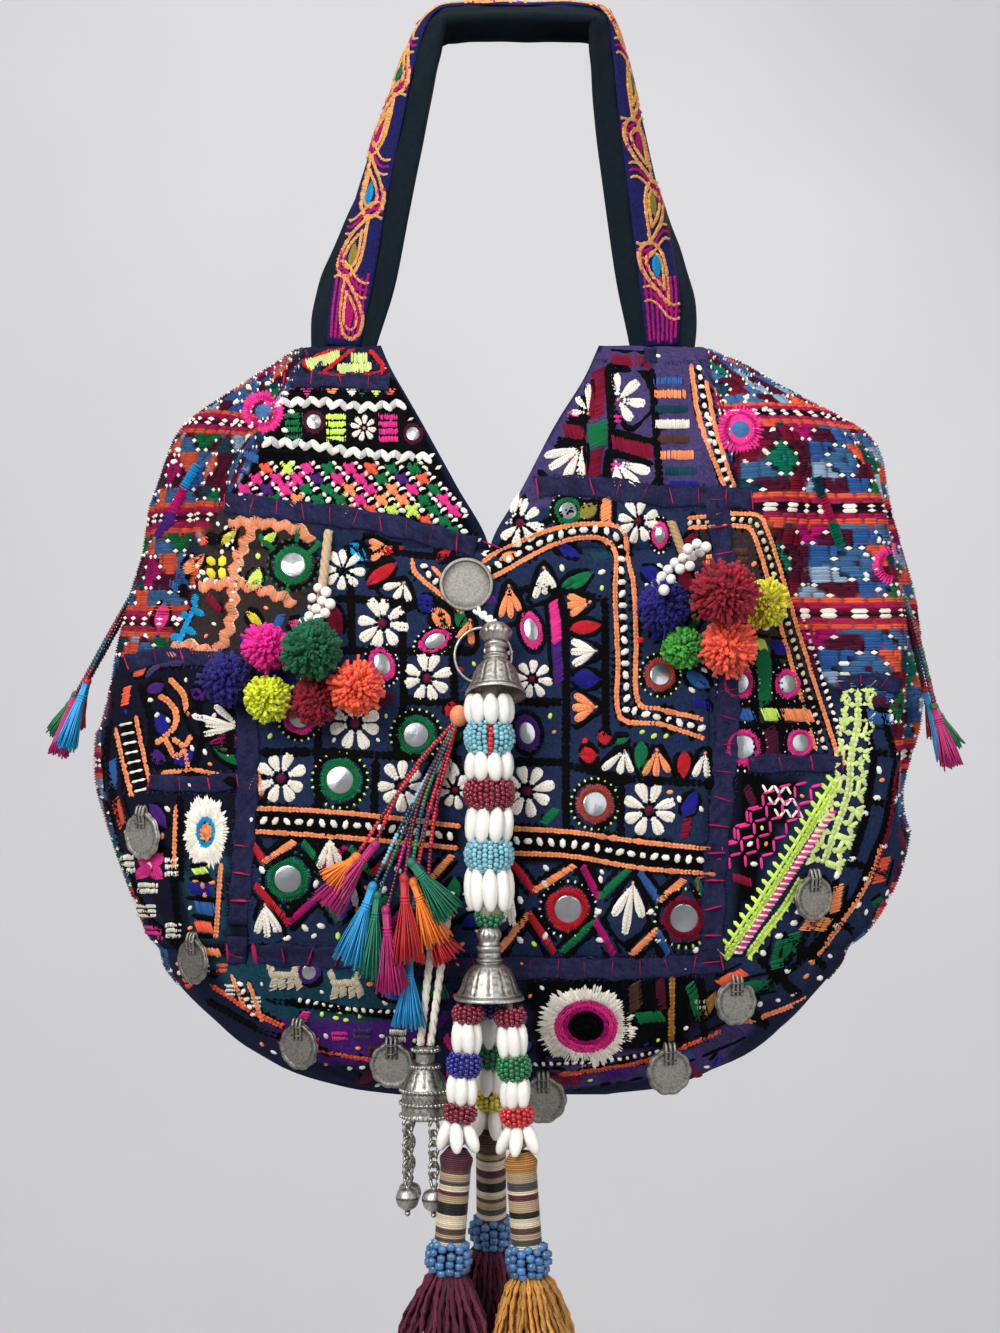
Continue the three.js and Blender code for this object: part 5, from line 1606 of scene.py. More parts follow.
class Needle:
    """Gathers stitches, knots, pads, discs and tapes in a chart's coordinates and sews them to the cloth.
    unit_mm is the chart's millimetres per step, and widths and heights are in millimetres."""

    def __init__(self, name, chart, unit_mm, slot, swap=None, coarse=1.0):
        self.name, self.chart, self.mm, self.slot, self.coarse = name, chart, unit_mm, slot, coarse
        self.swap = swap or {}
        self.stitches, self.knots, self.pads, self.discs, self.tapes = [], [], [], [], []

    def tint(self, name):
        return TINT[self.swap.get(name, name)] if isinstance(name, str) else np.asarray(name)

    def stitch(self, start, end, width, tint, height=0.6):
        start, end = np.atleast_2d(start).astype(float), np.atleast_2d(end).astype(float)
        n = len(start)
        shade = self.tint(tint) * rng.uniform(0.78, 1.18, (n, 1))
        self.stitches.append((start, end, np.full(n, width), np.full(n, height), shade))

    def chain(self, path, tint, width=3.6, link=1.9, height=0.9):
        """A chain-stitched line: two slanted strands for each link, over a flat cord where it is wide."""
        points, ahead = along_line(path, self.coarse * link / self.mm)
        out = side_of(ahead) * (0.27 * width / self.mm)
        points = points + rng.normal(0, 0.1 / self.mm, points.shape)
        step = points[1:] - points[:-1]
        # The flat cord is the thread's tint darkened, as painted shade showing between the links
        if width > BACKED_CHAIN:
            self.line(path, self.tint(tint) * 0.7, 0.85 * width, 4.5 * self.coarse, 0.75 * height)
        for sign in (-1, 1):
            ends = points[1:] + sign * out[1:] + 0.7 * step
            self.stitch(points[:-1] + 0.1 * sign * out[:-1], ends, 0.55 * width, tint, height)

    def line(self, path, tint, width=1.5, step=3.2, height=0.5):
        """A back-stitched line."""
        points, _ = along_line(path, step / self.mm)
        points = points + rng.normal(0, 0.12 / self.mm, points.shape)
        reach = min(0.12 + 0.4 * width / step, 0.6) * (points[1:] - points[:-1])
        self.stitch(points[:-1] - reach, points[1:] + reach, width, tint, height)

    def rungs(self, path, tint, step, reach, width=1.4, height=0.7):
        """Stitches across a line."""
        points, ahead = along_line(path, step / self.mm)
        out = side_of(ahead) * (reach / 2 / self.mm)
        self.stitch(points - out, points + out, width, tint, height)

    def knot(self, places, tint, size=1.9, height=0.9):
        """Padded knots that lie at any turn."""
        places = np.atleast_2d(places).astype(float)
        shade = self.tint(tint) * rng.uniform(0.82, 1.12, (len(places), 1))
        self.knots.append((places, np.full(len(places), size), np.full(len(places), height), shade))

    def bar(self, start, end, width, tint, step=0.95, height=0.9, lean=0.25):
        """Satin stitches across a bar."""
        step = step * self.coarse
        points, ahead = along_line([start, end], step / self.mm)
        out = side_of(ahead) * (width / 2 / self.mm) + ahead * (lean * width / self.mm)
        jitter = rng.normal(0, 0.18 / self.mm, points.shape)
        # The pad under the satin is the thread's tint darkened, as painted shade in the gaps between the stitches
        self.pad(start, end, width, self.tint(tint) * 0.7, 0.55 * height, SQUARE_PAD)
        self.stitch(points - out + jitter, points + out + jitter, 1.3 * step, tint, height)

    def edged_bar(self, start, end, width, tint, edge=2.8):
        """A satin bar with a black cord on each side."""
        start, end = np.asarray(start, float), np.asarray(end, float)
        for sign in (-1, 1):
            out = sign * side_of(unit(end - start)) * ((width / 2 + 0.4 * edge) / self.mm)
            self.line([start + out, end + out], "black", edge, step=4.0, height=0.8)
        self.bar(start, end, width, tint)

    def leaf(self, start, end, width, tint, outline="black", step=0.95):
        """Satin stitches across a leaf, within an outline."""
        start, end, step = np.asarray(start, float), np.asarray(end, float), step * self.coarse
        points, ahead = along_line([start, end], step / self.mm)
        share = np.linspace(0.03, 0.97, len(points))
        half = (np.sin(np.pi * share ** 0.85) ** 0.8 * width / 2 / self.mm)[:, None]
        out = side_of(ahead)
        slant = ahead * (0.35 * half)
        # The pad under the satin is the thread's tint darkened, as painted shade in the gaps between the stitches
        self.pad(start, end, 0.9 * width, self.tint(tint) * 0.7, height=0.5)
        self.stitch(points - out * half - slant, points + slant * 0.4, 1.3 * step, tint, height=0.8)
        self.stitch(points - slant * 0.4, points + out * half + slant, 1.3 * step, tint, height=0.8)
        if outline:
            for sign in (-1, 1):
                edge = points + sign * out * (half + 1.1 / self.mm)
                self.line(edge, outline, width=3.2, step=3.6, height=0.8)

    def pad(self, start, end, width, tint, height=0.7, shape=ROUND_PAD):
        """A cushion that other stitches lie on."""
        start, end = np.asarray(start, float), np.asarray(end, float)
        shade = self.tint(tint) * rng.uniform(0.9, 1.08)
        self.pads.append(((start + end) / 2, end, width, height, shade, shape))

    def petal(self, root, tip, width, tint):
        """A padded paddle with a row of links on each side of a dotted slit."""
        root, tip = np.asarray(root, float), np.asarray(tip, float)
        self.pad(root, tip, width, self.tint(tint) * 0.95, height=1.0, shape=PETAL_PAD)
        count = max(3, round(np.linalg.norm(tip - root) * self.mm / 2.3 / self.coarse))
        share = np.linspace(0.16, 0.93, count + 1)[:, None]
        points, ahead = root + (tip - root) * share, unit(tip - root)
        x = 2 * share - 1
        half = (width / 2 / self.mm) * np.sqrt(1 - x ** 2) * paddle_width(x, PADDLE)
        for sign in (-1, 1):
            row = points + sign * side_of(ahead) * 0.52 * half
            reach = 0.14 * (row[1:] - row[:-1])
            self.stitch(row[:-1] - reach, row[1:] + reach, 0.4 * width, tint, height=1.5)
        # The slit's dots are the thread's tint darkened nearly to black, as painted shade in the slit between the rows
        dots = root + (tip - root) * np.linspace(0.34, 0.84, count)[:, None]
        self.stitch(dots, dots + ahead * (1.3 / self.mm), width=0.9, tint=self.tint(tint) * 0.16, height=1.9)

    def petals(self, root, tips, width, tint, heart="orange"):
        """A half flower: petals from one root."""
        for tip in tips:
            self.petal(root, tip, width, tint)
        self.knot([root], heart, size=1.5)

    def daisy(self, place, radius, count, tint="white", heart="maroon"):
        place = np.asarray(place, float)
        first = rng.uniform(0, 2)
        wide = min(2 * math.pi * 0.59 * radius / count * self.mm, 6.4)
        for i in range(count):
            angle = first + 2 * math.pi * i / count + rng.normal(0, 0.05)
            ray = np.array([math.cos(angle), math.sin(angle)])
            self.petal(place + 0.16 * radius * ray, place + radius * rng.uniform(0.92, 1.08) * ray, wide,
                       tint)
        self.disc_of_stitches(place, 0.24 * radius, "black", heart)

    def disc_of_stitches(self, place, radius, rim, heart):
        ring = circle(np.linspace(0, 2 * np.pi, 13))
        self.chain(place + ring * radius, rim, width=1.6, link=1.6, height=0.9)
        spoke = ring[:6] * 0.7 * radius
        self.stitch(place - spoke, place + spoke, width=1.3, tint=heart, height=0.9)

    def mirror(self, place, radius, tint, squash=1.0, tilt=0.0, lash=None):
        """A round glass held by two rounds of stitches, with a ring of short rays if it has a lash."""
        place = np.asarray(place, float)
        glass = 0.62
        count = max(16, int(2 * np.pi * radius * self.mm / 1.35 / self.coarse))
        turn = turns(count)
        spin = flat_turn(tilt)
        ray = (circle(turn) * [squash, 1]) @ spin
        self.discs.append((place, radius * glass * 1.06, squash, spin))
        skew = np.roll(ray, 1, axis=0)
        uneven = rng.uniform(0.96, 1.14, (count, 1))
        self.stitch(place + ray * radius * 0.78, place + ray * radius * uneven, width=1.7, tint=tint,
                    height=0.9)
        inner = place + ray * radius * (glass - 0.06)
        self.stitch(inner, place + skew * radius * 0.86, width=1.5, tint=self.tint(tint) * 0.85, height=1.3)
        ring = np.concatenate([ray, ray[:1]]) * radius
        self.chain(place + 0.8 * ring, tint, width=1.9, link=1.6, height=1.35)
        self.line(place + 1.16 * ring, "black", width=3.0, step=3.4, height=0.5)
        if lash:
            self.stitch(place + ray[::2] * radius * 1.14, place + ray[::2] * radius * 1.4, width=1.5,
                        tint=lash, height=0.8)
            between = ray[1::2] * radius
            self.stitch(place + between * 1.12, place + between * 1.42, width=1.7, tint="black", height=0.6)

    def hatch(self, corners, tint, angle=0.0, step=1.1, length=4.0, height=0.5, width=1.35):
        """A polygon filled with rows of stitches at an angle in degrees."""
        corners = np.asarray(corners, float)
        spin = flat_turn(-angle)
        flat = corners @ spin
        step = step * self.coarse
        rows = np.arange(flat[:, 1].min() + step / self.mm / 2, flat[:, 1].max(), step / self.mm)
        starts, ends = [], []
        for row in rows:
            crossings = []
            for a, b in zip(flat, np.roll(flat, -1, axis=0)):
                if (a[1] > row) != (b[1] > row):
                    crossings.append(a[0] + (b[0] - a[0]) * (row - a[1]) / (b[1] - a[1]))
            crossings.sort()
            for low, high in zip(crossings[::2], crossings[1::2]):
                pieces = max(1, round((high - low) * self.mm / length))
                cuts = np.linspace(low, high, pieces + 1)
                cuts[1:-1] += rng.uniform(-0.3, 0.3, pieces - 1) * (high - low) / pieces
                starts += [(x, row) for x in cuts[:-1]]
                ends += [(x, row) for x in cuts[1:]]
        if starts:
            self.stitch(np.array(starts) @ spin.T, np.array(ends) @ spin.T, width, tint, height)

    def zigzag(self, points, tints, width=3.8):
        for i, (a, b) in enumerate(zip(points[:-1], points[1:])):
            self.edged_bar(a, b, width, tints[i % len(tints)], edge=3.6)

    def tape(self, path, width, tint, crosses="crimson", every=13.0):
        """A sewn-on tape with long running stitches across it."""
        path = smooth_line(path, 6)
        points, ahead = along_line(path, 3.0 / self.mm)
        self.tapes.append((points, side_of(ahead) * (width / 2 / self.mm), self.tint(tint)))
        marks, ahead = along_line(path, every / self.mm)
        out = side_of(ahead) * (0.56 * width / self.mm)
        lean = ahead * rng.normal(0, 0.1 * width / self.mm, (len(marks), 1))
        if crosses:
            self.stitch(marks - out - lean, marks + out + lean, width=0.9, tint=crosses, height=1.9)
        ends, ahead = along_line(path, 1.6 * self.coarse / self.mm)
        for sign in (-1, 1):
            rim = ends + sign * side_of(ahead) * (0.47 * width / self.mm)
            fray = rim + sign * side_of(ahead) * (rng.uniform(0.4, 2.4, (len(rim), 1)) / self.mm)
            fray = fray + ahead * rng.normal(0, 1.2 / self.mm, (len(rim), 1))
            self.stitch(rim, fray, width=0.45, tint=self.tint(tint) * 1.3, height=0.9)

    def sew(self):
        """Make the pieces."""
        self.sew_stitches()
        self.sew_pads()
        self.sew_knots()
        self.sew_discs()
        self.sew_tapes()

    def sew_stitches(self):
        start, end, width, height, tint = (np.concatenate(column) for column in zip(*self.stitches))
        a, up_a, ok_a = self.chart.at(start)
        b, up_b, ok_b = self.chart.at(end)
        long = np.linalg.norm(np.nan_to_num(b - a), axis=1)
        ok = ok_a & ok_b & (long > SHORTEST) & (long < LONGEST)
        up = unit(up_a + up_b)
        parts = np.array_split(np.flatnonzero(ok), 1 + int(ok.sum() / STRANDS_PER_PIECE))
        for part, rows in enumerate(parts):
            pile = Pile()
            pile.strands(a[rows], b[rows], up[rows], width[rows] * MM, height[rows] * MM, tint[rows])
            pile.make(f"{self.name}_stitches_{part + 1}", THREAD, self.slot)

    def sew_knots(self):
        if not self.knots:
            return
        places, size, height, tint = (np.concatenate(column) for column in zip(*self.knots))
        at, up, ok = self.chart.at(places)
        at, up, size, height, tint = at[ok], up[ok], size[ok], height[ok], tint[ok]
        turn = rng.uniform(0, 6, (len(at), 1))
        side = unit(np.cross(up, np.array([0.3, 0.2, 1.0])))
        other = np.cross(up, side)
        long = np.cos(turn) * side + np.sin(turn) * other
        across = np.cross(up, long)
        axes = long * (0.75 * size)[:, None], across * (0.5 * size)[:, None], up * height[:, None]
        frames = np.stack(axes, -1)
        pile = Pile()
        pile.stamps(KNOT, at, frames * MM, tint)
        pile.make(f"{self.name}_knots", THREAD, self.slot)

    def sew_pads(self):
        pile = Pile()
        for shape in (ROUND_PAD, SQUARE_PAD, PETAL_PAD):
            pads = [pad for pad in self.pads if pad[5] is shape]
            if not pads:
                continue
            middle, end, width, height, tint = (np.array([pad[i] for pad in pads]) for i in range(5))
            at, up, ok = self.chart.at(middle)
            tip, _, tip_ok = self.chart.at(end)
            good = ok & tip_ok
            at, up, long = at[good], up[good], (tip - at)[good]
            across = unit(np.cross(up, long)) * (width[good] / 2 * MM)[:, None]
            frames = np.stack([long, across, up * (height[good] * MM)[:, None]], -1)
            pile.stamps(shape, at, frames, tint[good])
        if pile.count:
            pile.make(f"{self.name}_pads", THREAD, self.slot)

    def sew_discs(self):
        pile = Pile()
        for place, radius, squash, spin in self.discs:
            points, faces = GLASS_DISC
            flat = place + (points[:, :2] * [squash, 1] * radius) @ spin
            at, up, ok = self.chart.at(flat)
            if ok.all():
                pile.add(at + unit(up.mean(axis=0)) * (points[:, 2:] * 1.4 + 0.25) * MM, faces,
                         TINT["silver"])
        if pile.count:
            pile.make(f"{self.name}_mirrors", GLASS, self.slot)

    def sew_tapes(self):
        pile = Pile()
        for points, out, tint in self.tapes:
            rings = []
            wave = 0.1 * np.sin(0.83 * np.arange(len(points)) + rng.uniform(0, 6))
            wobble = 1 + wave + rng.normal(0, 0.06, len(points))
            for across, rise in TAPE_PROFILE:
                lump = rise + (rise > 0) * rng.normal(0.15, 0.3, len(points))
                at, up, ok = self.chart.at(points + across * out * wobble[:, None])
                rings.append((at + up * lump[:, None] * MM, ok))
            good = np.all([ok for _, ok in rings], axis=0)
            path = np.stack([at for at, _ in rings], 1)
            runs = np.split(np.arange(len(points)), np.flatnonzero(np.diff(good.astype(int))) + 1)
            for run in runs:
                if not good[run[0]] or len(run) < 2:
                    continue
                n, k = len(run), len(TAPE_PROFILE)
                ends = [tuple(range(k)), tuple((n - 1) * k + i for i in range(k))[::-1]]
                shade = tint * rng.uniform(0.7, 1.25, (n * k, 1))
                pile.add(path[run].reshape(-1, 3), [np.array(ring_quads(n, k)), np.array(ends)], shade)
        if pile.count:
            pile.make(f"{self.name}_tapes", CLOTH, self.slot)


# The embroidered patches, charted in pixels of the photograph

PIXEL = 0.475  # millimetres of cloth per pixel on the front

GROUNDS = table("tint corners", [  # patches of cloth under the embroidery, later ones on top
    ("navy", [(226, 505), (482, 548), (500, 505), (720, 492), (728, 960), (228, 960)]),
    ("black", [(250, 380), (396, 380), (490, 556), (380, 528), (226, 505)]),
    ("violet", [(606, 340), (704, 340), (735, 495), (500, 512), (560, 420)]),
    ("earth", [(196, 510), (312, 520), (318, 600), (250, 655), (160, 660)]),
    ("black", [(496, 826), (720, 846), (720, 882), (496, 860)]),
    ("black", [(246, 806), (460, 824), (460, 852), (246, 838)]),
    ("ink", [(100, 655), (238, 650), (246, 960), (190, 960), (110, 840)]),
    ("teal", [(184, 870), (226, 850), (226, 940), (196, 940)]),
    ("teal", [(200, 960), (420, 966), (420, 1024), (260, 1016)]),
    ("purple", [(260, 1016), (420, 1024), (420, 1070), (290, 1060)]),
    ("black", [(520, 975), (700, 972), (690, 1050), (540, 1066)]),
    ("plum", [(540, 1062), (690, 1046), (760, 1010), (720, 1070), (560, 1090)]),
    ("earth", [(690, 512), (768, 520), (838, 760), (730, 760)]),
    ("black", [(730, 775), (838, 775), (728, 962)]),
    ("navy", [(838, 690), (930, 690), (930, 860), (780, 1010), (728, 965)]),
])
DAISIES = table("px py radius heart", [
    (520, 523, 25, "maroon"), (638, 521, 23, "maroon"), (343, 570, 22, "black"), (382, 623, 27, "maroon"),
    (427, 678, 26, "maroon"), (532, 679, 21, "maroon"), (355, 723, 28, "maroon"),
    (402, 786, 26, "maroon"), (281, 778, 27, "maroon"), (527, 791, 28, "maroon"),
    (649, 810, 28, "maroon"), (364, 428, 14, "orange"), (455, 790, 20, "maroon"),
])
MIRRORS = table("px py radius tint squash tilt lash", [
    (568, 511, 14, "green", 1, 0, "neon"), (531, 630, 19, "pink", 0.58, -14, "black"),
    (435, 641, 18, "pink", 0.62, 62, "white"), (382, 664, 18, "pink", 0.7, -20, "white"),
    (300, 716, 19, "pink", 0.95, 0, "neon"), (416, 735, 20, "green", 1, 0, "neon"),
    (340, 780, 22, "green", 1, 0, "neon"), (527, 733, 18, "purple", 0.72, -10, "black"),
    (660, 675, 17, "rust", 0.95, 0, "neon"), (595, 804, 20, "rust", 0.95, 0, "neon"),
    (288, 879, 22, "green", 1, 0, "green"), (568, 909, 22, "red", 1, 0, "white"),
    (684, 918, 23, "maroon", 1, 0, "neon"), (293, 565, 20, "green", 1, 0, "green"),
    (314, 422, 12, "wine", 1, 0, None), (413, 434, 11, "wine", 1, 0, None),
    (738, 683, 17, "pink", 1, 0, "white"), (787, 684, 15, "pink", 0.9, 0, "white"),
    (743, 747, 19, "pink", 1, 0, "white"), (800, 743, 15, "pink", 0.9, 0, "white"),
    (660, 535, 14, "pink", 0.6, 0, "white"), (309, 972, 12, "purple", 1, 0, None),
])
LEAVES = table("tint ax ay bx by width", [
    ("green", 561, 590, 592, 573, 7.2), ("red", 571, 629, 601, 625, 7),
    ("green", 641, 742, 641, 773, 7.2), ("red", 684, 752, 684, 778, 7), ("royal", 573, 679, 600, 679, 9),
    ("red", 598, 738, 611, 738, 7.4), ("red", 580, 755, 597, 755, 9), ("red", 368, 584, 396, 563, 7),
    ("royal", 418, 598, 436, 610, 8), ("green", 455, 615, 467, 625, 8), ("orange", 432, 610, 452, 628, 9),
    ("sky", 350, 545, 366, 560, 8), ("magenta", 211, 743, 247, 733, 5.4),
    ("green", 214, 747, 241, 764, 6), ("neon", 252, 590, 259, 568, 7), ("red", 380, 553, 404, 547, 5),
    ("maroon", 330, 605, 340, 635, 8), ("orange", 500, 560, 520, 552, 5),
    ("green", 615, 745, 628, 738, 5), ("neon", 262, 545, 276, 533, 5), ("royal", 556, 545, 580, 556, 5.4),
    ("red", 455, 700, 447, 716, 6), ("green", 460, 730, 447, 745, 6), ("olive", 580, 517, 597, 503, 8),
    ("royal", 156, 714, 168, 736, 8), ("purple", 148, 692, 164, 684, 6), ("royal", 176, 766, 192, 750, 8),
    ("purple", 150, 752, 166, 764, 7), ("magenta", 219, 748, 242, 743, 4),
    ("coral", 134, 676, 146, 666, 5), ("emerald", 200, 676, 214, 686, 6),
    ("purple", 192, 690, 204, 700, 6), ("red", 437, 560, 452, 548, 5), ("yellow", 222, 544, 236, 530, 5),
    ("yellow", 247, 612, 262, 626, 5), ("green", 664, 600, 668, 622, 5),
    ("orange", 690, 600, 694, 620, 5), ("royal", 652, 640, 664, 628, 5), ("green", 690, 630, 700, 612, 5),
    ("ochre", 700, 1020, 716, 992, 6),
])
HALF_FLOWERS = table("tint px py tips width", [
    ("orange", 509, 586, [(500, 619), (511, 620), (521, 613)], 4.4),
    ("white", 544, 568, [(534, 600), (545, 596), (555, 590)], 5),
    ("orange", 590, 602, [(566, 595), (565, 606), (569, 616)], 5),
    ("white", 596, 651, [(570, 640), (569, 652), (572, 666)], 5.4),
    ("orange", 596, 707, [(573, 694), (571, 708), (574, 721)], 5.4),
    ("white", 625, 750, [(601, 771), (618, 777), (632, 774)], 5),
    ("orange", 657, 750, [(643, 777), (656, 779), (670, 774)], 4.6),
    ("white", 705, 753, [(693, 778), (707, 779)], 5),
    ("white", 404, 583, [(382, 588), (394, 601), (410, 604)], 5),
    ("orange", 391, 549, [(368, 540), (366, 550), (370, 560)], 4.8),
    ("white", 633, 883, [(612, 918), (624, 938), (643, 920)], 6),
    ("white", 507, 872, [(502, 926), (513, 930)], 6),
    ("white", 240, 727, [(190, 715), (213, 704), (201, 735), (203, 724)], 4.8),
    ("white", 448, 755, [(430, 775), (444, 780), (458, 777)], 5),
    ("white", 330, 838, [(318, 870), (330, 875), (342, 868)], 5.4),
    ("orange", 258, 770, [(250, 792), (262, 797)], 4.4),
    ("white", 265, 905, [(256, 935), (268, 940), (280, 934)], 5.4),
    ("white", 618, 400, [(614, 372), (640, 380), (647, 404), (632, 421)], 7),
    ("white", 588, 414, [(588, 382), (576, 396), (570, 412)], 4.6),
    ("white", 582, 448, [(564, 480), (547, 470), (542, 456), (580, 482)], 6),
    ("white", 616, 462, [(640, 488), (652, 472), (618, 490)], 7),
    ("white", 520, 490, [(506, 500), (512, 514)], 5), ("orange", 470, 620, [(458, 640), (472, 646)], 4.8),
    ("white", 352, 880, [(342, 905), (356, 908)], 5),
])
# tint, width in millimetres, line
CHAINS = table("tint width path", [
    ("orange", 3.7, [(482, 563), (500, 551), (560, 527), (619, 527), (628, 560), (634, 588), (636, 640),
     (637, 700), (660, 709), (702, 719)]),
    ("orange", 3.7, [(493, 577), (564, 541), (612, 544), (615, 599), (618, 660), (620, 717), (660, 724),
     (703, 738)]),
    ("orange", 3.7, [(504, 828), (570, 832), (640, 842), (710, 849)]),
    ("orange", 3.7, [(505, 853), (570, 856), (640, 868), (714, 874)]),
    ("orange", 3.7, [(254, 808), (320, 811), (385, 817), (458, 826)]),
    ("orange", 3.7, [(249, 831), (310, 835), (372, 840), (456, 848)]),
    ("orange", 3.7, [(412, 560), (416, 574), (439, 593), (462, 612)]),
    ("orange", 3.4, [(433, 568), (446, 580), (470, 598)]),
    ("orange", 4.2, [(747, 1022), (790, 1006), (830, 986)]),
    ("orange", 3.6, [(691, 366), (700, 421), (724, 486)]),
    ("orange", 3.0, [(706, 380), (716, 430), (734, 488)]),
    ("orange", 3.6, [(690, 528), (740, 526), (756, 540), (780, 624), (815, 748)]),
    ("orange", 3.4, [(690, 518), (750, 514), (768, 532), (796, 624), (838, 756)]),
    ("orange", 4.0, [(176, 808), (174, 865)]), ("orange", 4.0, [(221, 865), (216, 936)]),
    ("orange", 4.2, [(164, 773), (190, 770), (222, 776)]), ("ochre", 5.2, [(672, 976), (671, 1039)]),
    ("orange", 4.6, [(160, 696), (170, 703), (177, 716), (172, 730), (158, 742)]),
    ("orange", 4.6, [(171, 680), (183, 694), (187, 713)]),
    ("orange", 4.2, [(172, 738), (184, 748), (188, 767)]),
    ("coral", 4.4, [(212, 985), (250, 1010), (282, 1026)]), ("orange", 3.4, [(249, 984), (262, 1020)]),
    ("orange", 3.4, [(232, 976), (244, 1006)]), ("coral", 3.2, [(280, 1042), (360, 1058), (420, 1062)]),
    ("red", 3.0, [(302, 362), (345, 347), (364, 346), (382, 372), (320, 374), (302, 362)]),
    ("red", 3.0, [(324, 372), (352, 350)]), ("sky", 4.6, [(178, 646), (186, 625), (196, 605)]),
    ("coral", 3.4, [(560, 1074), (640, 1062), (720, 1032)]),
    ("orange", 3.0, [(526, 452), (540, 424), (562, 392)]),
    ("orange", 4.8, [(880, 846), (868, 880), (846, 916), (812, 962)]),
    ("orange", 3.6, [(116, 730), (123, 762), (131, 794)]),
    ("orange", 3.6, [(136, 718), (143, 752), (151, 786)]),
    ("orange", 4.2, [(164, 736), (177, 758), (190, 738)]),
    ("violet", 4.4, [(146, 676), (160, 664), (182, 662)]),
    ("maroon", 4.0, [(896, 770), (888, 830), (872, 876)]),
])
# tint, bar's ends, width in millimetres
BARS = table("tint ax ay bx by width", [
    ("maroon", 598, 370, 597, 418, 8.4), ("maroon", 596, 450, 592, 484, 8.4),
    ("maroon", 556, 429, 584, 433, 8.6), ("maroon", 613, 442, 652, 452, 8.6),
    ("maroon", 612, 360, 648, 362, 7), ("green", 598, 424, 597, 446, 10),
    ("pink", 554, 601, 557, 642, 5.6), ("purple", 557, 642, 560, 681, 5.6),
    ("orange", 606, 498, 606, 524, 6), ("green", 763, 650, 764, 706, 8),
    ("royal", 772, 647, 786, 648, 6.4), ("neon", 757, 644, 766, 645, 6), ("blue", 724, 713, 754, 715, 7),
    ("neon", 764, 714, 778, 715, 7), ("orange", 782, 714, 812, 716, 7), ("wine", 770, 728, 772, 760, 7),
    ("coral", 724, 648, 748, 650, 6), ("green", 776, 968, 782, 940, 8), ("green", 790, 958, 794, 934, 7),
    ("orange", 838, 886, 834, 912, 6.4), ("orange", 806, 930, 816, 914, 7),
    ("orange", 820, 930, 828, 918, 6), ("green", 736, 990, 772, 982, 7), ("coral", 884, 858, 878, 882, 7),
    ("wine", 872, 700, 902, 704, 7), ("blue", 868, 716, 888, 720, 7), ("green", 638, 1018, 662, 1016, 7),
    ("brown", 634, 984, 636, 1010, 8), ("black", 648, 982, 650, 1010, 6),
    ("wine", 660, 980, 662, 1008, 5), ("green", 690, 984, 700, 1016, 6), ("coral", 720, 984, 744, 972, 6),
    ("violet", 700, 1046, 740, 1028, 8), ("purple", 600, 1076, 640, 1068, 7),
    ("maroon", 545, 1078, 580, 1080, 7), ("green", 420, 990, 446, 992, 8),
    ("blue", 660, 1062, 690, 1052, 6), ("coral", 116, 800, 124, 826, 6), ("blue", 112, 760, 114, 790, 6),
    ("wine", 122, 880, 130, 906, 7), ("royal", 190, 888, 210, 890, 7), ("blue", 196, 906, 214, 910, 7),
    ("neon", 194, 872, 206, 870, 4), ("coral", 196, 926, 212, 928, 6),
])
# tint, middle, size, number of rows
BLOCKS = table("tint px py wide high rows", [
    ("green", 294, 426, 17, 28, 4), ("neon", 336, 428, 19, 30, 4), ("pink", 388, 428, 18, 30, 4),
    ("blue", 668, 381, 26, 9, 1), ("orange", 670, 394, 30, 11, 1), ("teal", 671, 409, 32, 11, 1),
    ("white", 672, 424, 33, 12, 1), ("brown", 674, 439, 31, 11, 1), ("orange", 677, 455, 31, 12, 1),
    ("teal", 680, 471, 30, 12, 1), ("royal", 684, 484, 26, 8, 1), ("pink", 573, 415, 10, 9, 2),
    ("pink", 619, 419, 10, 9, 2), ("pink", 573, 461, 10, 9, 2), ("pink", 616, 467, 10, 9, 2),
    ("white", 127, 864, 14, 20, 3), ("white", 172, 867, 12, 20, 3), ("white", 148, 888, 18, 12, 2),
    ("white", 146, 911, 20, 14, 3), ("pink", 153, 933, 18, 16, 3), ("white", 174, 930, 14, 16, 3),
    ("white", 204, 968, 10, 10, 2), ("black", 214, 974, 8, 10, 2), ("coral", 222, 968, 9, 10, 2),
    ("white", 230, 990, 9, 12, 3), ("black", 240, 996, 8, 12, 3), ("white", 256, 1002, 8, 12, 3),
    ("pink", 340, 1036, 14, 10, 2), ("violet", 362, 1034, 16, 12, 2), ("white", 398, 1036, 14, 14, 2),
    ("brown", 378, 1050, 18, 10, 2), ("coral", 312, 1042, 12, 10, 2), ("white", 700, 1004, 10, 12, 2),
    ("orange", 716, 560, 18, 12, 2), ("brown", 738, 560, 18, 26, 3), ("cream", 712, 588, 16, 14, 2),
    ("royal", 744, 592, 14, 12, 2), ("neon", 728, 612, 12, 10, 2), ("pink", 752, 624, 14, 12, 2),
    ("white", 718, 632, 14, 12, 2),
])
ROPES = table("light wide path", [  # dark cords with light stitches over them
    ("white", 4.6, [(488, 570), (562, 534), (615, 535), (622, 590), (627, 700), (632, 710), (702, 728)]),
    ("white", 4.6, [(505, 840), (570, 844), (640, 855), (712, 861)]),
    ("white", 4.6, [(252, 820), (320, 823), (385, 828), (456, 837)]),
    ("white", 4.0, [(424, 566), (432, 578), (466, 606)]),
    ("white", 3.8, [(699, 368), (708, 421), (730, 488)]),
    ("cream", 3.4, [(690, 523), (745, 520), (762, 536), (788, 624), (826, 752)]),
    ("white", 3.0, [(803, 620), (846, 752)]),
    ("white", 3.0, [(536, 1064), (610, 1060), (672, 1048)]),
    ("white", 3.4, [(240, 984), (253, 1014)]), ("white", 3.2, [(300, 1000), (360, 1010), (420, 1012)]),
    ("white", 3.0, [(226, 528), (240, 560), (232, 600)]),
])
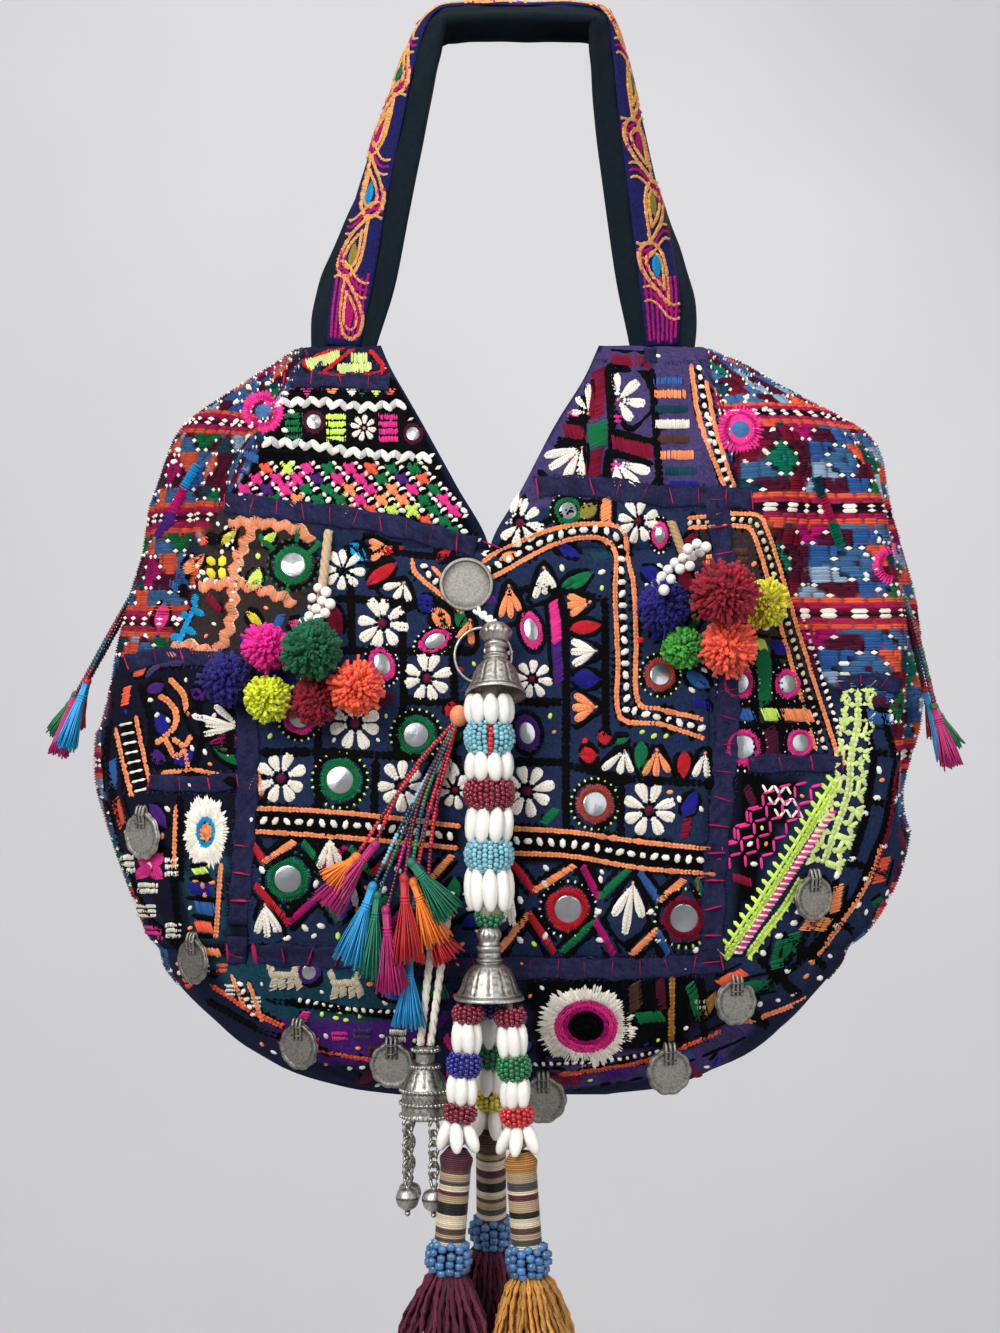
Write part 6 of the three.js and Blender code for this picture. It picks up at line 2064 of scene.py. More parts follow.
BLACK_LINES = [
    [(505, 595), (540, 585), (556, 592), (566, 610), (566, 800)], [(515, 702), (560, 702)],
    [(515, 762), (566, 762)],
    [(566, 765), (620, 778), (712, 784)], [(566, 590), (605, 600), (606, 735)], [(621, 785), (621, 835)],
    [(566, 790), (566, 828)],
    [(350, 552), (352, 650)], [(335, 598), (440, 604)], [(322, 650), (470, 652)],
    [(402, 605), (404, 700), (396, 756)],
    [(262, 752), (330, 752), (460, 760)], [(318, 700), (318, 806)], [(376, 760), (374, 812)],
    [(322, 600), (322, 700)],
    [(405, 700), (462, 704)], [(440, 610), (452, 652), (455, 700)], [(500, 545), (560, 515), (600, 500)],
    [(345, 548), (470, 560)],
    [(302, 410), (302, 442)], [(324, 410), (324, 444)], [(348, 410), (348, 446)], [(378, 410), (378, 450)],
    [(400, 410), (402, 452)],
    [(584, 365), (582, 428)], [(612, 372), (612, 432)], [(610, 448), (606, 486)], [(582, 444), (578, 486)],
    [(545, 418), (582, 422)],
    [(612, 432), (652, 442)], [(544, 438), (582, 444)], [(612, 452), (650, 464)], [(652, 372), (660, 486)],
    [(754, 640), (756, 762)],
    [(724, 704), (816, 704)], [(724, 726), (820, 727)], [(778, 660), (784, 762)],
    [(196, 690), (204, 735), (196, 762)], [(150, 760), (236, 784)],
    [(180, 796), (180, 880)], [(136, 845), (170, 850), (180, 940)], [(838, 880), (800, 945), (770, 980)],
    [(850, 900), (812, 960)],
    [(700, 975), (704, 1040)], [(626, 975), (626, 1044)], [(270, 1000), (420, 1020)],
    [(862, 702), (874, 760), (866, 816), (850, 866)],
    [(880, 706), (896, 760), (884, 830), (856, 896), (800, 962), (752, 1000)],
    [(760, 962), (806, 1000)], [(786, 936), (832, 972)], [(812, 904), (852, 930)], [(850, 862), (884, 872)],
    [(866, 800), (900, 806)],
    [(874, 752), (904, 756)], [(736, 1000), (772, 1030)], [(104, 800), (122, 860), (150, 920), (196, 962)],
    [(112, 700), (106, 760), (118, 820)],
    [(140, 684), (152, 720), (150, 764)], [(206, 1000), (260, 1030), (340, 1056)],
]
ZIGZAGS = table("tints points", [
    (("red", "orange"), [(510, 861), (534, 891), (574, 866)]),
    (("magenta", "green"), [(583, 867), (599, 898), (628, 870)]),
    (("blue", "orange"), [(639, 872), (659, 901), (684, 880)]), (("green",), [(696, 879), (708, 906)]),
    (("orange", "red"), [(498, 952), (529, 914), (554, 952)]),
    (("green", "magenta"), [(562, 952), (595, 921), (614, 954)]),
    (("orange", "blue"), [(632, 954), (657, 930), (668, 954)]),
    (("red", "orange"), [(249, 839), (264, 862), (294, 842)]),
    (("green", "magenta"), [(304, 843), (322, 866), (345, 848)]),
    (("red", "magenta"), [(256, 886), (288, 923), (322, 893)]),
    (("green", "blue"), [(322, 895), (338, 920), (356, 896)]),
    (("green", "red"), [(350, 848), (372, 874), (398, 850)]),
    (("orange", "magenta"), [(356, 908), (380, 938), (404, 910)]),
    (("blue", "orange"), [(405, 852), (430, 880), (452, 856)]),
    (("green", "red"), [(410, 912), (432, 940), (452, 915)]),
])
TAPES = table("width path", [
    (7.5, [(284, 380), (340, 380), (396, 385)]), (10.0, [(226, 503), (300, 512), (380, 523), (482, 549)]),
    (10.0, [(492, 545), (512, 496), (575, 486), (660, 496), (722, 497), (752, 500)]),
    (10.0, [(244, 655), (248, 760), (243, 860), (236, 955)]),
    (11.0, [(716, 500), (728, 600), (728, 700), (722, 800), (714, 880), (712, 962)]),
    (10.0, [(228, 952), (340, 958), (440, 966), (560, 968), (640, 968), (722, 962)]),
    (8.5, [(748, 764), (800, 763), (842, 764)]), (7.0, [(588, 350), (640, 356), (706, 352)]),
    (8.0, [(128, 664), (160, 656), (196, 658), (240, 662)]), (7.0, [(838, 684), (872, 680), (905, 690)]),
    (8.0, [(150, 782), (200, 784), (240, 780)]),
])
KNOTS = table("tint size places", [
    ("white", 3.2, [(262, 919), (276, 929), (287, 938), (305, 928), (321, 926), (262, 870), (262, 890),
     (316, 884), (520, 900), (545, 884), (545, 936), (600, 880), (598, 912), (600, 940), (650, 912),
     (658, 940), (520, 940), (696, 950), (384, 890), (398, 870), (420, 900)]),
    ("white", 3.4, [(779, 936), (763, 953), (787, 971), (794, 923), (837, 875), (852, 859), (835, 925),
     (817, 954), (820, 978), (891, 718), (879, 770), (865, 813), (877, 798), (900, 742), (895, 800),
     (865, 879), (846, 965), (794, 993), (884, 846), (760, 1004), (858, 905)]),
    ("white", 2.6, [(214, 716), (205, 752), (219, 700), (230, 756), (192, 748), (157, 715), (168, 720),
     (150, 700), (222, 688), (236, 700)]),
    ("yellow", 4.6, [(211, 561), (222, 561), (211, 573), (222, 573)]),
    ("white", 2.4, [(228, 545), (234, 549), (222, 552), (206, 580), (216, 582), (228, 580)]),
    ("neon", 2.4, [(330, 1008), (340, 1012), (350, 1009), (336, 1018), (346, 1020), (360, 1016),
     (322, 1014)]),
    ("orange", 3.0, [(196, 880), (203, 886), (212, 882), (205, 895)]),
    ("red", 3.4, [(585, 742), (640, 640), (460, 670)]),
])
V_EDGES = [
    [(378, 350), (396, 388), (412, 422), (440, 470), (482, 546)],
    [(606, 350), (582, 388), (560, 420), (540, 450), (500, 512), (487, 548)],
]
RICKRACKS = [
    [(230, 524), (256, 522), (300, 530), (309, 541)], [(254, 526), (240, 554), (231, 584)],
    [(200, 586), (240, 584), (284, 598), (292, 604)],
    [(234, 588), (230, 625), (216, 654)], [(168, 654), (186, 645), (213, 654)],
]
ROSETTES = [(740, 430, 25), (893, 565, 22), (263, 412, 22), (160, 450, 14)]
BRAIDS = [[(280, 403), (320, 402), (360, 407), (407, 404)], [(268, 442), (310, 445), (358, 453), (433, 458)]]
BRAID_WIDE = 6.6
BRAID_TINTS = ["white", "silver_thread", "white", "bone", "silver_thread"]
FIGURES = [(285, 975), (346, 983)]  # stepped light shapes on the teal band
FIGURE_BARS = [  # a bar's two ends beside the figure's place
    (-14, 0, 14, 0), (-10, 4, -12, 14), (-3, 4, -3, 13), (6, 4, 6, 13), (12, 2, 15, 13), (-13, -3, -16, -12),
    (9, -3, 13, -11),
]
FLAP_BARS = table("ax ay bx by width", [
    (308, 365, 344, 354, 7.5), (338, 369, 370, 368, 6.5), (352, 358, 366, 358, 6),
])
FLAP_EDGE = [(300, 356), (330, 346), (364, 339), (383, 370)]
FLAP_POINTS = table("px tint", [
    (287, "coral"), (307, "pink"), (332, "orange"), (352, "white"), (362, "green"), (376, "neon"),
    (390, "coral"),
])
FLAP_POINT = SimpleNamespace(half=8, top=388, tip=398)
CROSS_AREA = [(250, 461), (400, 458), (430, 470), (476, 540), (400, 520), (300, 506), (234, 500)]
CROSS_SPACING = 21
CROSS_TINTS = ["neon", "coral", "pink", "orange", "green", "purple", "pink"]
SPOKE_HUB = np.array([293, 565])
SPOKES = np.array([(-24, -20), (-29, 14), (-6, 26), (4, -26), (20, -16)])
SKY_LEAVES = np.array([  # start, and step to the tip
    (181, 636, -12, 2), (184, 628, 13, 6), (190, 616, -13, -2), (193, 610, 12, 5), (196, 605, -2, -12),
])
FANS = table("place wide high eye tints", [
    ((206, 832), 24, 40, 0.34, ("sky", "orange")),
    ((586, 1026), 52, 43, 0.58, ("pink", "pink", "magenta", "black", "black", "black")),
])
PINK_SQUARE = SimpleNamespace(px=150, py=866, reach=14)
LADDER = [(126, 724), (133, 758), (141, 790)]
LONG_COMB = SimpleNamespace(path=[(837, 785), (800, 846), (762, 906), (726, 957)], tooth=7.4)
SHORT_COMB = SimpleNamespace(path=[(748, 954), (784, 906), (800, 880)], tooth=4.0)
STRIPED_CORD = [(832, 812), (784, 884), (738, 952)]
STAR_LACE = [(858, 690), (858, 723), (851, 756), (849, 790), (838, 823), (824, 862)]
SAW_ROWS = table("tint run count starts", [
    ("pink", (-62, 86), 10, [(824, 784), (808, 782), (792, 784), (776, 790), (760, 806)]),
    ("white", (30, 2), 5, [(762, 784), (768, 796), (774, 808)]),
])
FILL_TINTS = ["royal", "coral", "green", "maroon", "blue", "orange", "pink", "wine", "purple", "teal"]
FILL_KNOTS = ["white", "white", "royal", "neon", "orange"]
OUTLINE_WIDE = 3.2
DAISY_PETALS = 8
HALF_PETAL = 0.84  # the width of a half flower's petals beside the charted one


def along_edge(n, path, colours):
    """Whipped stitches over an edge, in turns of colour."""
    for i, colour in enumerate(colours):
        points, ahead = along_line(path, 3.4 / n.mm * len(colours))
        points = points + ahead * (3.4 / n.mm * i)
        out = side_of(ahead) * (2.4 / n.mm)
        n.stitch(points - out, points + out, width=2.4, tint=colour, height=1.0)


def rope(n, path, light, wide):
    """A black cord with light knots on it and black stitches between them."""
    path = smooth_line(path, 4)
    n.line(path, "black", wide * 1.2, step=3.0, height=0.5)
    points, ahead = along_line(path, 0.6 * wide / n.mm)
    out = side_of(ahead[1::2]) * (0.5 * wide / n.mm)
    n.knot(points[::2], light, 0.74 * wide, height=1.1)
    n.stitch(points[1::2] - out, points[1::2] + out, 0.5 * wide, "black", height=1.2)


def braid(n, path, wide):
    """A pale twisted lace: plump loops that lean in turns, between two thin cords."""
    points, ahead = along_line(smooth_line(path, 4), 0.5 * wide / n.mm)
    for i, (point, forward) in enumerate(zip(points, ahead)):
        lean = 0.45 * forward + (0.42 if i % 2 else -0.42) * side_of(forward)
        lean, tint = lean * wide / n.mm, BRAID_TINTS[i % len(BRAID_TINTS)]
        n.pad(point - lean, point + lean, 0.6 * wide, tint, height=1.3)
    for sign in (-1, 1):
        n.line(points + sign * side_of(ahead) * (0.62 * wide / n.mm), "black", width=2.2, step=3.4,
               height=0.7)


def rickrack(n, path, width=6.2, wave=7.0):
    """A wavy braid with a line of light stitches on it."""
    points, ahead = along_line(smooth_line(path, 6), 1.3 / n.mm)
    swing = np.sin(np.arange(len(points)) * 1.3 * 2 * np.pi / wave)[:, None]
    middle = points + side_of(ahead) * swing * (1.0 / n.mm)
    out = side_of(ahead) * (width / 2 / n.mm)
    n.stitch(middle - out, middle + out, width=2.5, tint="tan", height=1.1)
    n.stitch(middle[:-1] - 0.72 * out[:-1], middle[1:] - 0.72 * out[1:], width=0.9, tint="cream", height=1.5)
    n.stitch(middle[:-1] + 0.72 * out[:-1], middle[1:] + 0.72 * out[1:], width=0.9, tint="coral", height=1.5)


def crosses(n, corners, spacing, tints):
    """A lattice of plump crosses on black, with white stitches and knots between them."""
    corners = np.asarray(corners, float)
    low, high = corners.min(axis=0), corners.max(axis=0)
    reach = 0.27 * spacing
    for j, y in enumerate(np.arange(low[1], high[1], spacing / 2)):
        for x in np.arange(low[0] + (j % 2) * spacing / 2, high[0], spacing):
            x, tilt, tint = x + rng.normal(0, 1.0), rng.uniform(0.5, 1.0), tints[rng.integers(len(tints))]
            if not within((x, y), corners):
                continue
            n.bar((x - reach, y - tilt * reach), (x + reach, y + tilt * reach), width=3.4, tint=tint,
                  step=1.3, height=1.0, lean=0.0)
            n.bar((x - tilt * reach, y + reach), (x + tilt * reach, y - reach), width=3.4, tint=tint,
                  step=1.3, height=1.2, lean=0.0)
            n.knot([(x + spacing / 2, y)], "white", size=2.9, height=1.2)
            n.knot([(x + 0.02 * spacing, y - 0.42 * spacing)], "black", size=3.0, height=1.2)
            n.knot([(x + 0.3 * spacing, y - 0.25 * spacing)], "white", size=2.0, height=1.2)


def within(place, corners):
    inside = False
    for a, b in zip(corners, np.roll(corners, -1, axis=0)):
        if (a[1] > place[1]) != (b[1] > place[1]):
            if place[0] < a[0] + (b[0] - a[0]) * (place[1] - a[1]) / (b[1] - a[1]):
                inside = not inside
    return inside


def block(n, row):
    """A stack of satin bars."""
    for i in range(row.rows):
        level = row.py - row.high / 2 + (i + 0.5) * row.high / row.rows
        left, right = row.px - row.wide / 2, row.px + row.wide / 2
        n.bar((left, level), (right, level), row.high / row.rows * n.mm * 0.9, row.tint, step=1.0,
              height=1.0, lean=0.0)


def fan(n, place, wide, high, eye, tints):
    """A light disc of long radial stitches round rings of chain stitch; tints run inwards."""
    place = np.asarray(place, float)
    count = int(2.2 * (wide + high) * n.mm)
    turn = np.linspace(0, 2 * np.pi, count, endpoint=False)
    ray = circle(turn) * [wide, high]
    ends = rng.uniform(0.86, 1.05, (count, 1))
    n.stitch(place + ray * eye, place + ray * ends, width=2.0, tint="white", height=0.8)
    n.stitch(place + ray * eye, place + np.roll(ray, 1, axis=0) * ends * 0.82, width=1.8, tint="white",
             height=1.2)
    ring = np.concatenate([ray, ray[:1]])
    for i, tint in enumerate(tints):
        n.chain(place + ring * eye * (1 - i / len(tints)), tint, width=3.0, link=1.9, height=1.2)
    n.knot([place], tints[-1], size=4.0, height=1.4)


def pink_square(n, px, py, reach):
    """Four pink wedges round a white middle."""
    for i in range(4):
        angle = math.pi / 4 + i * math.pi / 2
        tip = (px + 1.25 * reach * math.cos(angle), py + 1.25 * reach * math.sin(angle))
        n.leaf((px, py), tip, width=7.0, tint="pink", outline=None)
    n.knot([(px, py)], "white", size=4.4, height=1.4)


def comb_lace(n, path, tooth):
    """A neon chain with long teeth on one side."""
    n.chain(path, "neon", width=5.0, link=2.2, height=1.3)
    points, ahead = along_line(path, 4.8 / n.mm)
    out = side_of(ahead)
    tips = points + out * (tooth / n.mm) - ahead * (1.6 / n.mm)
    n.stitch(points, tips, width=2.7, tint="neon", height=1.4)
    n.line(points + out * (0.35 * tooth / n.mm), "neon", width=2.2, step=3.4, height=1.2)


def striped_cord(n, path, tints, wide):
    """Slanted stitches of two colours in turn over a line."""
    points, ahead = along_line(path, 1.5 / n.mm)
    out = side_of(ahead) * (wide / 2 / n.mm) + ahead * (0.3 * wide / n.mm)
    for i, tint in enumerate(tints):
        n.stitch((points - out)[i :: len(tints)], (points + out)[i :: len(tints)], width=1.9, tint=tint,
                 height=1.5)


def star_lace(n, path, reach):
    """A pale open lace: a thick chain with spiky cross pieces, joined here and there at its edges."""
    n.chain(path, "pistachio", width=5.6, link=2.4, height=1.3)
    points, ahead = along_line(path, 6.8 / n.mm)
    for sign in (-1, 1):
        out = sign * side_of(ahead) * (reach / n.mm) * rng.uniform(0.75, 1.1, (len(points), 1))
        spur = points + 0.55 * out + ahead * rng.normal(0, 0.9 / n.mm, (len(points), 1))
        n.stitch(points, points + 0.8 * out, width=3.9, tint="pistachio", height=1.5)
        n.stitch(spur[:-1:2], spur[1::2][: len(spur[:-1:2])], width=3.0, tint="pistachio", height=1.3)
        for lean in (-4.0, -1.6, 1.6, 4.0):
            n.stitch(spur, spur + 0.5 * out + ahead * (lean / n.mm), width=2.5, tint="pistachio", height=1.3)


def saw_rows(n, starts, run, count, tint):
    """Rows of sharp zigzags, each starting at a place and running along one direction."""
    run = np.asarray(run, float)
    aside = side_of(unit(run)) * 9.0
    for start in starts:
        points = [np.asarray(start) + run * k / count + (aside if k % 2 else 0) for k in range(count + 1)]
        n.stitch(points[:-1], points[1:], width=1.7, tint=tint, height=1.0)


def rosette(n, px, py, radius):
    """A padded pink ring of close rays round a blue cushion, with white knots about it."""
    turn = np.linspace(0, 2 * np.pi, 37)[:-1]
    ray = circle(turn) * radius
    place = np.array([px, py], float)
    across = np.array([radius, 0.0])
    n.pad(place - 0.95 * across, place + 0.95 * across, 1.9 * radius * n.mm, "pink", height=1.2)
    n.stitch(place + 0.45 * ray, place + ray * rng.uniform(0.94, 1.08, (36, 1)), width=2.3, tint="pink",
             height=1.7)
    n.chain(place + 0.62 * np.concatenate([ray, ray[:1]]), "magenta", width=2.4, link=1.9, height=1.9)
    n.pad(place - 0.48 * across, place + 0.48 * across, 0.96 * radius * n.mm, "steel", height=2.2)
    n.stitch(place - 0.42 * ray[:18:2], place + 0.42 * ray[:18:2], width=2.4, tint="steel", height=2.0)
    n.knot(place + 1.3 * ray[::4], "white", size=3.0, height=1.2)


def figure(n, px, py):
    """A light stepped shape: a body bar, four short legs and a knob."""
    for ax, ay, bx, by in FIGURE_BARS:
        n.bar((px + ax, py + ay), (px + bx, py + by), width=4.0, tint="cream")


def gap_fill(n, corners):
    """Small motifs, outlined in black, in the gaps that the charted ones leave: the largest first."""
    size = 4.0
    low, high = np.min(corners, axis=0), np.max(corners, axis=0)
    taken = np.zeros(np.ceil((high - low) / size).astype(int) + 1, bool)

    def mark(places, reach):
        cells = np.floor((places - low) / size).astype(int)
        cells = cells[np.all((cells >= 0) & (cells < taken.shape), axis=1)]
        for i, j in cells:
            taken[max(i - reach, 0) : i + reach + 1, max(j - reach, 0) : j + reach + 1] = True

    for start, end, *_ in n.stitches:
        for share in (0, 0.5, 1):
            mark(start + (end - start) * share, 0)
    for places, *_ in n.knots:
        mark(places, 0)
    for place, radius, *_ in n.discs:
        mark(place[None], math.ceil(radius / size))
    for reach, make in ((3, fill_large), (2, fill_middle), (1, fill_small)):
        columns, rows = (range(reach, length - reach) for length in taken.shape)
        places = [(i, j) for i in columns for j in rows]
        rng.shuffle(places)
        for i, j in places:
            if taken[i - reach : i + reach + 1, j - reach : j + reach + 1].any():
                continue
            place = low + (np.array([i, j]) + 0.5) * size
            if within(place, corners):
                make(n, place, size * (reach + 0.4))
                mark(place[None], reach)


def fill_large(n, place, reach):
    ray = reach * np.array([math.cos(place[0]), math.sin(place[0])])
    tint = FILL_TINTS[rng.integers(len(FILL_TINTS))]
    n.leaf(place - ray, place + ray, 1.1 * reach * n.mm, tint)
    for sign in (-1, 1):
        n.knot([place + sign * 0.85 * reach * side_of(unit(ray))], "white", size=2.8)


def fill_middle(n, place, reach):
    ray = 0.9 * reach * np.array([math.cos(place[1]), math.sin(place[1])])
    n.line([place - 1.1 * ray, place + 1.1 * ray], "black", 1.6 * reach * n.mm, step=4.0, height=0.4)
    n.bar(place - ray, place + ray, reach * n.mm, FILL_TINTS[rng.integers(len(FILL_TINTS))], step=1.3)


def fill_small(n, place, _):
    if rng.uniform() < 0.7:
        n.knot([place], FILL_KNOTS[rng.integers(len(FILL_KNOTS))], rng.uniform(1.8, 2.9))


FRONT_OUTLINE = np.array([
    (300, 352), (382, 350), (486, 552), (606, 350), (704, 352), (740, 500), (800, 660), (900, 700),
    (906, 850), (884, 926), (834, 1006),
    (760, 1060), (600, 1096), (420, 1088), (270, 1052), (186, 990), (124, 914), (92, 800), (104, 740),
    (130, 662), (226, 505),
], float)
BACK_SWAP = {"orange": "coral", "white": "cream", "red": "magenta", "pink": "orange", "green": "blue",
             "neon": "yellow"}
COARSE_STITCH = 2.2  # stitches on the back are this much longer


def hull_of(points):
    """The corners of the convex outline round flat points, in order."""
    points = sorted({(float(x), float(y)) for x, y in points})
    turn = lambda a, b, c: (b[0] - a[0]) * (c[1] - a[1]) - (b[1] - a[1]) * (c[0] - a[0])
    corners = []
    for line in (points, points[::-1]):
        half = []
        for point in line:
            while len(half) > 1 and turn(half[-2], half[-1], point) <= 0:
                half.pop()
            half.append(point)
        corners += half[:-1]
    return np.array(corners)


def outline(n, points, off):
    """A black cord round some points, off millimetres away from them."""
    turn = np.linspace(0, 2 * np.pi, 9)[:-1]
    round_each = circle(turn) * (off / n.mm)
    corners = hull_of([np.asarray(point) + step for point in points for step in round_each])
    n.line(np.concatenate([corners, corners[:1]]), "black", OUTLINE_WIDE, step=4.0, height=0.8)


WRAPPED_WIDE, WRAPPED_HIGH = 5.6, 3.4
WRAPPED_CORDS = table("tint ax ay bx by", [
    ("sky", 197, 466, 184, 488), ("magenta", 184, 488, 173, 514), ("purple", 173, 514, 155, 540),
    ("orange", 155, 540, 149, 550), ("teal", 815, 478, 822, 498), ("crimson", 822, 498, 832, 522),
    ("emerald", 832, 522, 841, 546),
])


def chart_rows(n):
    """All motifs that the tables list."""
    for row in TAPES:
        n.tape(row.path, row.width, "band")
    for path in BLACK_LINES:
        n.chain(path, "black", width=6.4, link=2.8, height=1.2)
    for row in DAISIES:
        n.daisy((row.px, row.py), row.radius, DAISY_PETALS, "white", row.heart)
    for row in MIRRORS:
        n.mirror((row.px, row.py), row.radius, row.tint, row.squash, row.tilt, row.lash)
    for row in LEAVES:
        n.leaf((row.ax, row.ay), (row.bx, row.by), row.width, row.tint)
    for row in HALF_FLOWERS:
        n.petals((row.px, row.py), row.tips, HALF_PETAL * row.width, row.tint)
        outline(n, [(row.px, row.py), *row.tips], 0.5 * row.width + 0.4)
    for row in ROPES:
        rope(n, row.path, row.light, row.wide)
    for row in CHAINS:
        line = smooth_line(row.path, 4)
        n.line(line, "black", width=row.width + 3.6, step=3.4, height=0.25)
        n.chain(line, row.tint, row.width, height=1.2)
    for row in BARS:
        n.edged_bar((row.ax, row.ay), (row.bx, row.by), row.width, row.tint)
    for row in BLOCKS:
        block(n, row)
    for row in ZIGZAGS:
        n.zigzag(row.points, row.tints)
    for row in KNOTS:
        n.knot(row.places, row.tint, row.size)


def patchwork(name, chart, slot, swap=None, coarse=1.0):
    """All charted patches on one face of the bag."""
    n = Needle(name, chart, PIXEL, slot, swap, coarse)
    chart_rows(n)
    for row in FLAP_BARS:
        n.bar((row.ax, row.ay), (row.bx, row.by), row.width, "pistachio", step=1.2, height=1.1, lean=0.0)
    along_edge(n, FLAP_EDGE, ("orange", "maroon"))
    flap = FLAP_POINT
    for row in FLAP_POINTS:
        n.hatch([(row.px - flap.half, flap.top), (row.px + flap.half, flap.top), (row.px, flap.tip)],
                row.tint)
    crosses(n, CROSS_AREA, CROSS_SPACING, CROSS_TINTS)
    for path in RICKRACKS:
        rickrack(n, path)
    for path in BRAIDS:
        braid(n, path, BRAID_WIDE)
    for spoke in SPOKES:
        n.chain([SPOKE_HUB + 0.8 * spoke, SPOKE_HUB + 1.2 * spoke], "green", width=3.4)
        n.knot([SPOKE_HUB + 1.3 * spoke], "green", size=3.6)
    for row in SKY_LEAVES:
        n.leaf(row[:2], row[:2] + row[2:], width=4.4, tint="sky", outline=None)
    for row in FANS:
        fan(n, row.place, row.wide, row.high, row.eye, row.tints)
    pink_square(n, PINK_SQUARE.px, PINK_SQUARE.py, PINK_SQUARE.reach)
    for row in ROSETTES:
        rosette(n, *row)
    n.line(LADDER, "black", width=9.0, step=4.0, height=0.5)
    n.rungs(LADDER, "white", step=4.4, reach=8.0, width=2.0, height=1.2)
    comb_lace(n, LONG_COMB.path, LONG_COMB.tooth)
    striped_cord(n, STRIPED_CORD, ("pink", "white"), wide=4.6)
    comb_lace(n, SHORT_COMB.path, SHORT_COMB.tooth)
    star_lace(n, smooth_line(STAR_LACE, 3), reach=9.0)
    for row in SAW_ROWS:
        saw_rows(n, row.starts, row.run, row.count, row.tint)
    for px, py in FIGURES:
        figure(n, px, py)
    for row in WRAPPED_CORDS:
        n.bar((row.ax, row.ay), (row.bx, row.by), WRAPPED_WIDE, row.tint, height=WRAPPED_HIGH, lean=0.0)
    for path in V_EDGES:
        along_edge(n, path, ("black", "white"))
    gap_fill(n, FRONT_OUTLINE)
    n.sew()


# Counted-thread work on the sides, in millimetres round the half ring and down it

CELL_WIDE, CELL_HIGH = 1.45, 2.6
COUNTED_TOP = 2.0
COUNTED_LEFT, COUNTED_RIGHT = 0.24 * RING_LENGTH, 0.76 * RING_LENGTH
LATTICE = 14  # cells from one diamond to the next in the same row
DIAMOND = 4  # cells from a diamond's middle to the dots round it
LONGEST_RUN = 3  # cells under one stitch
# A white dot is one wide stitch in its cell; any other run is two stitches, one below the other
DOT = SimpleNamespace(halves=(0,), over=0.45, width=1.1, height=1.4)
RUN = SimpleNamespace(halves=(-0.25, 0.25), over=0.1, width=0.7, height=1.1)
STEEP = 0.4  # cloth that turns away from the camera more than this carries counted work all the way down
KILIM = table("rows kind", [
    (21, "diamond"), (6, "band"), (14, "diamond"), (6, "band"), (14, "diamond"), (6, "band"),
    (21, "diamond"), (6, "band"), (21, "diamond"), (6, "band"), (14, "diamond"),
])
KILIM_ROWS = [(band.kind, j) for band in KILIM for j in range(band.rows)]
DIAMOND_TINTS = ["green", "steel", "coral", "teal", "blue", "magenta", "mist", "emerald", "steel"]
FILLER_TINTS = ["wine", "steel", "blue", "maroon", "wine", "mist", "teal", "wine", "coral", "maroon", "steel"]
# Painted shade: the left side's counted threads are darkened more than the right's, as if that side were turned from
# the light
COUNTED_SIDE_SHADE = {-1: 0.55, 1: 0.78}  # counted threads of each side beside the tints' own brightness
COUNTED_FIRST = {-1: 0, 1: 5}  # where each side starts in the lists of tints
# Painted shade: the cloth under the counted stitches is darkened so that the gaps between them read as shadow
COUNTED_GAP_SHADE = 0.5  # the cloth under the stitches beside their own colour
COUNTED_AREA = {
    -1: np.array([(40, 330), (302, 330), (300, 365), (271, 428), (252, 463), (224, 504), (202, 530),
                  (198, 590), (166, 648), (110, 662),
                  (40, 662)], float),
    1: np.array([(704, 330), (716, 400), (728, 450), (744, 495), (772, 525), (798, 620), (812, 676),
                 (846, 684), (882, 692), (900, 770),
                 (980, 770), (980, 330)], float),
}


def kilim_tint(kind, i, j, first):
    """The colour of one counted cell: i runs round the ring, j down the band."""
    if kind == "band":
        dash = "white" if i % 4 < 2 else "black"
        return ("coral", "crimson", dash, dash, "crimson", "coral")[j]
    half = LATTICE // 2
    row = round(j / half)
    shift = half * (row % 2)
    column = round((i - shift) / LATTICE)
    x, y = i - shift - column * LATTICE, j - row * half
    d = abs(x) + abs(y)
    if d < DIAMOND:
        other = FILLER_TINTS[(3 * row + column + first) % len(FILLER_TINTS)]
        return other if d == 0 else DIAMOND_TINTS[(5 * row + 3 * column + first) % len(DIAMOND_TINTS)]
    if d == DIAMOND:
        return "white" if x % 2 else "black"
    quarter = 2 * (x > 0) + (y > 0)
    return FILLER_TINTS[(7 * row + 4 * column + 3 * quarter + first) % len(FILLER_TINTS)]


def pixels_of(points):
    """Pixels at which the camera, or its twin behind the bag, sees points given in metres."""
    shift = points / MM - CAMERA_PLACE * np.where(points[:, 1:2] > 0, [1, -1, 1], [1, 1, 1])
    scale = -CAMERA_PLACE[1] / np.abs(shift[:, 1]) / MM_PER_PIXEL
    return np.stack([PHOTO_SIZE[0] / 2 + shift[:, 0] * scale, PHOTO_SIZE[1] / 2 - shift[:, 2] * scale], -1)


def counted_here(side, x, points, normals):
    """Where counted work covers the cloth: the charted area, and the whole of the side that turns away."""
    inside = np.array([within(place, COUNTED_AREA[side]) for place in pixels_of(points)], bool)
    on_side = (x > FRONT_SHARE * RING_LENGTH) & (x < (1 - FRONT_SHARE) * RING_LENGTH)
    between = (x > COUNTED_LEFT) & (x < COUNTED_RIGHT)
    return between & (inside | (on_side & (np.abs(normals[:, 1]) < STEEP)))


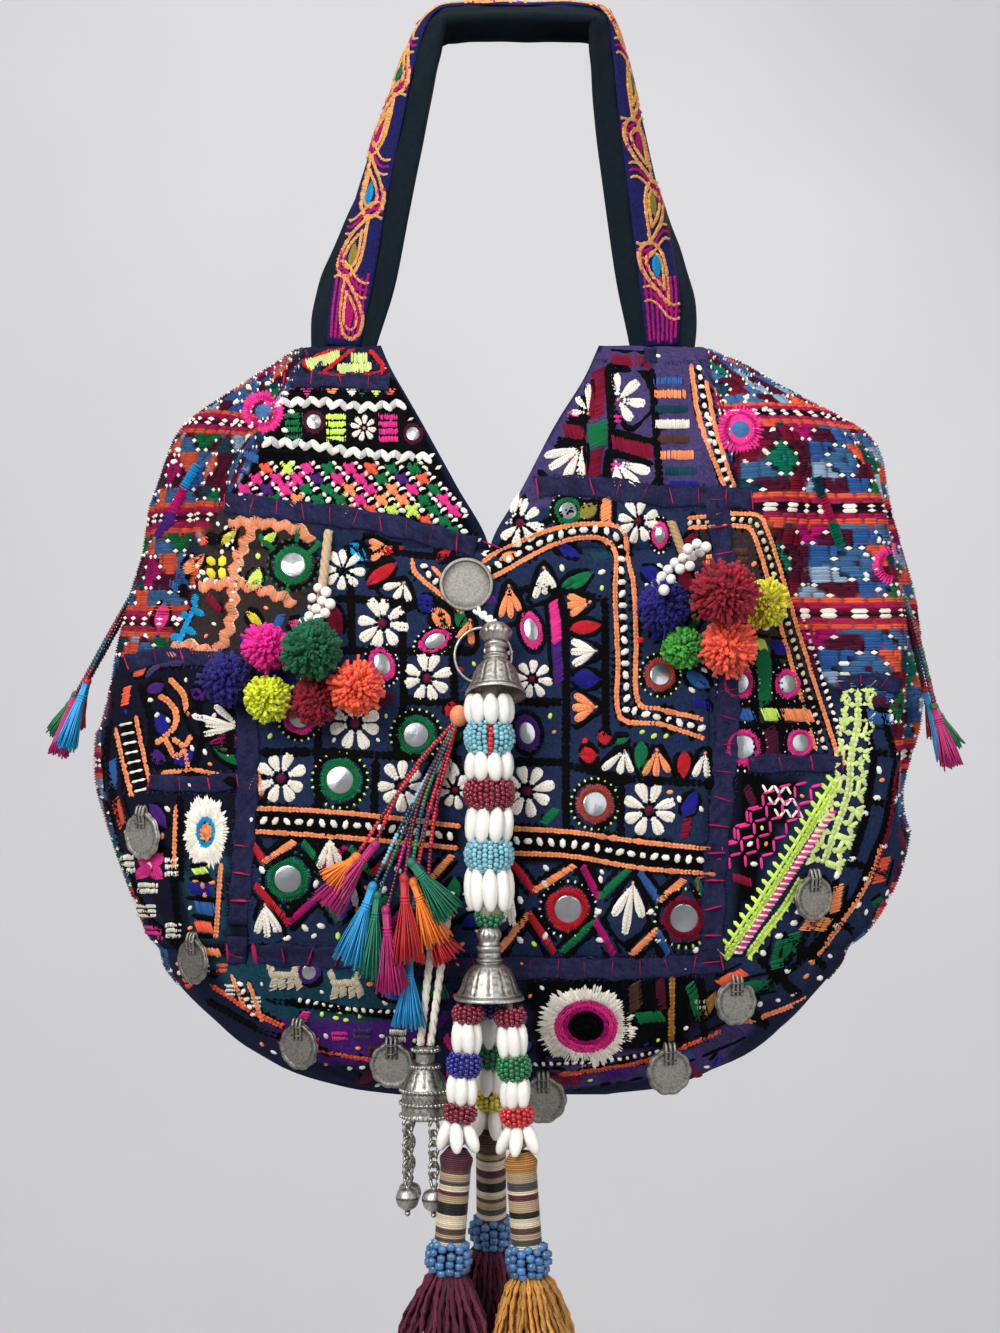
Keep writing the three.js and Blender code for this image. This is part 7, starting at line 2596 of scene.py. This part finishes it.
def counted_ground(base, side, along, row, points):
    """Colour the cloth under the counted work by its pattern, darker: painted shade for the gaps between the stitches.
    """
    normals = skin_normal(side, along, row)
    for half in (-1, 1):
        chosen = np.flatnonzero(side == half)
        if len(chosen):
            under = counted_here(half, along[chosen] * RING_LENGTH, points[chosen], normals[chosen])
            lengths = SkinChart(half)
            for spot_index in chosen[under]:
                down = np.interp(row[spot_index], lengths.rows, lengths.lengths) - COUNTED_TOP
                level = int(down / CELL_HIGH)
                cell = int((along[spot_index] * RING_LENGTH - COUNTED_LEFT) / CELL_WIDE)
                if 0 <= level < len(KILIM_ROWS):
                    band, j = KILIM_ROWS[level]
                    tint = kilim_tint(band, cell, j, COUNTED_FIRST[half])
                    base[spot_index] = TINT["umber" if tint in ("black", "white") else tint] * COUNTED_GAP_SHADE


def counted_side(name, side):
    """Rows of counted stitches over one side panel, from the strap down."""
    n = Needle(name, SkinChart(side), 1.0, "counted_thread")
    columns = int((COUNTED_RIGHT - COUNTED_LEFT) / CELL_WIDE)
    x = COUNTED_LEFT + CELL_WIDE * np.arange(columns)
    for level, (band, j) in enumerate(KILIM_ROWS):
        down = COUNTED_TOP + CELL_HIGH * (level + 0.5)
        points, normals, _ = n.chart.at(np.stack([x + CELL_WIDE / 2, np.full(columns, down)], -1))
        keep = counted_here(side, x + CELL_WIDE / 2, points, normals)
        tints = [kilim_tint(band, i, j, COUNTED_FIRST[side]) if keep[i] else None for i in range(columns)]
        i = 0
        while i < columns:
            run = 1
            while i + run < columns and run < LONGEST_RUN and tints[i + run] == tints[i]:
                run += 1
            if tints[i] and tints[i] != "black":
                kind = DOT if tints[i] == "white" else RUN
                # Runs take their side's painted shade; white dots keep their own brightness
                tint = TINT[tints[i]] * (1.0 if kind is DOT else COUNTED_SIDE_SHADE[side])
                for half in kind.halves:
                    level_down = down + half * CELL_HIGH + rng.normal(0, 0.12)
                    ends = (x[i] - kind.over, level_down), (x[i] + run * CELL_WIDE + kind.over, level_down)
                    n.stitch(*ends, kind.width * CELL_HIGH, tint, kind.height)
            i += run
    n.sew()


# The strap's chain-stitched strip, in millimetres along it and across it

PAISLEY = SimpleNamespace(first=36, last=30, pitch=31, long=31, wide=19, off=1.5, tint="peach")
PAISLEY_FILLERS = ["magenta", "olive", "sky", "magenta", "emerald"]
STRIP_CHAIN = dict(width=1.7, link=1.8, height=0.8)
STRIP_WAVES = table("shift tint", [(11, "peach"), (14.6, "magenta"), (18.2, "peach")])
STRIP_ENDS = (20, 52)  # straight lines near each end


def paisley(n, start, flip, filler):
    """A drop with a bent tip: two outlines, a filling of short lines and an eye."""
    long, wide = PAISLEY.long, PAISLEY.wide
    turn = np.linspace(0, 2 * np.pi, 26)
    x, y = np.cos(turn), np.sin(turn) * np.sin(turn / 2) ** 1.2
    bent = y + 0.22 * flip * (x + 1) ** 2 - 0.3 * flip
    shape = np.stack([x * long / 2, bent * wide / 2], -1)
    place = np.array([start, -PAISLEY.off * flip])
    n.chain(place + shape, PAISLEY.tint, width=2.8, link=1.8, height=1.0)
    n.chain(place + (-1.5, 0) + 0.6 * shape, PAISLEY.tint, width=2.2, link=1.6, height=0.9)
    n.leaf(place + (-0.32 * long, 0), place + (0.06 * long, 0), 0.3 * wide, filler, None)


def strap_embroidery():
    """Paisleys that point to each side in turn, with waves between them, and straight lines near the ends."""
    n = Needle("strap", StrapChart(), 1.0, "strap_embroidery")
    end = n.chart.lengths[-1]
    sweep = np.linspace(-1, 1, 12)
    for k, start in enumerate(np.arange(PAISLEY.first, end - PAISLEY.last, PAISLEY.pitch)):
        flip = 1 if k % 2 else -1
        paisley(n, start, flip, PAISLEY_FILLERS[k % len(PAISLEY_FILLERS)])
        for row in STRIP_WAVES:
            along = start + row.shift + 4 * sweep + 2.4 * np.sin(3 * sweep)
            n.chain(np.stack([along, 10.5 * sweep * flip], -1), row.tint, **STRIP_CHAIN)
        for across in (-8.5, -5.5):
            n.chain([(start - 13, across * flip), (start - 2, (across - 1.5) * flip)], "magenta",
                    **STRIP_CHAIN)
    near_end, far = STRIP_ENDS
    for start, stop in ((near_end, far), (end - far, end - near_end)):
        for across in np.arange(-9, 10, 3.0):
            n.chain([(start, across), (stop + 4 * math.sin(across), across)], "magenta", width=1.7,
                    link=1.8, height=0.7)
    n.sew()


# Stage, light and camera, in metres

STAGE = SimpleNamespace(wall_y=2.7, floor_z=-2.7, reach=5.0)
PLASTER = (0.77, 0.765, 0.775, 1), (0.82, 0.815, 0.825, 1)
SKY_COLOUR, SKY_STRENGTH = (0.96, 0.96, 1.0, 1), 0.42
AIM = (0, 0, -0.32)
LIGHTS = table("name place aim size power", [
    ("key", (-0.9, -1.6, 0.7), AIM, 1.0, 38), ("fill", (1.3, -1.3, 0.0), AIM, 1.4, 10),
    ("top", (0.0, -0.4, 1.3), AIM, 1.0, 9), ("rear", (1.3, 1.7, 1.2), AIM, 0.9, 24),
    ("wall_wash", (-0.4, 0.9, 2.4), (-0.2, 2.7, -0.3), 1.6, 17),
])


def add_stage():
    """A pale wall well behind the bag and a pale floor well below it, so that all sides can be seen."""
    finish, nodes, links, shader = new_finish("pale_plaster", roughness=0.85)
    place = add_node(nodes, links, "ShaderNodeTexCoord").outputs["Object"]
    noise = add_node(nodes, links, "ShaderNodeTexNoise", {"Vector": place, "Scale": 3.0, "Detail": 2.0})
    ramp = add_node(nodes, links, "ShaderNodeValToRGB", {"Fac": noise.outputs["Fac"]})
    for element, colour in zip(ramp.color_ramp.elements, PLASTER):
        element.color = colour
    links.new(ramp.outputs["Color"], shader.inputs["Base Color"])
    wall, floor, far = STAGE.wall_y, STAGE.floor_z, STAGE.reach
    corners = {
        "backdrop": [(-far, wall, floor), (far, wall, floor), (far, wall, far), (-far, wall, far)],
        "floor": [(-far, -far, floor), (far, -far, floor), (far, wall, floor), (-far, wall, floor)],
    }
    for name, points in corners.items():
        mesh = bpy.data.meshes.new(name)
        mesh.from_pydata(points, [], [(0, 1, 2, 3)])
        mesh.materials.append(finish)
        piece = bpy.data.objects.new(name, mesh)
        bpy.context.scene.collection.objects.link(piece)
        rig.stage(piece)


def add_light(row):
    lamp = bpy.data.lights.new(row.name, "AREA")
    lamp.size = row.size
    lamp.energy = row.power
    light = bpy.data.objects.new(row.name, lamp)
    light.location = row.place
    light.rotation_euler = (Vector(row.aim) - Vector(row.place)).to_track_quat("-Z", "Y").to_euler()
    bpy.context.scene.collection.objects.link(light)


def add_camera_and_light():
    camera = bpy.data.cameras.new("camera")
    camera.sensor_width = SENSOR
    camera.lens = SENSOR * -CAMERA_PLACE[1] / (PHOTO_SIZE[1] * MM_PER_PIXEL)
    eye = bpy.data.objects.new("camera", camera)
    eye.location = CAMERA_PLACE * MM
    eye.rotation_euler = (math.pi / 2, 0, 0)
    bpy.context.scene.collection.objects.link(eye)
    bpy.context.scene.camera = eye
    world = bpy.data.worlds.new("studio")
    world.use_nodes = True
    world.node_tree.nodes["Background"].inputs["Color"].default_value = SKY_COLOUR
    world.node_tree.nodes["Background"].inputs["Strength"].default_value = SKY_STRENGTH
    bpy.context.scene.world = world
    bpy.context.scene.view_settings.view_transform = "Standard"
    for row in LIGHTS:
        add_light(row)


add_camera_and_light()
add_stage()
add_walls()
add_strap()
add_button()
for bell in BELLS:
    add_bell(bell)
add_upper_strand()
for strand in STRANDS:
    add_lower_strand(strand)
add_jhumka()
add_coins()
add_pompoms()
add_pompom_stems()
add_bunch()
add_side_bunches()
tree = wall_tree()
patchwork("front", PhotoChart(tree), "patchwork")
patchwork("back", PhotoChart(tree, behind=True), "patchwork", BACK_SWAP, COARSE_STITCH)
counted_side("left_side", side=-1)
counted_side("right_side", side=1)
strap_embroidery()

boxes = {"cad": [list(corner) for corner in cad_box], "visual": [list(corner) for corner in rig.bounds()]}
with open("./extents.json", "w") as out:
    json.dump(boxes, out)
